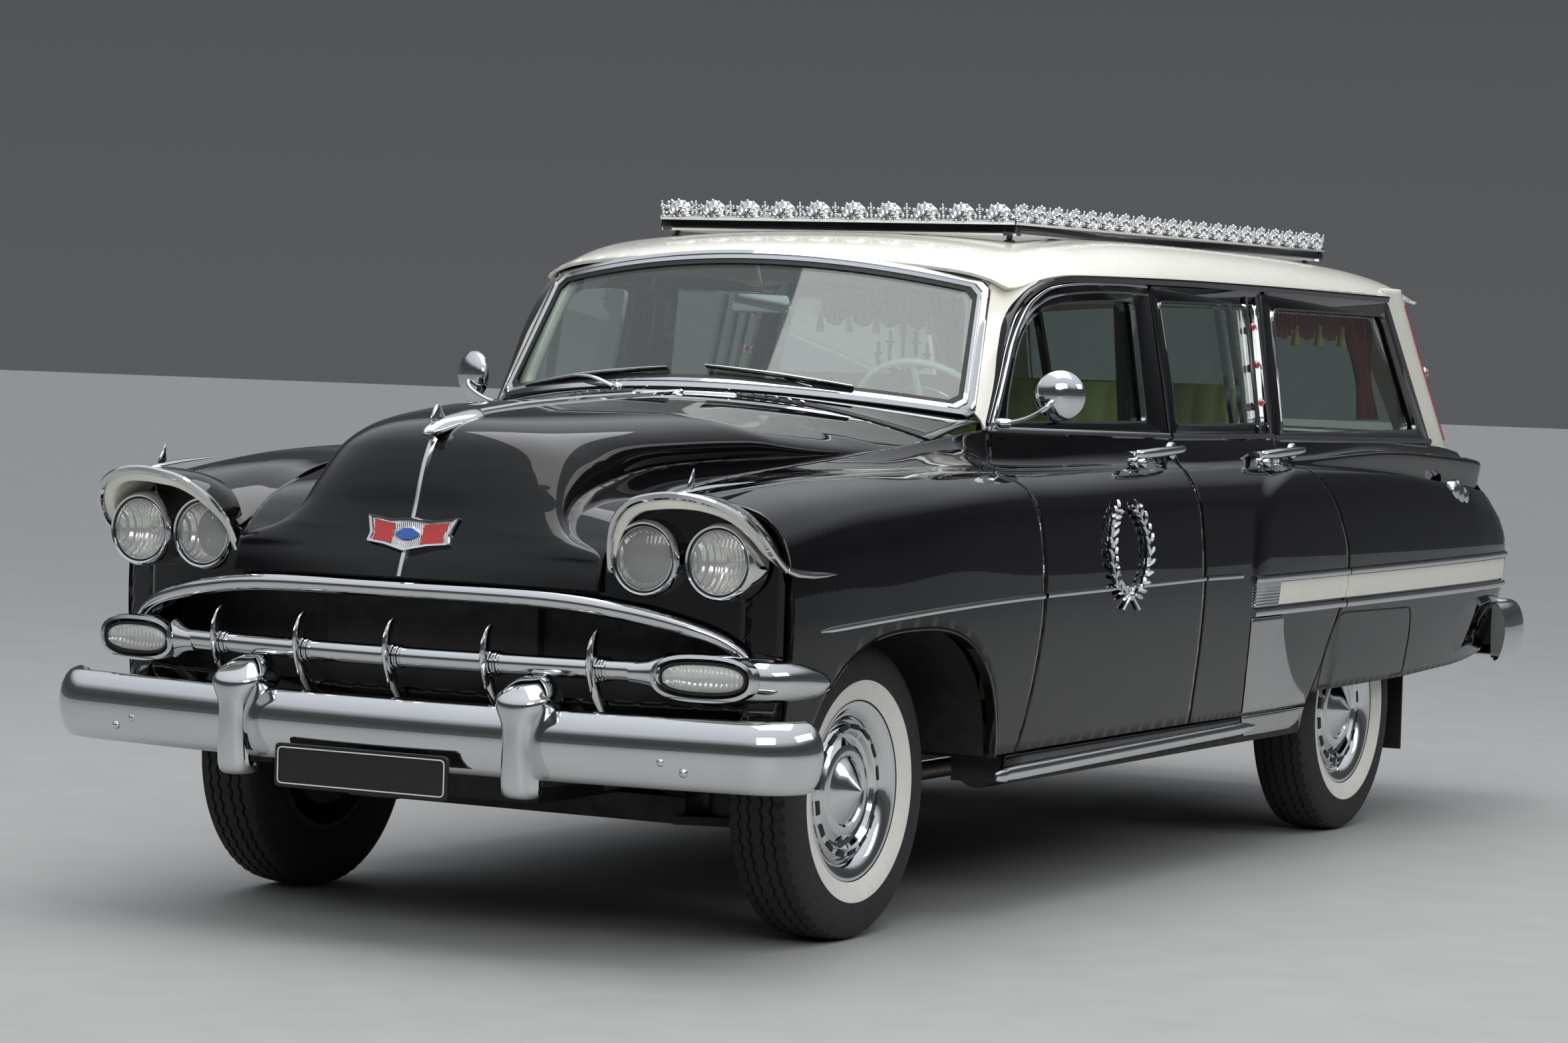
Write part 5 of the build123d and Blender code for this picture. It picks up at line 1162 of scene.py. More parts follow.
def window_ring(name, outer, inner, look, body, depth=26, lift=0.0, **extra):
    """A flat frame round a window that follows the lean of the body side."""
    loops = [[(glass_x(y, z) + lift - sink, y, z) for y, z in outline]
             for outline, sink in ((outer, depth), (outer, 0), (inner, 0), (inner, depth))]
    pair(name, *lofted(loops + [loops[0]], closed_ends=False), look, body, **extra)


# Window outlines as (y, z) corners and their radii; outer and inner corners go together
FRONT_FRAME = ([(-862, 1126), (-846, 1165), (-806, 1227), (-752, 1306), (-722, 1350), (-683, 1400), (-634, 1450),
                (-589, 1482), (-538, 1504), (-468, 1514), (-362, 1519), (-191, 1521), (-46, 1518), (-46, 1126)],
               [(-774, 1166), (-770, 1182), (-756, 1222), (-706, 1318), (-684, 1352), (-655, 1388), (-619, 1420),
                (-580, 1443), (-535, 1458), (-460, 1468), (-340, 1474), (-200, 1476), (-138, 1474), (-148, 1166)])
FRONT_STRIP = ((-836, 1160), (-834, 1166), (-794, 1228), (-741, 1314), (-712, 1358), (-674, 1404), (-626, 1452),
               (-580, 1480), (-530, 1500), (-468, 1509), (-362, 1514), (-191, 1516), (-60, 1513))
FRONT_LINE = ((-716, 1326), (-700, 1354), (-664, 1396), (-614, 1440), (-560, 1468), (-500, 1483), (-362, 1493),
              (-191, 1496), (-60, 1493))
REAR_FRAME = ([(-38, 1126), (-38, 1517), (706, 1517), (650, 1126)], [(10, 1158), (10, 1480), (640, 1480), (600, 1158)])
QUARTER_FRAME = ([(640, 1066), (640, 1126), (712, 1517), (1676, 1512), (1960, 1066)],
                 [(716, 1130), (730, 1160), (770, 1474), (1640, 1466), (1836, 1130)])


def build_windows():
    for name, (outer, inner), radii, body, node in (
            ("front_window", FRONT_FRAME, (12,) + (40,) * 11 + (22, 12), "LEFT_front_door", "door_glass_front_LEFT"),
            ("rear_window", REAR_FRAME, (16, 22, 22, 16), "LEFT_rear_door", "door_glass_rear_LEFT"),
            ("quarter_window", QUARTER_FRAME, (8, 30, 34, 34, 30), "body", "quarter_glass_LEFT")):
        outside, inside = rounded(outer, [r * 0.8 for r in radii], 5), rounded(inner, list(radii), 5)
        window_ring(f"{name}_frame", outside, inside, "paint", body, 34, angle=50, bevel=1.2)
        middle_y, middle_z = np.mean([p[0] for p in inside]), np.mean([p[1] for p in inside])
        slim = [(y + (middle_y - y) * 0.018, z + (middle_z - z) * 0.026) for y, z in inside]
        window_ring(f"{name}_bead", inside, slim, "chrome", body, 12, lift=2.0, angle=60)
        pane = [(glass_x(y, z) - 17, y, z) for y, z in inside]
        count = len(pane)
        faces = [tuple(range(count))[::-1], tuple(range(count, 2 * count))]
        faces += [(i, (i + 1) % count, count + (i + 1) % count, count + i) for i in range(count)]
        pair(f"{name}_glass", pane + [(x - 5, y, z) for x, y, z in pane], faces, "glass", body, stands_for=[node])
    vent = [(glass_x(y, z) - 6, y, z) for y, z in ((-581, 1450), (-574, 1363), (-569, 1284), (-562, 1162))]
    pair("vent_bar", *swept(vent, [(8, -9), (8, 9), (-10, 9), (-10, -9)]), "paint", "LEFT_front_door")
    strip = smooth_curve([(glass_x(y, z) + 3, y, z) for y, z in FRONT_STRIP], 4)
    widths = [along_table(((1160, 1.0), (1330, 1.0), (1440, 0.8), (1500, 0.3), (1514, 0.22)), p[2]) for p in strip]
    line = smooth_curve([(glass_x(y, z) + 2, y, z) for y, z in FRONT_LINE], 4)
    bright = swept(strip, [(7, -6), (8, 0), (6, 9), (-5, 13), (-5, -13), (4, -11)], sizes=widths)
    pair("front_window_strip", *merged(bright, swept(line, [(3, -2), (3, 2), (-4, 3), (-4, -3)])), "chrome",
         "LEFT_front_door")
    build_sliding_glass()


def build_sliding_glass():
    """The chrome frame of the half-open sliding glass in each rear door, with small marker lamps behind it."""
    def bar(start, lean, out, heights, profile):
        return swept([(glass_x(start, z) + out, start + (z - 1160) * lean, z) for z in heights], profile)

    frames = [bar(y, 0.02, -8, spaced(1160, 1478, 6), [(6, -11), (8, 0), (6, 11), (-6, 11), (-6, -11)])
              for y in (395, 470)]
    frames += [bar(y, 0.08, 3, spaced(1128, 1500, 6), [(4, -8), (6, 0), (4, 8), (-3, 8), (-3, -8)]) for y in (548, 618)]
    pair("sliding_glass_frame", *merged(*frames), "chrome", "LEFT_rear_door")
    lamps = [turned([(0, 11), (6, 10), (11, 6), (13, 0.5)], (glass_x(y, z) + 1, y, z), (1, 0, 0.1), 20)
             for y, z in [(583 + (z - 1160) * 0.08, z) for z in (1216, 1318, 1420)]]
    pair("door_marker_lamps", *merged(*lamps), "red_lens", "LEFT_rear_door")


# Roof: y, centre z, shoulder x and z, edge x and z
ROOF = (
    (-772, 1566, 520, 1528, 628, 1494), (-700, 1590, 538, 1552, 664, 1496), (-640, 1604, 548, 1566, 676, 1500),
    (-560, 1616, 558, 1582, 694, 1520), (-460, 1627, 570, 1596, 716, 1531), (-300, 1636, 585, 1610, 735, 1534),
    (100, 1650, 598, 1628, 748, 1536), (900, 1646, 600, 1622, 748, 1532),
    (1500, 1626, 592, 1603, 742, 1526), (1800, 1602, 580, 1583, 734, 1518), (1950, 1578, 566, 1562, 722, 1512),
)
ROOF_PLACES = [row[0] for row in ROOF]
ROOF_ROWS = np.array([row[1:] for row in ROOF], float)


def roof_point(y, u):
    """A point of the roof at y, across from one drip rail, -1, to the other, 1."""
    top, shoulder_x, shoulder_z, edge_x, edge_z = smooth_row(ROOF_PLACES, ROOF_ROWS, y)
    a = abs(u)
    if a < 0.7:
        t = a / 0.7
        x, z = shoulder_x * t, top - (top - shoulder_z) * t ** 2.4
    else:
        t = (a - 0.7) / 0.3
        slope = 2.4 * (top - shoulder_z) / shoulder_x
        bend = t * t * (3 - 2 * t)
        x = shoulder_x + (edge_x - shoulder_x) * sin(t * pi / 2) ** 0.92
        z = lerp(shoulder_z - slope * (x - shoulder_x) * (1 - bend), edge_z, bend ** 1.15)
    return (x if u > 0 else -x, y, z)


def screen_edge(u):
    """The roof's front edge over the windscreen: further back at the corners."""
    return -772 + 82 * abs(u) ** 2.4


def build_roof():
    def point(t, u):
        y = lerp(screen_edge(u), 1972 - 20 * u * u, t)
        x, _, z = roof_point(y, u)
        return (x, y, z - 14 * max(0, (y - 1880) / 92) ** 2 * (1 - abs(u)) ** 0.2)

    rows = [[point(t, u) for u in spaced(-1, 1, 91)] for t in spaced(0, 1, 100)]
    piece("roof_skin", *skin(rows), "cream", wall=9, bevel=3, stands_for=["roof"])
    lining = [[(p[0] * 0.965, p[1] + 10, p[2] - 26) for p in row[::5]] for row in rows[2:-2:6]]
    piece("headlining", *skin(lining, flip=True), "lining", wall=3)
    build_drip_rails()
    build_pillars()


DRIP_RAIL = ((704, -862, 1164), (696, -803, 1262), (688, -758, 1347), (682, -700, 1426), (686, -637, 1474),
             (697, -570, 1506), (712, -508, 1520), (728, -405, 1526), (747, -96, 1528), (749, 278, 1528),
             (747, 900, 1523), (746, 1400, 1516), (745, 1660, 1513))
# Rear edge of the cream windscreen pillar, up to the roof
PILLAR_EDGE = ((703, -872, 1150), (697, -822, 1235), (689, -778, 1312), (684, -742, 1372), (680, -706, 1418),
               (681, -672, 1452), (683, -640, 1479), (688, -600, 1503), (694, -566, 1520))


def build_drip_rails():
    line = smooth_curve(DRIP_RAIL, 5)
    sizes = [min(1, 0.35 + i / 20) for i in range(len(line))]
    pair("drip_rail", *swept(line, [(10, -8), (12, -3), (8, 9), (-12, 13), (-14, -9), (4, -10)], sizes=sizes), "paint")


def rear_pillar_point(z, s, out=0.0):
    """A point of the rear pillar's face: s runs from the window back to the rear edge, where the face turns in."""
    t = (z - 1068) / 477
    front, back = lerp(1960, 1662, t), along_table(((1068, 2165), (1341, 1990), (1545, 1872)), z)
    turn = max(0, s - 0.5) ** 2 * 4
    return (lerp(786, 733, t) - 26 * turn + out, lerp(front, back, s), z)


def build_pillars():
    """Cream rear pillars with their red line and marker lamp, and the dark middle posts."""
    pair("rear_pillar", *skin([[rear_pillar_point(lerp(1068, 1545, t), s) for s in spaced(0, 1, 14)]
                               for t in spaced(0, 1, 30)]), "cream", wall=12, bevel=3)
    line = [rear_pillar_point(lerp(1100, 1500, t), 0.72, 1.5) for t in spaced(0, 1, 14)]
    pair("rear_pillar_line", *swept(line, [(2, -3.5), (3, 0), (2, 3.5), (-3, 3.5), (-3, -3.5)]), "red_lens")
    lamp = rear_pillar_point(1300, 0.86, 0)
    pair("rear_pillar_lamp", *turned([(-4, 15), (5, 14), (12, 9), (15, 0.5)], lamp, (1, 0.35, 0.1), 24), "red_lens")
    pair("rear_pillar_lamp_bezel", *turned([(-4, 18), (4, 18), (6, 15.5), (4, 14.5)], lamp, (1, 0.35, 0.1), 24),
         "chrome")
    post = [(lerp(800, 716, t) - 30, -44, lerp(400, 1505, t)) for t in spaced(0, 1, 8)]
    pair("middle_post", *swept(post, [(10, -34), (10, 34), (-20, 34), (-20, -34)]), "paint", bevel=2)


# Windscreen and rear window: the corner and centre of the lower edge, then of the upper edge
SCREEN = (((664, -877, 1189), (0, -1090, 1237)), ((613, -706, 1494), (0, -790, 1559)))
REAR_SCREEN = (((690, 2166, 1052), (0, 2226, 1052)), ((604, 1880, 1496), (0, 1936, 1540)))


def screen_point(table, u, t, out=0.0, grow=0.0):
    """A point of a curved window: u across from -1 to 1, t up from 0 to 1, moved out of its surface."""
    (low_corner, low_centre), (high_corner, high_centre) = table
    corner = [lerp(a, b, t) for a, b in zip(low_corner, high_corner)]
    centre = [lerp(a, b, t) for a, b in zip(low_centre, high_centre)]
    wide = (corner[0] + grow) / corner[0]
    bend = (u * wide) ** 2
    forward = -1 if table is SCREEN else 1
    return (u * (corner[0] + grow), centre[1] + (corner[1] - centre[1]) * bend + forward * out * 0.9,
            centre[2] + (corner[2] - centre[2]) * bend + out * 0.43)


def screen_band(table, grow, low_t, high_t, out):
    """A closed line round a curved window at some distance from its edge."""
    line = [screen_point(table, u, low_t, out, grow) for u in spaced(-0.97, 0.97, 48)]
    line += [screen_point(table, 1, t, out, grow) for t in spaced(low_t + 0.05, high_t - 0.05, 14)]
    line += [screen_point(table, u, high_t, out, grow) for u in spaced(0.97, -0.97, 48)]
    line += [screen_point(table, -1, t, out, grow) for t in spaced(high_t - 0.05, low_t + 0.05, 14)]
    return line


def build_windscreen():
    glass = [[screen_point(SCREEN, u, t, 6) for u in spaced(-1, 1, 41)] for t in spaced(0, 1, 21)]
    piece("windscreen_glass", *skin(glass), "glass", wall=5, stands_for=["windshield"])

    def band(*steps):
        return [screen_band(SCREEN, grow, -grow / 360, 1 + grow / 360, out) for grow, out in steps]

    seal = band((-24, 4), (-24, 10), (-12, 12), (-12, 2))
    piece("windscreen_seal", *lofted([*seal, seal[0]], closed_ends=False), "rubber", stands_for=["cowl"])
    trim = band((-14, 7), (-12, 14), (-3, 17), (-1, 14), (1, 17), (12, 14), (15, 6), (15, -6))
    piece("windscreen_surround", *lofted(trim, closed_ends=False), "chrome")
    foot = [screen_point(SCREEN, u, -0.083, 5, 8) for u in spaced(-1, 1, 60)]
    piece("scuttle_moulding", *swept(foot, [(9, 0), (7, 7), (-6, 10), (-6, -10), (7, -7)], outward=(0, -0.75, 0.66),
                                     sizes=tapering(60, 0.6, 1, 12)), "chrome")
    rows = []
    for i, rear in enumerate(smooth_curve(PILLAR_EDGE, 3)):
        front = Vector(screen_point(SCREEN, 1, i / 24 * 1.04, 8, 12))
        rows.append([tuple(front.lerp(Vector(rear), s) + Vector((5 * sin(pi * s), 0, 0))) for s in spaced(0, 1, 6)])
    pair("screen_pillar", *skin(rows), "cream", wall=8)
    inner = ((626, -838, 1200), (640, -812, 1240), (612, -742, 1400), (588, -700, 1484))
    posts = [swept(smooth_curve([(side * x, y, z) for x, y, z in inner], 4), ring_profile(20, 10)) for side in (1, -1)]
    piece("inner_screen_pillars", *merged(*posts), "cream", angle=60)
    build_scuttle()
    build_wipers()


def build_scuttle():
    """The strip of body between the bonnet and the windscreen, with its louvres, and the bulkhead below."""
    def point(t, u):
        ahead = Vector((u * 682, -1117, 1218 - 91 * abs(u) ** 2.2))
        rear = Vector(screen_point(SCREEN, u, -0.03, -6, 26))
        return tuple(ahead.lerp(rear, t) + Vector((0, 0, 6 * sin(pi * t))))

    rows = [[point(t, u) for u in spaced(-1, 1, 49)] for t in spaced(0, 1, 7)]
    piece("scuttle_top", *skin(rows), "paint", wall=8, bevel=2)
    louvres = [lofted([[(x + dx, y, 1219 - 91 * abs(x / 682) ** 2.2 + dz) for dx, dz in
                        ((-11, 3), (0, 8), (11, 3), (0, 0))] for y in (-1112, -1096)])
               for x in [u * 784 + (i - 3) * 34 for u in (-0.28, 0.28) for i in range(7)]]
    piece("scuttle_louvres", *merged(*louvres), "chrome")
    posts = [lofted([[(side * x, y, z) for x, y in ((728, -1112), (808, -1112), (808, -1070), (728, -1070))]
                     for z in (410, 700, 1036)], flip=side < 0) for side in (1, -1)]
    wall = lofted([[(x, y, z) for x, y in ((-670, -1112), (670, -1112), (670, -1104), (-670, -1104))]
                   for z in (395, 1095)])
    piece("bulkhead", *merged(wall, *posts), "underside")


def build_wipers():
    """Two wipers: a tapered arm from a boss on the scuttle and a blade lying on the glass."""
    bright, rubber = [], []
    for pivot, tip, (x0, t0), (x1, t1) in (((411, -1003, 1200), (214, -1042, 1262), (412, 0.055), (33, 0.12)),
                                           ((-205, -1092, 1222), (-352, -1058, 1250), (-560, 0.02), (-75, 0.10))):
        bright.append(turned([(-26, 16), (6, 15), (14, 9), (16, 0.5)], pivot, (0, -0.5, 1), 20))
        arm = smooth_curve([pivot, tuple(Vector(pivot).lerp(Vector(tip), 0.5) + Vector((0, -16, 12))), tip], 6)
        bright.append(swept(arm, ring_profile(5.5, 8, 0.6), outward=(0, -0.5, 1), sizes=spaced(1.5, 0.6, 13)))
        line = [screen_point(SCREEN, lerp(x0, x1, k) / 660, lerp(t0, t1, k), 16) for k in spaced(0, 1, 14)]
        bright.append(swept([tuple(Vector(p) + Vector((0, -6, 4))) for p in line], ring_profile(4.5, 8),
                            outward=(0, -0.5, 1), sizes=tapering(14, 0.5, 1, 6.5)))
        rubber.append(swept(line, [(5, -2), (5, 2), (-9, 1), (-9, -1)], outward=(0, -0.9, 0.43)))
    piece("wiper_arms", *merged(*bright), "chrome", angle=60)
    piece("wiper_blades", *merged(*rubber), "rubber")


# Tail
TAIL_CORNER_Y = 2246
TAIL_CENTRE_Y = 2284
TAIL_HALF_WIDTH = 690


def tail_y(x):
    return TAIL_CENTRE_Y - (TAIL_CENTRE_Y - TAIL_CORNER_Y) * (x / TAIL_HALF_WIDTH) ** 2


def build_tail():
    def sheet(low, high, rows):
        return skin([[(x, tail_y(x), z) for x in spaced(-688, 688, 44)] for z in spaced(low, high, rows)], flip=True)

    def frame_ring(*steps):
        return [screen_band(REAR_SCREEN, grow, low, high, out) for grow, low, high, out in steps]

    piece("tailgate_skin", *sheet(643, 1040, 18), "paint", "tailgate", wall=40, bevel=4, stands_for=["tailgate"])
    piece("tail_apron", *sheet(458, 634, 8), "paint", wall=12, bevel=2)
    loops = frame_ring((-2, 0.01, 0.975, -14), (-2, 0.01, 0.975, 10), (-20, 0.05, 0.95, 16), (-62, 0.12, 0.885, 8),
                       (-68, 0.13, 0.88, -14))
    piece("rear_window_frame", *lofted([*loops, loops[0]], closed_ends=False, flip=True), "cream", "rear_window",
          stands_for=["liftgate"])
    bead = frame_ring((-60, 0.115, 0.89, 8), (-64, 0.122, 0.883, 13), (-74, 0.14, 0.87, 8))
    piece("rear_window_bead", *lofted(bead, closed_ends=False, flip=True), "chrome", "rear_window")
    glass = [[screen_point(REAR_SCREEN, u, t, -2, -68) for u in spaced(-1, 1, 31)] for t in spaced(0.13, 0.88, 15)]
    piece("rear_window_glass", *skin(glass, flip=True), "glass", "rear_window", wall=5, stands_for=["liftgate_glass"])
    handle = swept([(-60, 2296, 985), (-40, 2306, 985), (40, 2306, 985), (60, 2296, 985)], ring_profile(9, 10),
                   outward=(0, 1, 0))
    piece("tailgate_handle", *handle, "chrome", "tailgate")
    strip = swept([(x, tail_y(x) + 1, 770) for x in spaced(-680, 680, 30)],
                  [(6, -8), (8, 0), (6, 8), (-3, 9), (-3, -9)], outward=(0, 1, 0))
    piece("tailgate_strip", *strip, "chrome", "tailgate")
    for name, profile, look, node in (
            ("rim", [(-40, 45), (10, 45), (20, 42), (22, 36), (18, 34)], "chrome", ["tail_lamps"]),
            ("lens", [(16, 37), (24, 32), (31, 20), (34, 8), (34, 0.5)], "red_lens", ())):
        pair(f"tail_lamp_{name}", *turned(profile, (792, 2322, 820), (0.18, 1, 0), 40), look, stands_for=node)


# Side brightwork
def side_line(y_from, y_to, z_from, z_to, count, out=1.0):
    """A line along the body side between two heights."""
    return [side_point(lerp(y_from, y_to, t), lerp(z_from, z_to, t), out) for t in spaced(0, 1, count)]


TRIM = [(6.5, 0), (5, 5), (-2, 7.5), (-2, -7.5), (5, -5)]


def build_side_trim():
    for name, body, start, end, z_from, z_to, count in (
            ("wing_strip", "body", -2045, -995, 726, 763, 24),
            ("front_door_strip", "LEFT_front_door", -979, -50, 764, 770, 20),
            ("rear_door_strip", "LEFT_rear_door", -38, 190, 770, 768, 8)):
        wing = name == "wing_strip"
        line = [side_point(lerp(start, end, t), lerp(z_from, z_to, 1 - (1 - t) ** 1.6 if wing else t), 1)
                for t in spaced(0, 1, count)]
        sizes = ([0.3, 0.9] if wing else [1, 1]) + [1] * (count - 2)
        pair(name, *swept(line, TRIM, sizes=sizes), "chrome", body)
    build_side_band()
    build_gravel_shield()
    build_rocker()
    build_handles()
    build_belt()


def band_sheet(y_from, y_to, z_low, z_high, out, columns, crown=2.0):
    """A strip of the body side between two heights, a little crowned."""
    return skin([[side_point(y, lerp(z_low, z_high, t), out + crown * sin(pi * t))
                  for y in spaced(y_from, y_to, columns)]
                 for t in spaced(0, 1, 5)])


def build_side_band():
    """The cream band between chrome borders, with a ribbed block at its front, on the rear door and the quarter."""
    shut = edge_at(REAR_SHUT, 714)
    for name, body, start, end, first, last in (("door", "LEFT_rear_door", 432, shut - 1, 272, shut - 1),
                                                ("quarter", "body", shut + 6, 2286, shut + 6, 2300)):
        pair(f"{name}_cream_band", *band_sheet(start, end, 684, 745, 3, 24), "cream", body, wall=4)
        for edge, z, size in (("upper", 756, 1.5), ("lower", 667, 1.8)):
            line = side_line(first, last, z, z, 26, 2)
            pair(f"{name}_band_{edge}_border", *swept(line, TRIM, sizes=[size] * 26), "chrome", body)
    pair("band_end", *band_sheet(2285, 2300, 672, 758, 4, 3), "chrome", wall=4, bevel=1.5)
    pair("band_ribs", *band_sheet(276, 430, 682, 747, 5, 8, 1), "ribbed", "LEFT_rear_door", wall=5)


SHIELD_FRONT = ((400, 292), (520, 280), (652, 272))
SHIELD_BACK = ((400, 742), (424, 722), (450, 660), (480, 610), (520, 565), (570, 525), (610, 500), (652, 488))


def build_gravel_shield():
    """The stone shield on the rear door: a leaf of bright metal, hollow along its rear edge."""
    rows = [[side_point(lerp(along_table(SHIELD_FRONT, z), along_table(SHIELD_BACK, z), s), z, 3.5 + 3 * sin(pi * s))
             for s in spaced(0, 1, 16)] for z in [lerp(400, 652, t) for t in spaced(0, 1, 22)]]
    pair("stone_shield", *skin(rows), "shield", "LEFT_rear_door", wall=4, bevel=1.5)
    foot = [[(901 + 2 * sin(pi * s) + 6 * t, lerp(300 + 30 * (1 - t), lerp(640, 738, t ** 0.5), s), lerp(336, 390, t))
             for s in spaced(0, 1, 12)] for t in spaced(0, 1, 6)]
    pair("stone_shield_foot", *skin(foot), "shield", wall=4, bevel=1.5)


def build_rocker():
    sheet = [[(lerp(890, 903, t), y, lerp(320, 388, t)) for y in spaced(-1110, 740, 20)] for t in spaced(0, 1, 5)]
    pair("sill_panel", *skin(sheet), "paint", wall=10, bevel=2)
    profile = [(6, -8), (8, 4), (4, 15), (-4, 17), (-6, -17), (2, -14)]
    line = [(906, y, lerp(343, 360, (y + 1310) / 1700)) for y in spaced(-1112, 392, 30)]
    pair("sill_strip", *swept(line, profile, sizes=[0.9] + [1.0] * 27 + [0.7, 0.2]), "chrome")
    ahead = [(906, y, 343) for y in spaced(-1170, -1112, 4)]
    pair("sill_strip_tip", *swept(ahead, profile, sizes=[0.5, 0.8, 0.9, 0.9]), "chrome")


def build_handles():
    for name, start, end, x, z in (("front", -368, -68, 868, 1093), ("rear", 432, 732, 872, 1082)):
        grip = smooth_curve([(x - 18, start + 14, z - 4), (x + 14, start, z - 2), (x + 24, start + 40, z),
                             (x + 26, start + 150, z + 4), (x + 20, end - 36, z + 7), (x + 6, end, z + 8)], 6)
        count = len(grip)
        sizes = [lerp(0.7, 1.15, min(i, count - 1 - i) / (count / 2)) for i in range(count)]
        bar = swept(grip, [(9, 0), (7, 8), (0, 12), (-7, 8), (-8, 0), (-7, -8), (0, -12), (7, -8)], sizes=sizes)
        rounds = [turned(profile, place, (1, 0, 0), 24) for profile, place in (
            ([(-20, 20), (0, 19), (5, 14), (6, 0.5)], (x - 10, start + 58, z - 24)),
            ([(0, 12), (16, 12), (20, 8), (21, 0.5)], (x - 6, start + 58, z - 26)),
            ([(-10, 24), (0, 23), (3, 18), (4, 0.5)], (x - 10, end - 26, z + 2)))]
        pair(f"{name}_door_handle", *merged(bar, *rounds), "chrome", f"LEFT_{name}_door", angle=60)


def build_belt():
    """Chrome mouldings along the bottom of the side windows."""
    for name, body, start, end, z0, z1 in (("front", "LEFT_front_door", -868, -48, 1150, 1131),
                                           ("rear", "LEFT_rear_door", -36, 640, 1130, 1124),
                                           ("quarter", "body", 650, 1930, 1120, 1098)):
        line = [(glass_x(y, z) + 3, y, z) for y, z in zip(spaced(start, end, 20), spaced(z0, z1, 20))]
        pair(f"{name}_belt_moulding", *swept(line, [(6, -2), (7, 5), (2, 9), (-8, 8), (-8, -8), (3, -8)]), "chrome",
             body)


WREATH_Y = -510
WREATH_Z = 858
WREATH_RADIUS = (108, 116)


def build_leaf(foot, aim, length):
    """A leaf of the wreath, from its foot on the door as (y, z) along a direction."""
    across = Vector((-aim.y, aim.x))
    loops = []
    for s, w in ((0, 1.2), (0.25, 5), (0.55, 6), (0.85, 3.2), (1, 0.5)):
        at, out = foot + aim * s * length, 6 + 9 * sin(pi * s * 0.8)
        loops.append([side_point(p.x, p.y, out + lift) for p, lift in
                      ((at + across * w, -3), (at, 2.5), (at - across * w, -3), (at, -4))])
    return lofted(loops)


def build_wreath():
    """A laurel wreath of small leaves on two stems, tied at the foot, on each front door."""
    leaves, stems = [], []
    rng = random.Random(11)
    for side in (1, -1):
        angles = [-pi / 2 + side * (0.16 + 2.62 * i / 23) for i in range(24)]
        places = [Vector((WREATH_Y + WREATH_RADIUS[0] * cos(a), WREATH_Z + WREATH_RADIUS[1] * sin(a))) for a in angles]
        stems.append(swept([side_point(p.x, p.y, 5) for p in places], ring_profile(3.2, 6)))
        for angle, place in list(zip(angles, places))[1:22:2]:
            along = Vector((-sin(angle) * side, cos(angle) * side))
            for lean in (-1, 1):
                aim = (along * 0.85 + Vector((cos(angle), sin(angle))) * lean * 0.6).normalized()
                leaves.append(build_leaf(place, aim, 33 + rng.uniform(-3, 3)))
        tail = [side_point(WREATH_Y + side * k * 42, WREATH_Z - 108 - 34 * k, 6) for k in spaced(-0.55, 1.15, 8)]
        stems.append(swept(tail, ring_profile(4.2, 6), sizes=[0.6, 0.9, 1, 1, 1.1, 1.2, 1.4, 1.6]))
    knot = turned([(-2, 15), (7, 13), (12, 7), (13, 0.5)], side_point(WREATH_Y, WREATH_Z - 112, 3), (1, 0, 0), 12)
    pair("door_wreath", *merged(knot, *leaves, *stems), "chrome", "LEFT_front_door", angle=30)


def build_bosses_and_mirrors():
    x, y, z = side_point(1932, 948, 0)
    wings = [turned([(-14, size), (6, size * 0.9), (14, size * 0.55), (16, 0.5)], (x - 4, y + dy, z + dz),
                    (1, 0.15, 0.1), 20)
             for dy, dz, size in ((-40, 8, 33), (0, 0, 42), (40, -10, 30))]
    pair("quarter_boss", *merged(*wings), "chrome")
    disc = turned([(8, 0.5), (9, 56), (8, 61), (2, 63), (-8, 60), (-20, 46), (-27, 24), (-29, 0.5)], (847, -755, 1237),
                  (-0.42, 0.91, 0), 44)
    arm = smooth_curve([(724, -822, 1166), (744, -812, 1168), (786, -806, 1180), (826, -802, 1202), (840, -790, 1220),
                        (842, -768, 1224)], 6)
    foot = turned([(-20, 6), (-16, 11), (0, 13), (20, 11), (26, 0.5)], (724, -820, 1166), (0.85, 0.5, 0), 24)
    pair("door_mirror", *merged(disc, swept(arm, ring_profile(6.5, 10)), foot), "chrome", "LEFT_front_door",
         stands_for=["mirror_LEFT"], angle=50)


# Roof gallery
GALLERY_X = 522
GALLERY_FRONT_Y = -365
GALLERY_REAR_Y = 1716
CREST_HALF = 43
CREST_TOP = 45
CREST_LEAN = 0.18


def gallery_z(y):
    """The gallery's foot follows the roof's fall to the rear."""
    return lerp(1652, 1640, (y - GALLERY_FRONT_Y) / (GALLERY_REAR_Y - GALLERY_FRONT_Y))


def bead_ball(centre, radius):
    """A small ball of six sides."""
    x, y, z = centre
    rings = [[(x + radius * r * cos(pi * k / 3), y + radius * r * sin(pi * k / 3), z + radius * h) for k in range(6)]
             for h, r in ((-0.95, 0.3), (-0.4, 0.92), (0.4, 0.92), (0.95, 0.3))]
    return lofted(rings)


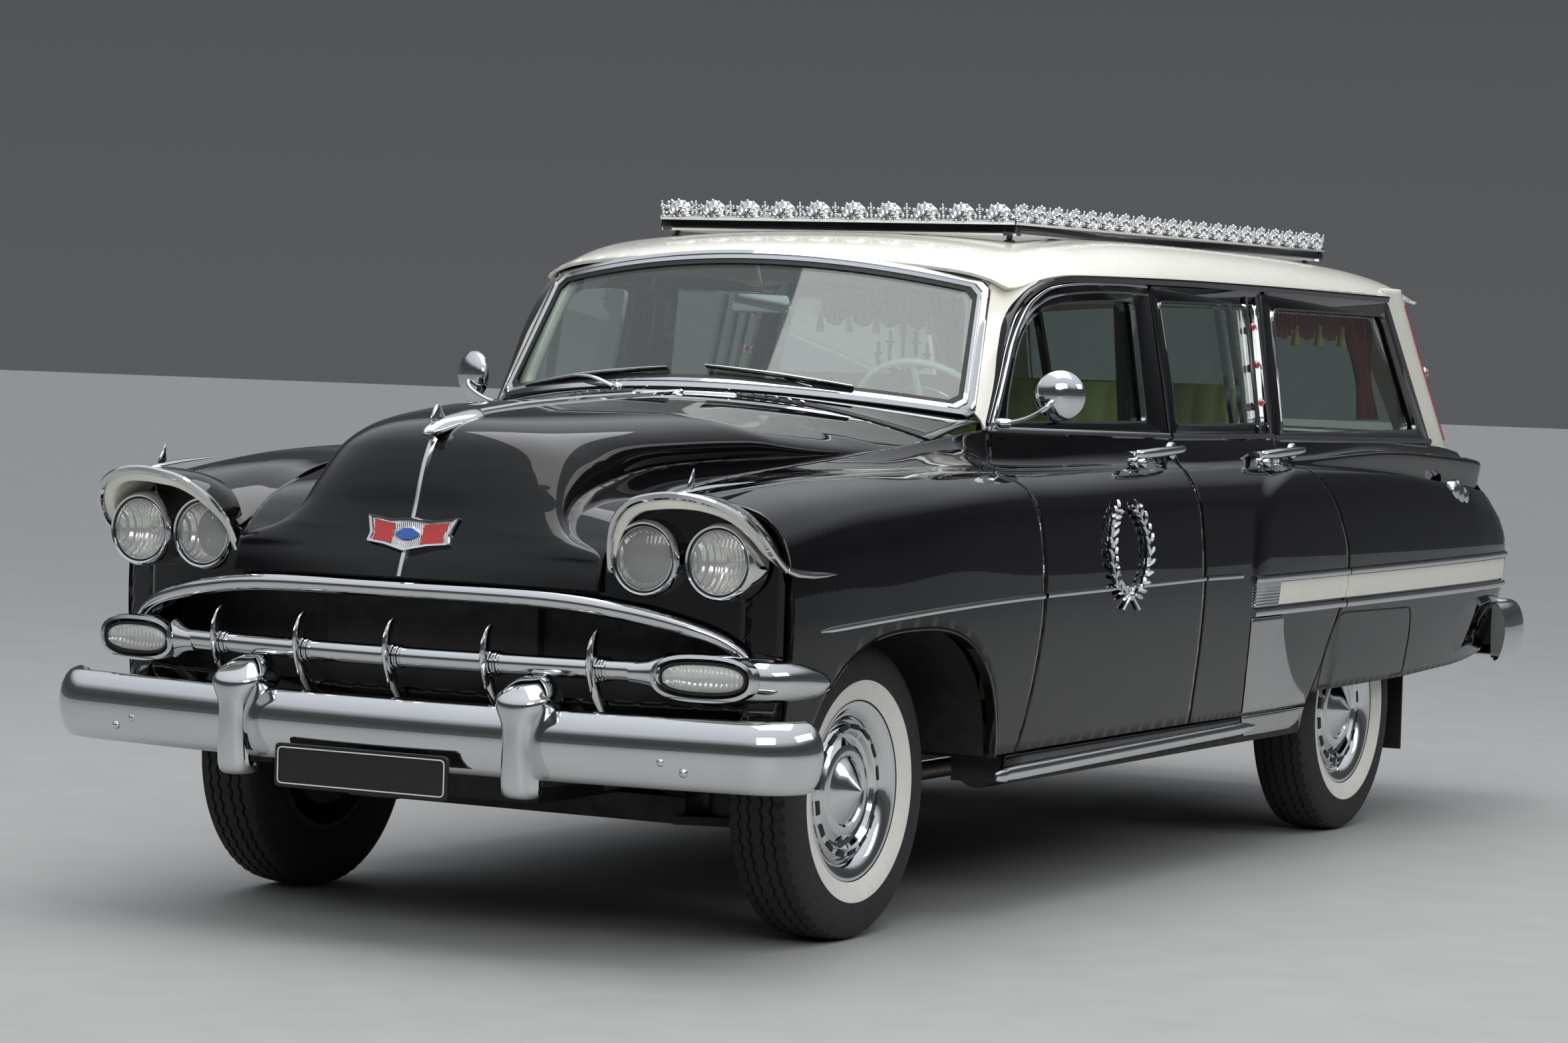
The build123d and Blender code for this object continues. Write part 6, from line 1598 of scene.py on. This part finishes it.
def crest(start, along, width, base_z):
    """One cast crest of the gallery: a domed fan with beads round its rim, and a small finial at its end."""
    out = Vector((along.y, -along.x, 0))
    middle = width / 2

    def at(u, v, w):
        return tuple(start + along * (middle + u) + Vector((0, 0, base_z + v)) + out * (w + v * CREST_LEAN))

    fan = [[at(CREST_HALF * r * cos(angle), 7 + CREST_TOP * r * sin(angle),
               dome + 3.2 * sin(pi * min(r * 1.15, 1)) * cos(14 * angle)) for angle in spaced(0, pi, 29)]
           for r, dome in ((0.0, 21), (0.25, 19), (0.5, 17), (0.75, 13), (0.92, 6), (1.0, 0))]
    rim = [((CREST_HALF - 2) * cos(angle), 7 + (CREST_TOP - 1) * sin(angle), 5, 5.2)
           for angle in [pi * (i + 0.5) / 7 for i in range(7)]]
    foot = [(u, 8, 22 - abs(u) * 0.3, 5.5) for u in (-26, -9, 9, 26)]
    finial = [(middle, v, 5, size) for v, size in ((8, 6.5), (19, 6), (30, 5.2), (40, 4.6), (48, 3.4))]
    finial += [(middle + lean, 37, 4, 3.6) for lean in (-8, 8)]
    return [skin(fan)] + [bead_ball(at(u, v, w), size) for u, v, w, size in rim + foot + finial]


def build_gallery():
    corners = [Vector((x, y, 0)) for x, y in ((-GALLERY_X, GALLERY_FRONT_Y), (GALLERY_X, GALLERY_FRONT_Y),
                                              (GALLERY_X, GALLERY_REAR_Y), (-GALLERY_X, GALLERY_REAR_Y))]
    rail_shape = [(2, -5), (4, 0), (2, 6), (-24, 6), (-24, -5)]
    base_shape = [(1, -20), (6, 12), (-20, 12), (-24, -20)]
    rails, bases = [], []
    for k, (name, count) in enumerate((("front", 10), ("left", 20), ("rear", 10), ("right", 20))):
        a, b = corners[k], corners[(k + 1) % 4]
        along = (b - a).normalized()
        out = Vector((along.y, -along.x, 0))
        width = (b - a).length / count
        parts = []
        for i in range(count):
            start = a + along * width * i - out * 16
            parts += crest(start, along, width, gallery_z(start.y) + 8)
        piece(f"gallery_{name}_crests", *merged(*parts), "chrome", angle=50)
        line = [a.lerp(b, t) for t in (0, 0.25, 0.5, 0.75, 1)]
        for drop, reach, bars, shape in ((14, 0, rails, rail_shape), (-14, -10, rails, rail_shape),
                                         (0, -7, bases, base_shape)):
            run = [tuple(p + Vector((0, 0, gallery_z(p.y) + drop)) + out * reach) for p in line]
            bars.append(swept(run, shape, outward=tuple(out)))
    piece("gallery_rail", *merged(*rails), "chrome", stands_for=["roof_gallery"])
    feet = [turned([(0, 15), (4, 14), (6, 8), (30, 8)], (x, y, roof_point(y, x / 880)[2] - 2), (0, 0, 1), 14)
            for x in (-490, 490) for y in (-330, 200, 700, 1200, 1650)]
    piece("gallery_base", *merged(*bases, *feet), "paint", bevel=1.5)


# Inside
def build_seats():
    bench("front_seat", -436, 190, 700, 1250, 612)
    bench("rear_seat", 304, 948, 690, 1244, 597)


def bench(node, front_y, rear_y, cushion_z, top_z, half):
    """A bench of a cushion and a back, crowned, with sewn pleats and a piped edge."""
    back_y = rear_y - 150
    profile = ((front_y + 46, cushion_z - 246), (front_y + 12, cushion_z - 130), (front_y, cushion_z - 40),
               (front_y + 34, cushion_z - 2), (front_y + 200, cushion_z + 2), (back_y - 40, cushion_z - 22),
               (back_y, cushion_z + 4), (back_y + 24, cushion_z + 240), (back_y + 58, top_z - 26),
               (back_y + 96, top_z - 2), (back_y + 134, top_z - 26), (back_y + 128, top_z - 240),
               (back_y + 112, cushion_z - 60), (back_y + 108, cushion_z - 160))
    curve = smooth_curve(profile, 5)
    rows = []
    for k, (y, z) in enumerate(curve):
        row = []
        for u in spaced(-1, 1, 121):
            depth = 6 * (1 - abs(sin(pi * (u * 9 + 0.5)))) if 14 < k < 48 else 0
            pull = 16 * (max(0, abs(u) - 0.93) / 0.07) ** 2
            dy, dz = (0, -1) if k < 26 else (1, 0)
            row.append((u * half, y + dy * (depth + pull * 0.6), z + dz * (depth + pull)))
        rows.append(row)
    made = piece(f"{node}_cushions", *skin(rows, flip=True), "leather", wall=10, angle=50, stands_for=[node])
    pipes = [swept([(x, y - 1, z + 2) for x, y, z in rows[k][3:-3:2]], ring_profile(3.5, 6), outward=(0, 0, 1))
             for k in (16, 38, 46)]
    pipes += [swept([(x, y - 2, z + 2) for x, y, z in [row[j] for row in rows[12:52]]], ring_profile(3.5, 6))
              for j in (4, 116)]
    piece(f"{node}_piping", *merged(*pipes), "piping")
    sides = [([(side * (half - 6), y, z) for y, z in curve], [tuple(range(len(curve)))[::side]]) for side in (1, -1)]
    piece(f"{node}_side_panels", *merged(*sides), "leather")


WHEEL_HUB = Vector((370, -505, 1140))
COLUMN_SLOPE = radians(35)


def build_controls():
    """Steering wheel, column, dashboard and mirror."""
    axis = Vector((0, cos(COLUMN_SLOPE), sin(COLUMN_SLOPE)))
    side = Vector((1, 0, 0))
    up = axis.cross(side)

    def spoke(angle):
        return side * cos(angle) + up * sin(angle)

    rim = []
    count = 120
    for i in range(count):
        swell = 9.5 * (1.1 if i % 3 else 0.88)
        rim += [tuple(WHEEL_HUB + spoke(2 * pi * i / count) * (204 + swell * cos(t)) + axis * swell * sin(t))
                for t in [2 * pi * k / 10 for k in range(10)]]
    spokes = [swept([tuple(WHEEL_HUB + spoke(angle) * r + axis * (-18 + 18 * (r / 200))) for r in spaced(20, 200, 8)],
                    ring_profile(10, 8, 0.6), outward=tuple(axis)) for angle in (radians(20), radians(160),
                                                                                 radians(270))]
    hub = turned([(-48, 30), (-20, 34), (2, 32), (8, 26)], tuple(WHEEL_HUB), tuple(axis), 32)
    piece("steering_wheel_rim", *merged((rim, grid_faces(count, 10, True, True)), *spokes, hub), "ivory",
          "steering_wheel", angle=60, stands_for=["steering_wheel"])
    ring = [tuple(WHEEL_HUB + spoke(radians(200) + radians(140) * i / 48) * 128 + axis * -4) for i in range(49)]
    centre = turned([(6, 27), (14, 22), (18, 10), (19, 0.5)], tuple(WHEEL_HUB), tuple(axis), 32)
    piece("horn_ring", *merged(centre, swept(ring, ring_profile(4, 8), outward=tuple(axis))), "chrome",
          "steering_wheel",
          angle=60)
    column = [tuple(WHEEL_HUB + axis * d) for d in (-52, -300, -600)]
    lever = [tuple(WHEEL_HUB + axis * -70 + side * d + up * (d * 0.4)) for d in (20, 90, 170)]
    piece("steering_column", *merged(swept(column, ring_profile(23, 16)), swept(lever, ring_profile(5, 8))), "dash",
          stands_for=["dashboard"])
    top = smooth_curve([(-1098, 1104), (-1020, 1112), (-940, 1108), (-900, 1090), (-884, 1050), (-892, 960),
                        (-915, 890), (-960, 862)], 4)
    rows = [[(x, y + 10 * (x / 670) ** 2, z) for x in spaced(-670, 670, 30)] for y, z in top]
    piece("dash_panel", *skin(rows), "dash", wall=8)
    dials = [turned([(-4, r), (6, r), (9, r - 5), (5, r - 8)], (x, -884, 1010), (0, 1, 0.15), 36)
             for x, r in ((370, 78), (250, 34), (490, 34))]
    strip = swept([(x, -884 + 10 * (x / 690) ** 2, 960) for x in spaced(-660, 660, 20)],
                  [(5, -14), (6, 0), (5, 14), (-3, 14), (-3, -14)], outward=(0, 1, 0))
    piece("dash_brightwork", *merged(*dials, strip), "chrome")
    glass = lofted([[(x, y, z) for x, z in rounded([(-88, 1418), (88, 1418), (80, 1468), (-80, 1468)], 18, 4)]
                    for y in (-742, -726)])
    stalk = swept([(0, -735, 1462), (0, -748, 1500), (4, -772, 1540)], ring_profile(5, 8))
    piece("inside_mirror", *merged(glass, stalk), "chrome", bevel=2)


def build_load_space():
    """Deck with runners, side linings, carpet and the dark candle stand at the front of the load space."""
    boards = [lofted([[(x, y, z) for x, z in ((left, 562), (left + 192, 562), (left + 192, 599), (left, 599))]
                      for y in (1003, 2117)]) for left in range(-586, 590, 196)]
    piece("deck_boards", *merged(*boards), "wood", bevel=2, stands_for=["casket_deck"])
    rails = [swept([(x, y, 612) for y in spaced(1030, 2090, 10)], [(10, -12), (16, 0), (10, 12), (-12, 14), (-12, -14)],
                   outward=(0, 0, 1)) for x in (-330, 330)]
    rollers = [turned([(-60, 0.5), (-60, 9), (60, 9), (60, 0.5)], (x, y, 616), (1, 0, 0), 16)
               for x in (-180, 180) for y in (1150, 1400, 1650, 1900)]
    piece("deck_runners", *merged(*rails, *rollers), "chrome", angle=60)
    stand = []
    for dx, height in ((-80, 18), (-42, 52), (0, 76), (42, 52), (80, 18)):
        line = smooth_curve([(-487, 985, 1250), (dx * 0.4 - 487, 985, 1264), (dx - 487, 985, 1284 + height * 0.2),
                             (dx - 487, 985, 1290 + height)], 5)
        stand.append(swept(line, ring_profile(6, 8), outward=(0, 1, 0)))
        stand.append(turned([(0, 4), (3, 13), (8, 15), (10, 6), (38, 6), (42, 0.5)], line[-1], (0, 0, 1), 16))
    stand.append(turned([(0, 70), (10, 66), (22, 20), (60, 12), (300, 10), (420, 14), (630, 9), (650, 0.5)],
                        (-487, 985, 602), (0, 0, 1), 20))
    piece("candle_stand", *merged(*stand), "underside", angle=50)
    walls = [skin([[(side * x, y, z) for y in spaced(980, 2100, 8)] for z, x in ((560, 640), (700, 770), (1080, 762))],
                  flip=side < 0) for side in (1, -1)]
    piece("load_space_lining", *merged(*walls), "carpet", wall=4)


def build_curtains():
    """A scalloped valance with tassels over each quarter window, and a gathered curtain tied at its rear."""
    front_y, width, drops, top_z = 812, 872, 5, 1500

    def valance(t, u):
        scallop = 66 + 42 * abs(sin(pi * drops * u)) ** 0.7
        fold = 5 * sin(2 * pi * u * 26) * (0.4 + 0.6 * t)
        return (668 + fold, front_y + width * u, top_z - 8 * u - scallop * t)

    def gathered(t, u):
        pinch = 1 - 0.62 * sin(pi * min(t, 0.72) / 0.72 * 0.5) ** 2 if t < 0.72 else lerp(0.38, 0.62, (t - 0.72) / 0.28)
        y = 1600 + 130 * t + (u - 0.5) * 230 * pinch
        return (672 + 16 * sin(2 * pi * u * 7) * (0.5 + 0.5 * pinch), y, 1490 - 330 * t)

    for side, word in ((1, "left"), (-1, "right")):
        rows = [[valance(t, u) for u in spaced(0, 1, 101)] for t in spaced(0, 1, 13)]
        made = piece(f"window_valance_{word}", *skin(rows), "cloth", wall=1.5, side=side, angle=60,
                     stands_for=["curtains"] if side > 0 else ())
        tassels = [turned([(0, 4), (-8, 9), (-16, 8), (-20, 5), (-24, 8), (-62, 14), (-64, 0.5)],
                          (670, front_y + width * k / drops, top_z - 66), (0, 0, 1), 14) for k in range(drops)]
        piece(f"valance_tassels_{word}", *merged(*tassels), "tassel", side=side)
        rows = [[gathered(t, u) for u in spaced(0, 1, 61)] for t in spaced(0, 1, 31)]
        drape = piece(f"window_curtain_{word}", *skin(rows), "cloth", wall=1.5, side=side, angle=60)


# Underside: the packed pieces keep their shapes and get their finish
CAD_FINISH = {"underside": ("chassis_frame", "engine", "front_suspension", "rear_axle", "fuel_tank", "floor_pan",
                            "knuckle_left", "knuckle_right"), "exhaust": ("exhaust",), "rubber": ("mud_flaps",)}


def finish_cad_nodes():
    for look, names in CAD_FINISH.items():
        material, slot = LOOKS[look]
        for name in names:
            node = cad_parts[name]
            node.data.materials.clear()
            node.data.materials.append(material)


# Stage
# The surroundings' grey, as (place from below to above, tone)
SKY_TONES = ((0.0, 0.10), (0.06, 0.09), (0.16, 0.06), (0.30, 0.08), (0.46, 0.66), (1.0, 0.95))
# The studio's lamps, as name, place, aim, width, height and power
STUDIO_LAMPS = (("overhead_lamp", (0.5, -0.5, 7.0), (0, 0, 0), 5.0, 8.0, 320),
                ("front_lamp", (5.0, -9.0, 5.5), (0, -1.5, 0.7), 5.0, 2.4, 210),
                ("side_lamp", (9.0, 1.5, 5.5), (0.8, 0.3, 0.8), 7.0, 2.2, 90))
FLOOR_HALF = 60.0


def build_stage():
    scene = bpy.context.scene
    scene.view_settings.view_transform = "Standard"
    mesh = bpy.data.meshes.new("studio_floor")
    mesh.from_pydata([(x * FLOOR_HALF, y * FLOOR_HALF, 0) for x, y in ((-1, -1), (1, -1), (1, 1), (-1, 1))], [],
                     [(0, 1, 2, 3)])
    floor = bpy.data.objects.new("studio_floor", mesh)
    scene.collection.objects.link(floor)
    floor.data.materials.append(surface("pale_floor", (0.38, 0.38, 0.37), (0.5, 0.62), shift=0.02, scale=2,
                                        grain=(60, 0.05, 0.002)))
    build_world(scene)
    for name, place, aim, width, height, power in STUDIO_LAMPS:
        lamp = bpy.data.lights.new(name, "AREA")
        lamp.shape = "RECTANGLE"
        lamp.size, lamp.size_y = width, height
        lamp.energy = power * settings().lamp_strength
        made = bpy.data.objects.new(name, lamp)
        made.location = place
        made.rotation_euler = (Vector(aim) - Vector(place)).to_track_quat("-Z", "Y").to_euler()
        scene.collection.objects.link(made)
    build_camera()


def build_world(scene):
    world = bpy.data.worlds.new("studio_light")
    scene.world = world
    world.use_nodes = True
    tree = world.node_tree
    back = tree.nodes["Background"]
    back.inputs["Strength"].default_value = 1.0
    space, split, ramp = [new_node(tree, kind) for kind in ("TexCoord", "SeparateXYZ", "ValToRGB")]
    link(tree, space.outputs["Generated"], split.inputs["Vector"])
    link(tree, split.outputs["Z"], ramp.inputs["Fac"])
    link(tree, ramp.outputs["Color"], back.inputs["Color"])
    stops = ramp.color_ramp.elements
    while len(stops) < len(SKY_TONES):
        stops.new(0.5)
    for stop, (place, tone) in zip(stops, SKY_TONES):
        stop.position = place
        stop.color = (tone * 0.97, tone * 1.01, tone * 1.07, 1)


CAMERA_PLACE = (5.424, -10.438, 1.394)
CAMERA_YAW, CAMERA_PITCH, CAMERA_ROLL = radians(28.843), radians(-2.581), radians(-1.624)


def build_camera():
    lens = bpy.data.cameras.new("photo_camera")
    lens.sensor_width = 36.0
    lens.sensor_fit = "HORIZONTAL"
    lens.lens = PHOTO_FOCAL * lens.sensor_width / PHOTO_WIDTH
    lens.clip_end = 200
    camera = bpy.data.objects.new("photo_camera", lens)
    bpy.context.scene.collection.objects.link(camera)
    turn = (Matrix.Rotation(CAMERA_YAW, 4, "Z") @ Matrix.Rotation(CAMERA_PITCH, 4, "X")
            @ Matrix.Rotation(CAMERA_ROLL, 4, "Y") @ Matrix.Rotation(pi / 2, 4, "X"))
    camera.matrix_world = Matrix.Translation(CAMERA_PLACE) @ turn
    bpy.context.scene.camera = camera


def operator_for(word, label, summary, *steps):
    """An operator class that runs some building steps in turn."""
    def execute(self, context):
        for step in steps:
            step()
        return {"FINISHED"}

    return type(f"HEARSE_OT_{word}", (bpy.types.Operator,),
                {"bl_idname": f"hearse.{word}", "bl_label": label, "__doc__": summary, "execute": execute})


OPERATORS = [operator_for(word, label, summary, *steps) for word, label, summary, *steps in (
    ("finishes", "Finishes", "Makes every paint, metal, glass, rubber and cloth", make_looks),
    ("stage", "Stage", "Makes the floor, the lamps and the camera", build_stage),
    ("wheels", "Wheels", "Builds the four whitewall tyres, rims and hub caps", build_wheels),
    ("wings", "Front wings", "Builds the front wings and wheel houses", build_wings),
    ("bonnet", "Bonnet", "Builds the bonnet, its mascot, strip and badge", build_bonnet),
    ("nose", "Nose", "Builds the nose round the grille mouth", build_nose),
    ("lamps", "Headlamps", "Builds the four headlamps and their visors", build_lamps, build_visors),
    ("grille", "Grille", "Builds the grille, its teeth and the parking lamps", build_grille),
    ("bumpers", "Bumpers", "Builds both bumpers, guards and plates", build_front_bumper, build_rear_bumper),
    ("doors", "Doors", "Builds the door skins and cards", build_doors),
    ("quarters", "Rear quarters", "Builds the rear quarters and skirts", build_quarters),
    ("windows", "Side windows", "Builds the side window frames and glass", build_windows),
    ("roof", "Roof", "Builds the roof, drip rails and pillars", build_roof),
    ("windscreen", "Windscreen", "Builds the windscreen, scuttle and wipers", build_windscreen),
    ("tail", "Tail", "Builds the tailgate, rear window and tail lamps", build_tail),
    ("side_trim", "Side trim", "Builds the strips, band, shields, sill and handles", build_side_trim),
    ("wreath", "Wreaths", "Builds the laurel wreath on each front door", build_wreath),
    ("mirrors", "Mirrors", "Builds the door mirrors and quarter bosses", build_bosses_and_mirrors),
    ("gallery", "Roof gallery", "Builds the crested gallery on the roof", build_gallery),
    ("seats", "Seats", "Builds the pleated bench seats", build_seats),
    ("controls", "Controls", "Builds the steering wheel, dash and inside mirror", build_controls),
    ("load_space", "Load space", "Builds the deck, its runners and the linings", build_load_space),
    ("curtains", "Curtains", "Builds the valances, tassels and curtains", build_curtains),
    ("underside", "Underside", "Gives the packed pieces their finish", finish_cad_nodes),
)]


class HEARSE_PT_panel(bpy.types.Panel):
    """Lists the hearse's pieces and settings in the sidebar"""
    bl_label = "Hearse"
    bl_idname = "HEARSE_PT_panel"
    bl_space_type = "VIEW_3D"
    bl_region_type = "UI"
    bl_category = "Hearse"

    def draw(self, context):
        chosen = context.scene.hearse
        for name in HearseSettings.__annotations__:
            self.layout.prop(chosen, name)
        for operator in OPERATORS:
            self.layout.operator(operator.bl_idname)


CLASSES = [HearseSettings, *OPERATORS, HEARSE_PT_panel]


def register():
    for made in CLASSES:
        bpy.utils.register_class(made)
    bpy.types.Scene.hearse = bpy.props.PointerProperty(type=HearseSettings)


def unregister():
    del bpy.types.Scene.hearse
    for made in reversed(CLASSES):
        bpy.utils.unregister_class(made)


def main():
    register()
    for operator in OPERATORS:
        group, word = operator.bl_idname.split(".")
        getattr(getattr(bpy.ops, group), word)()


if __name__ == "__main__":
    main()
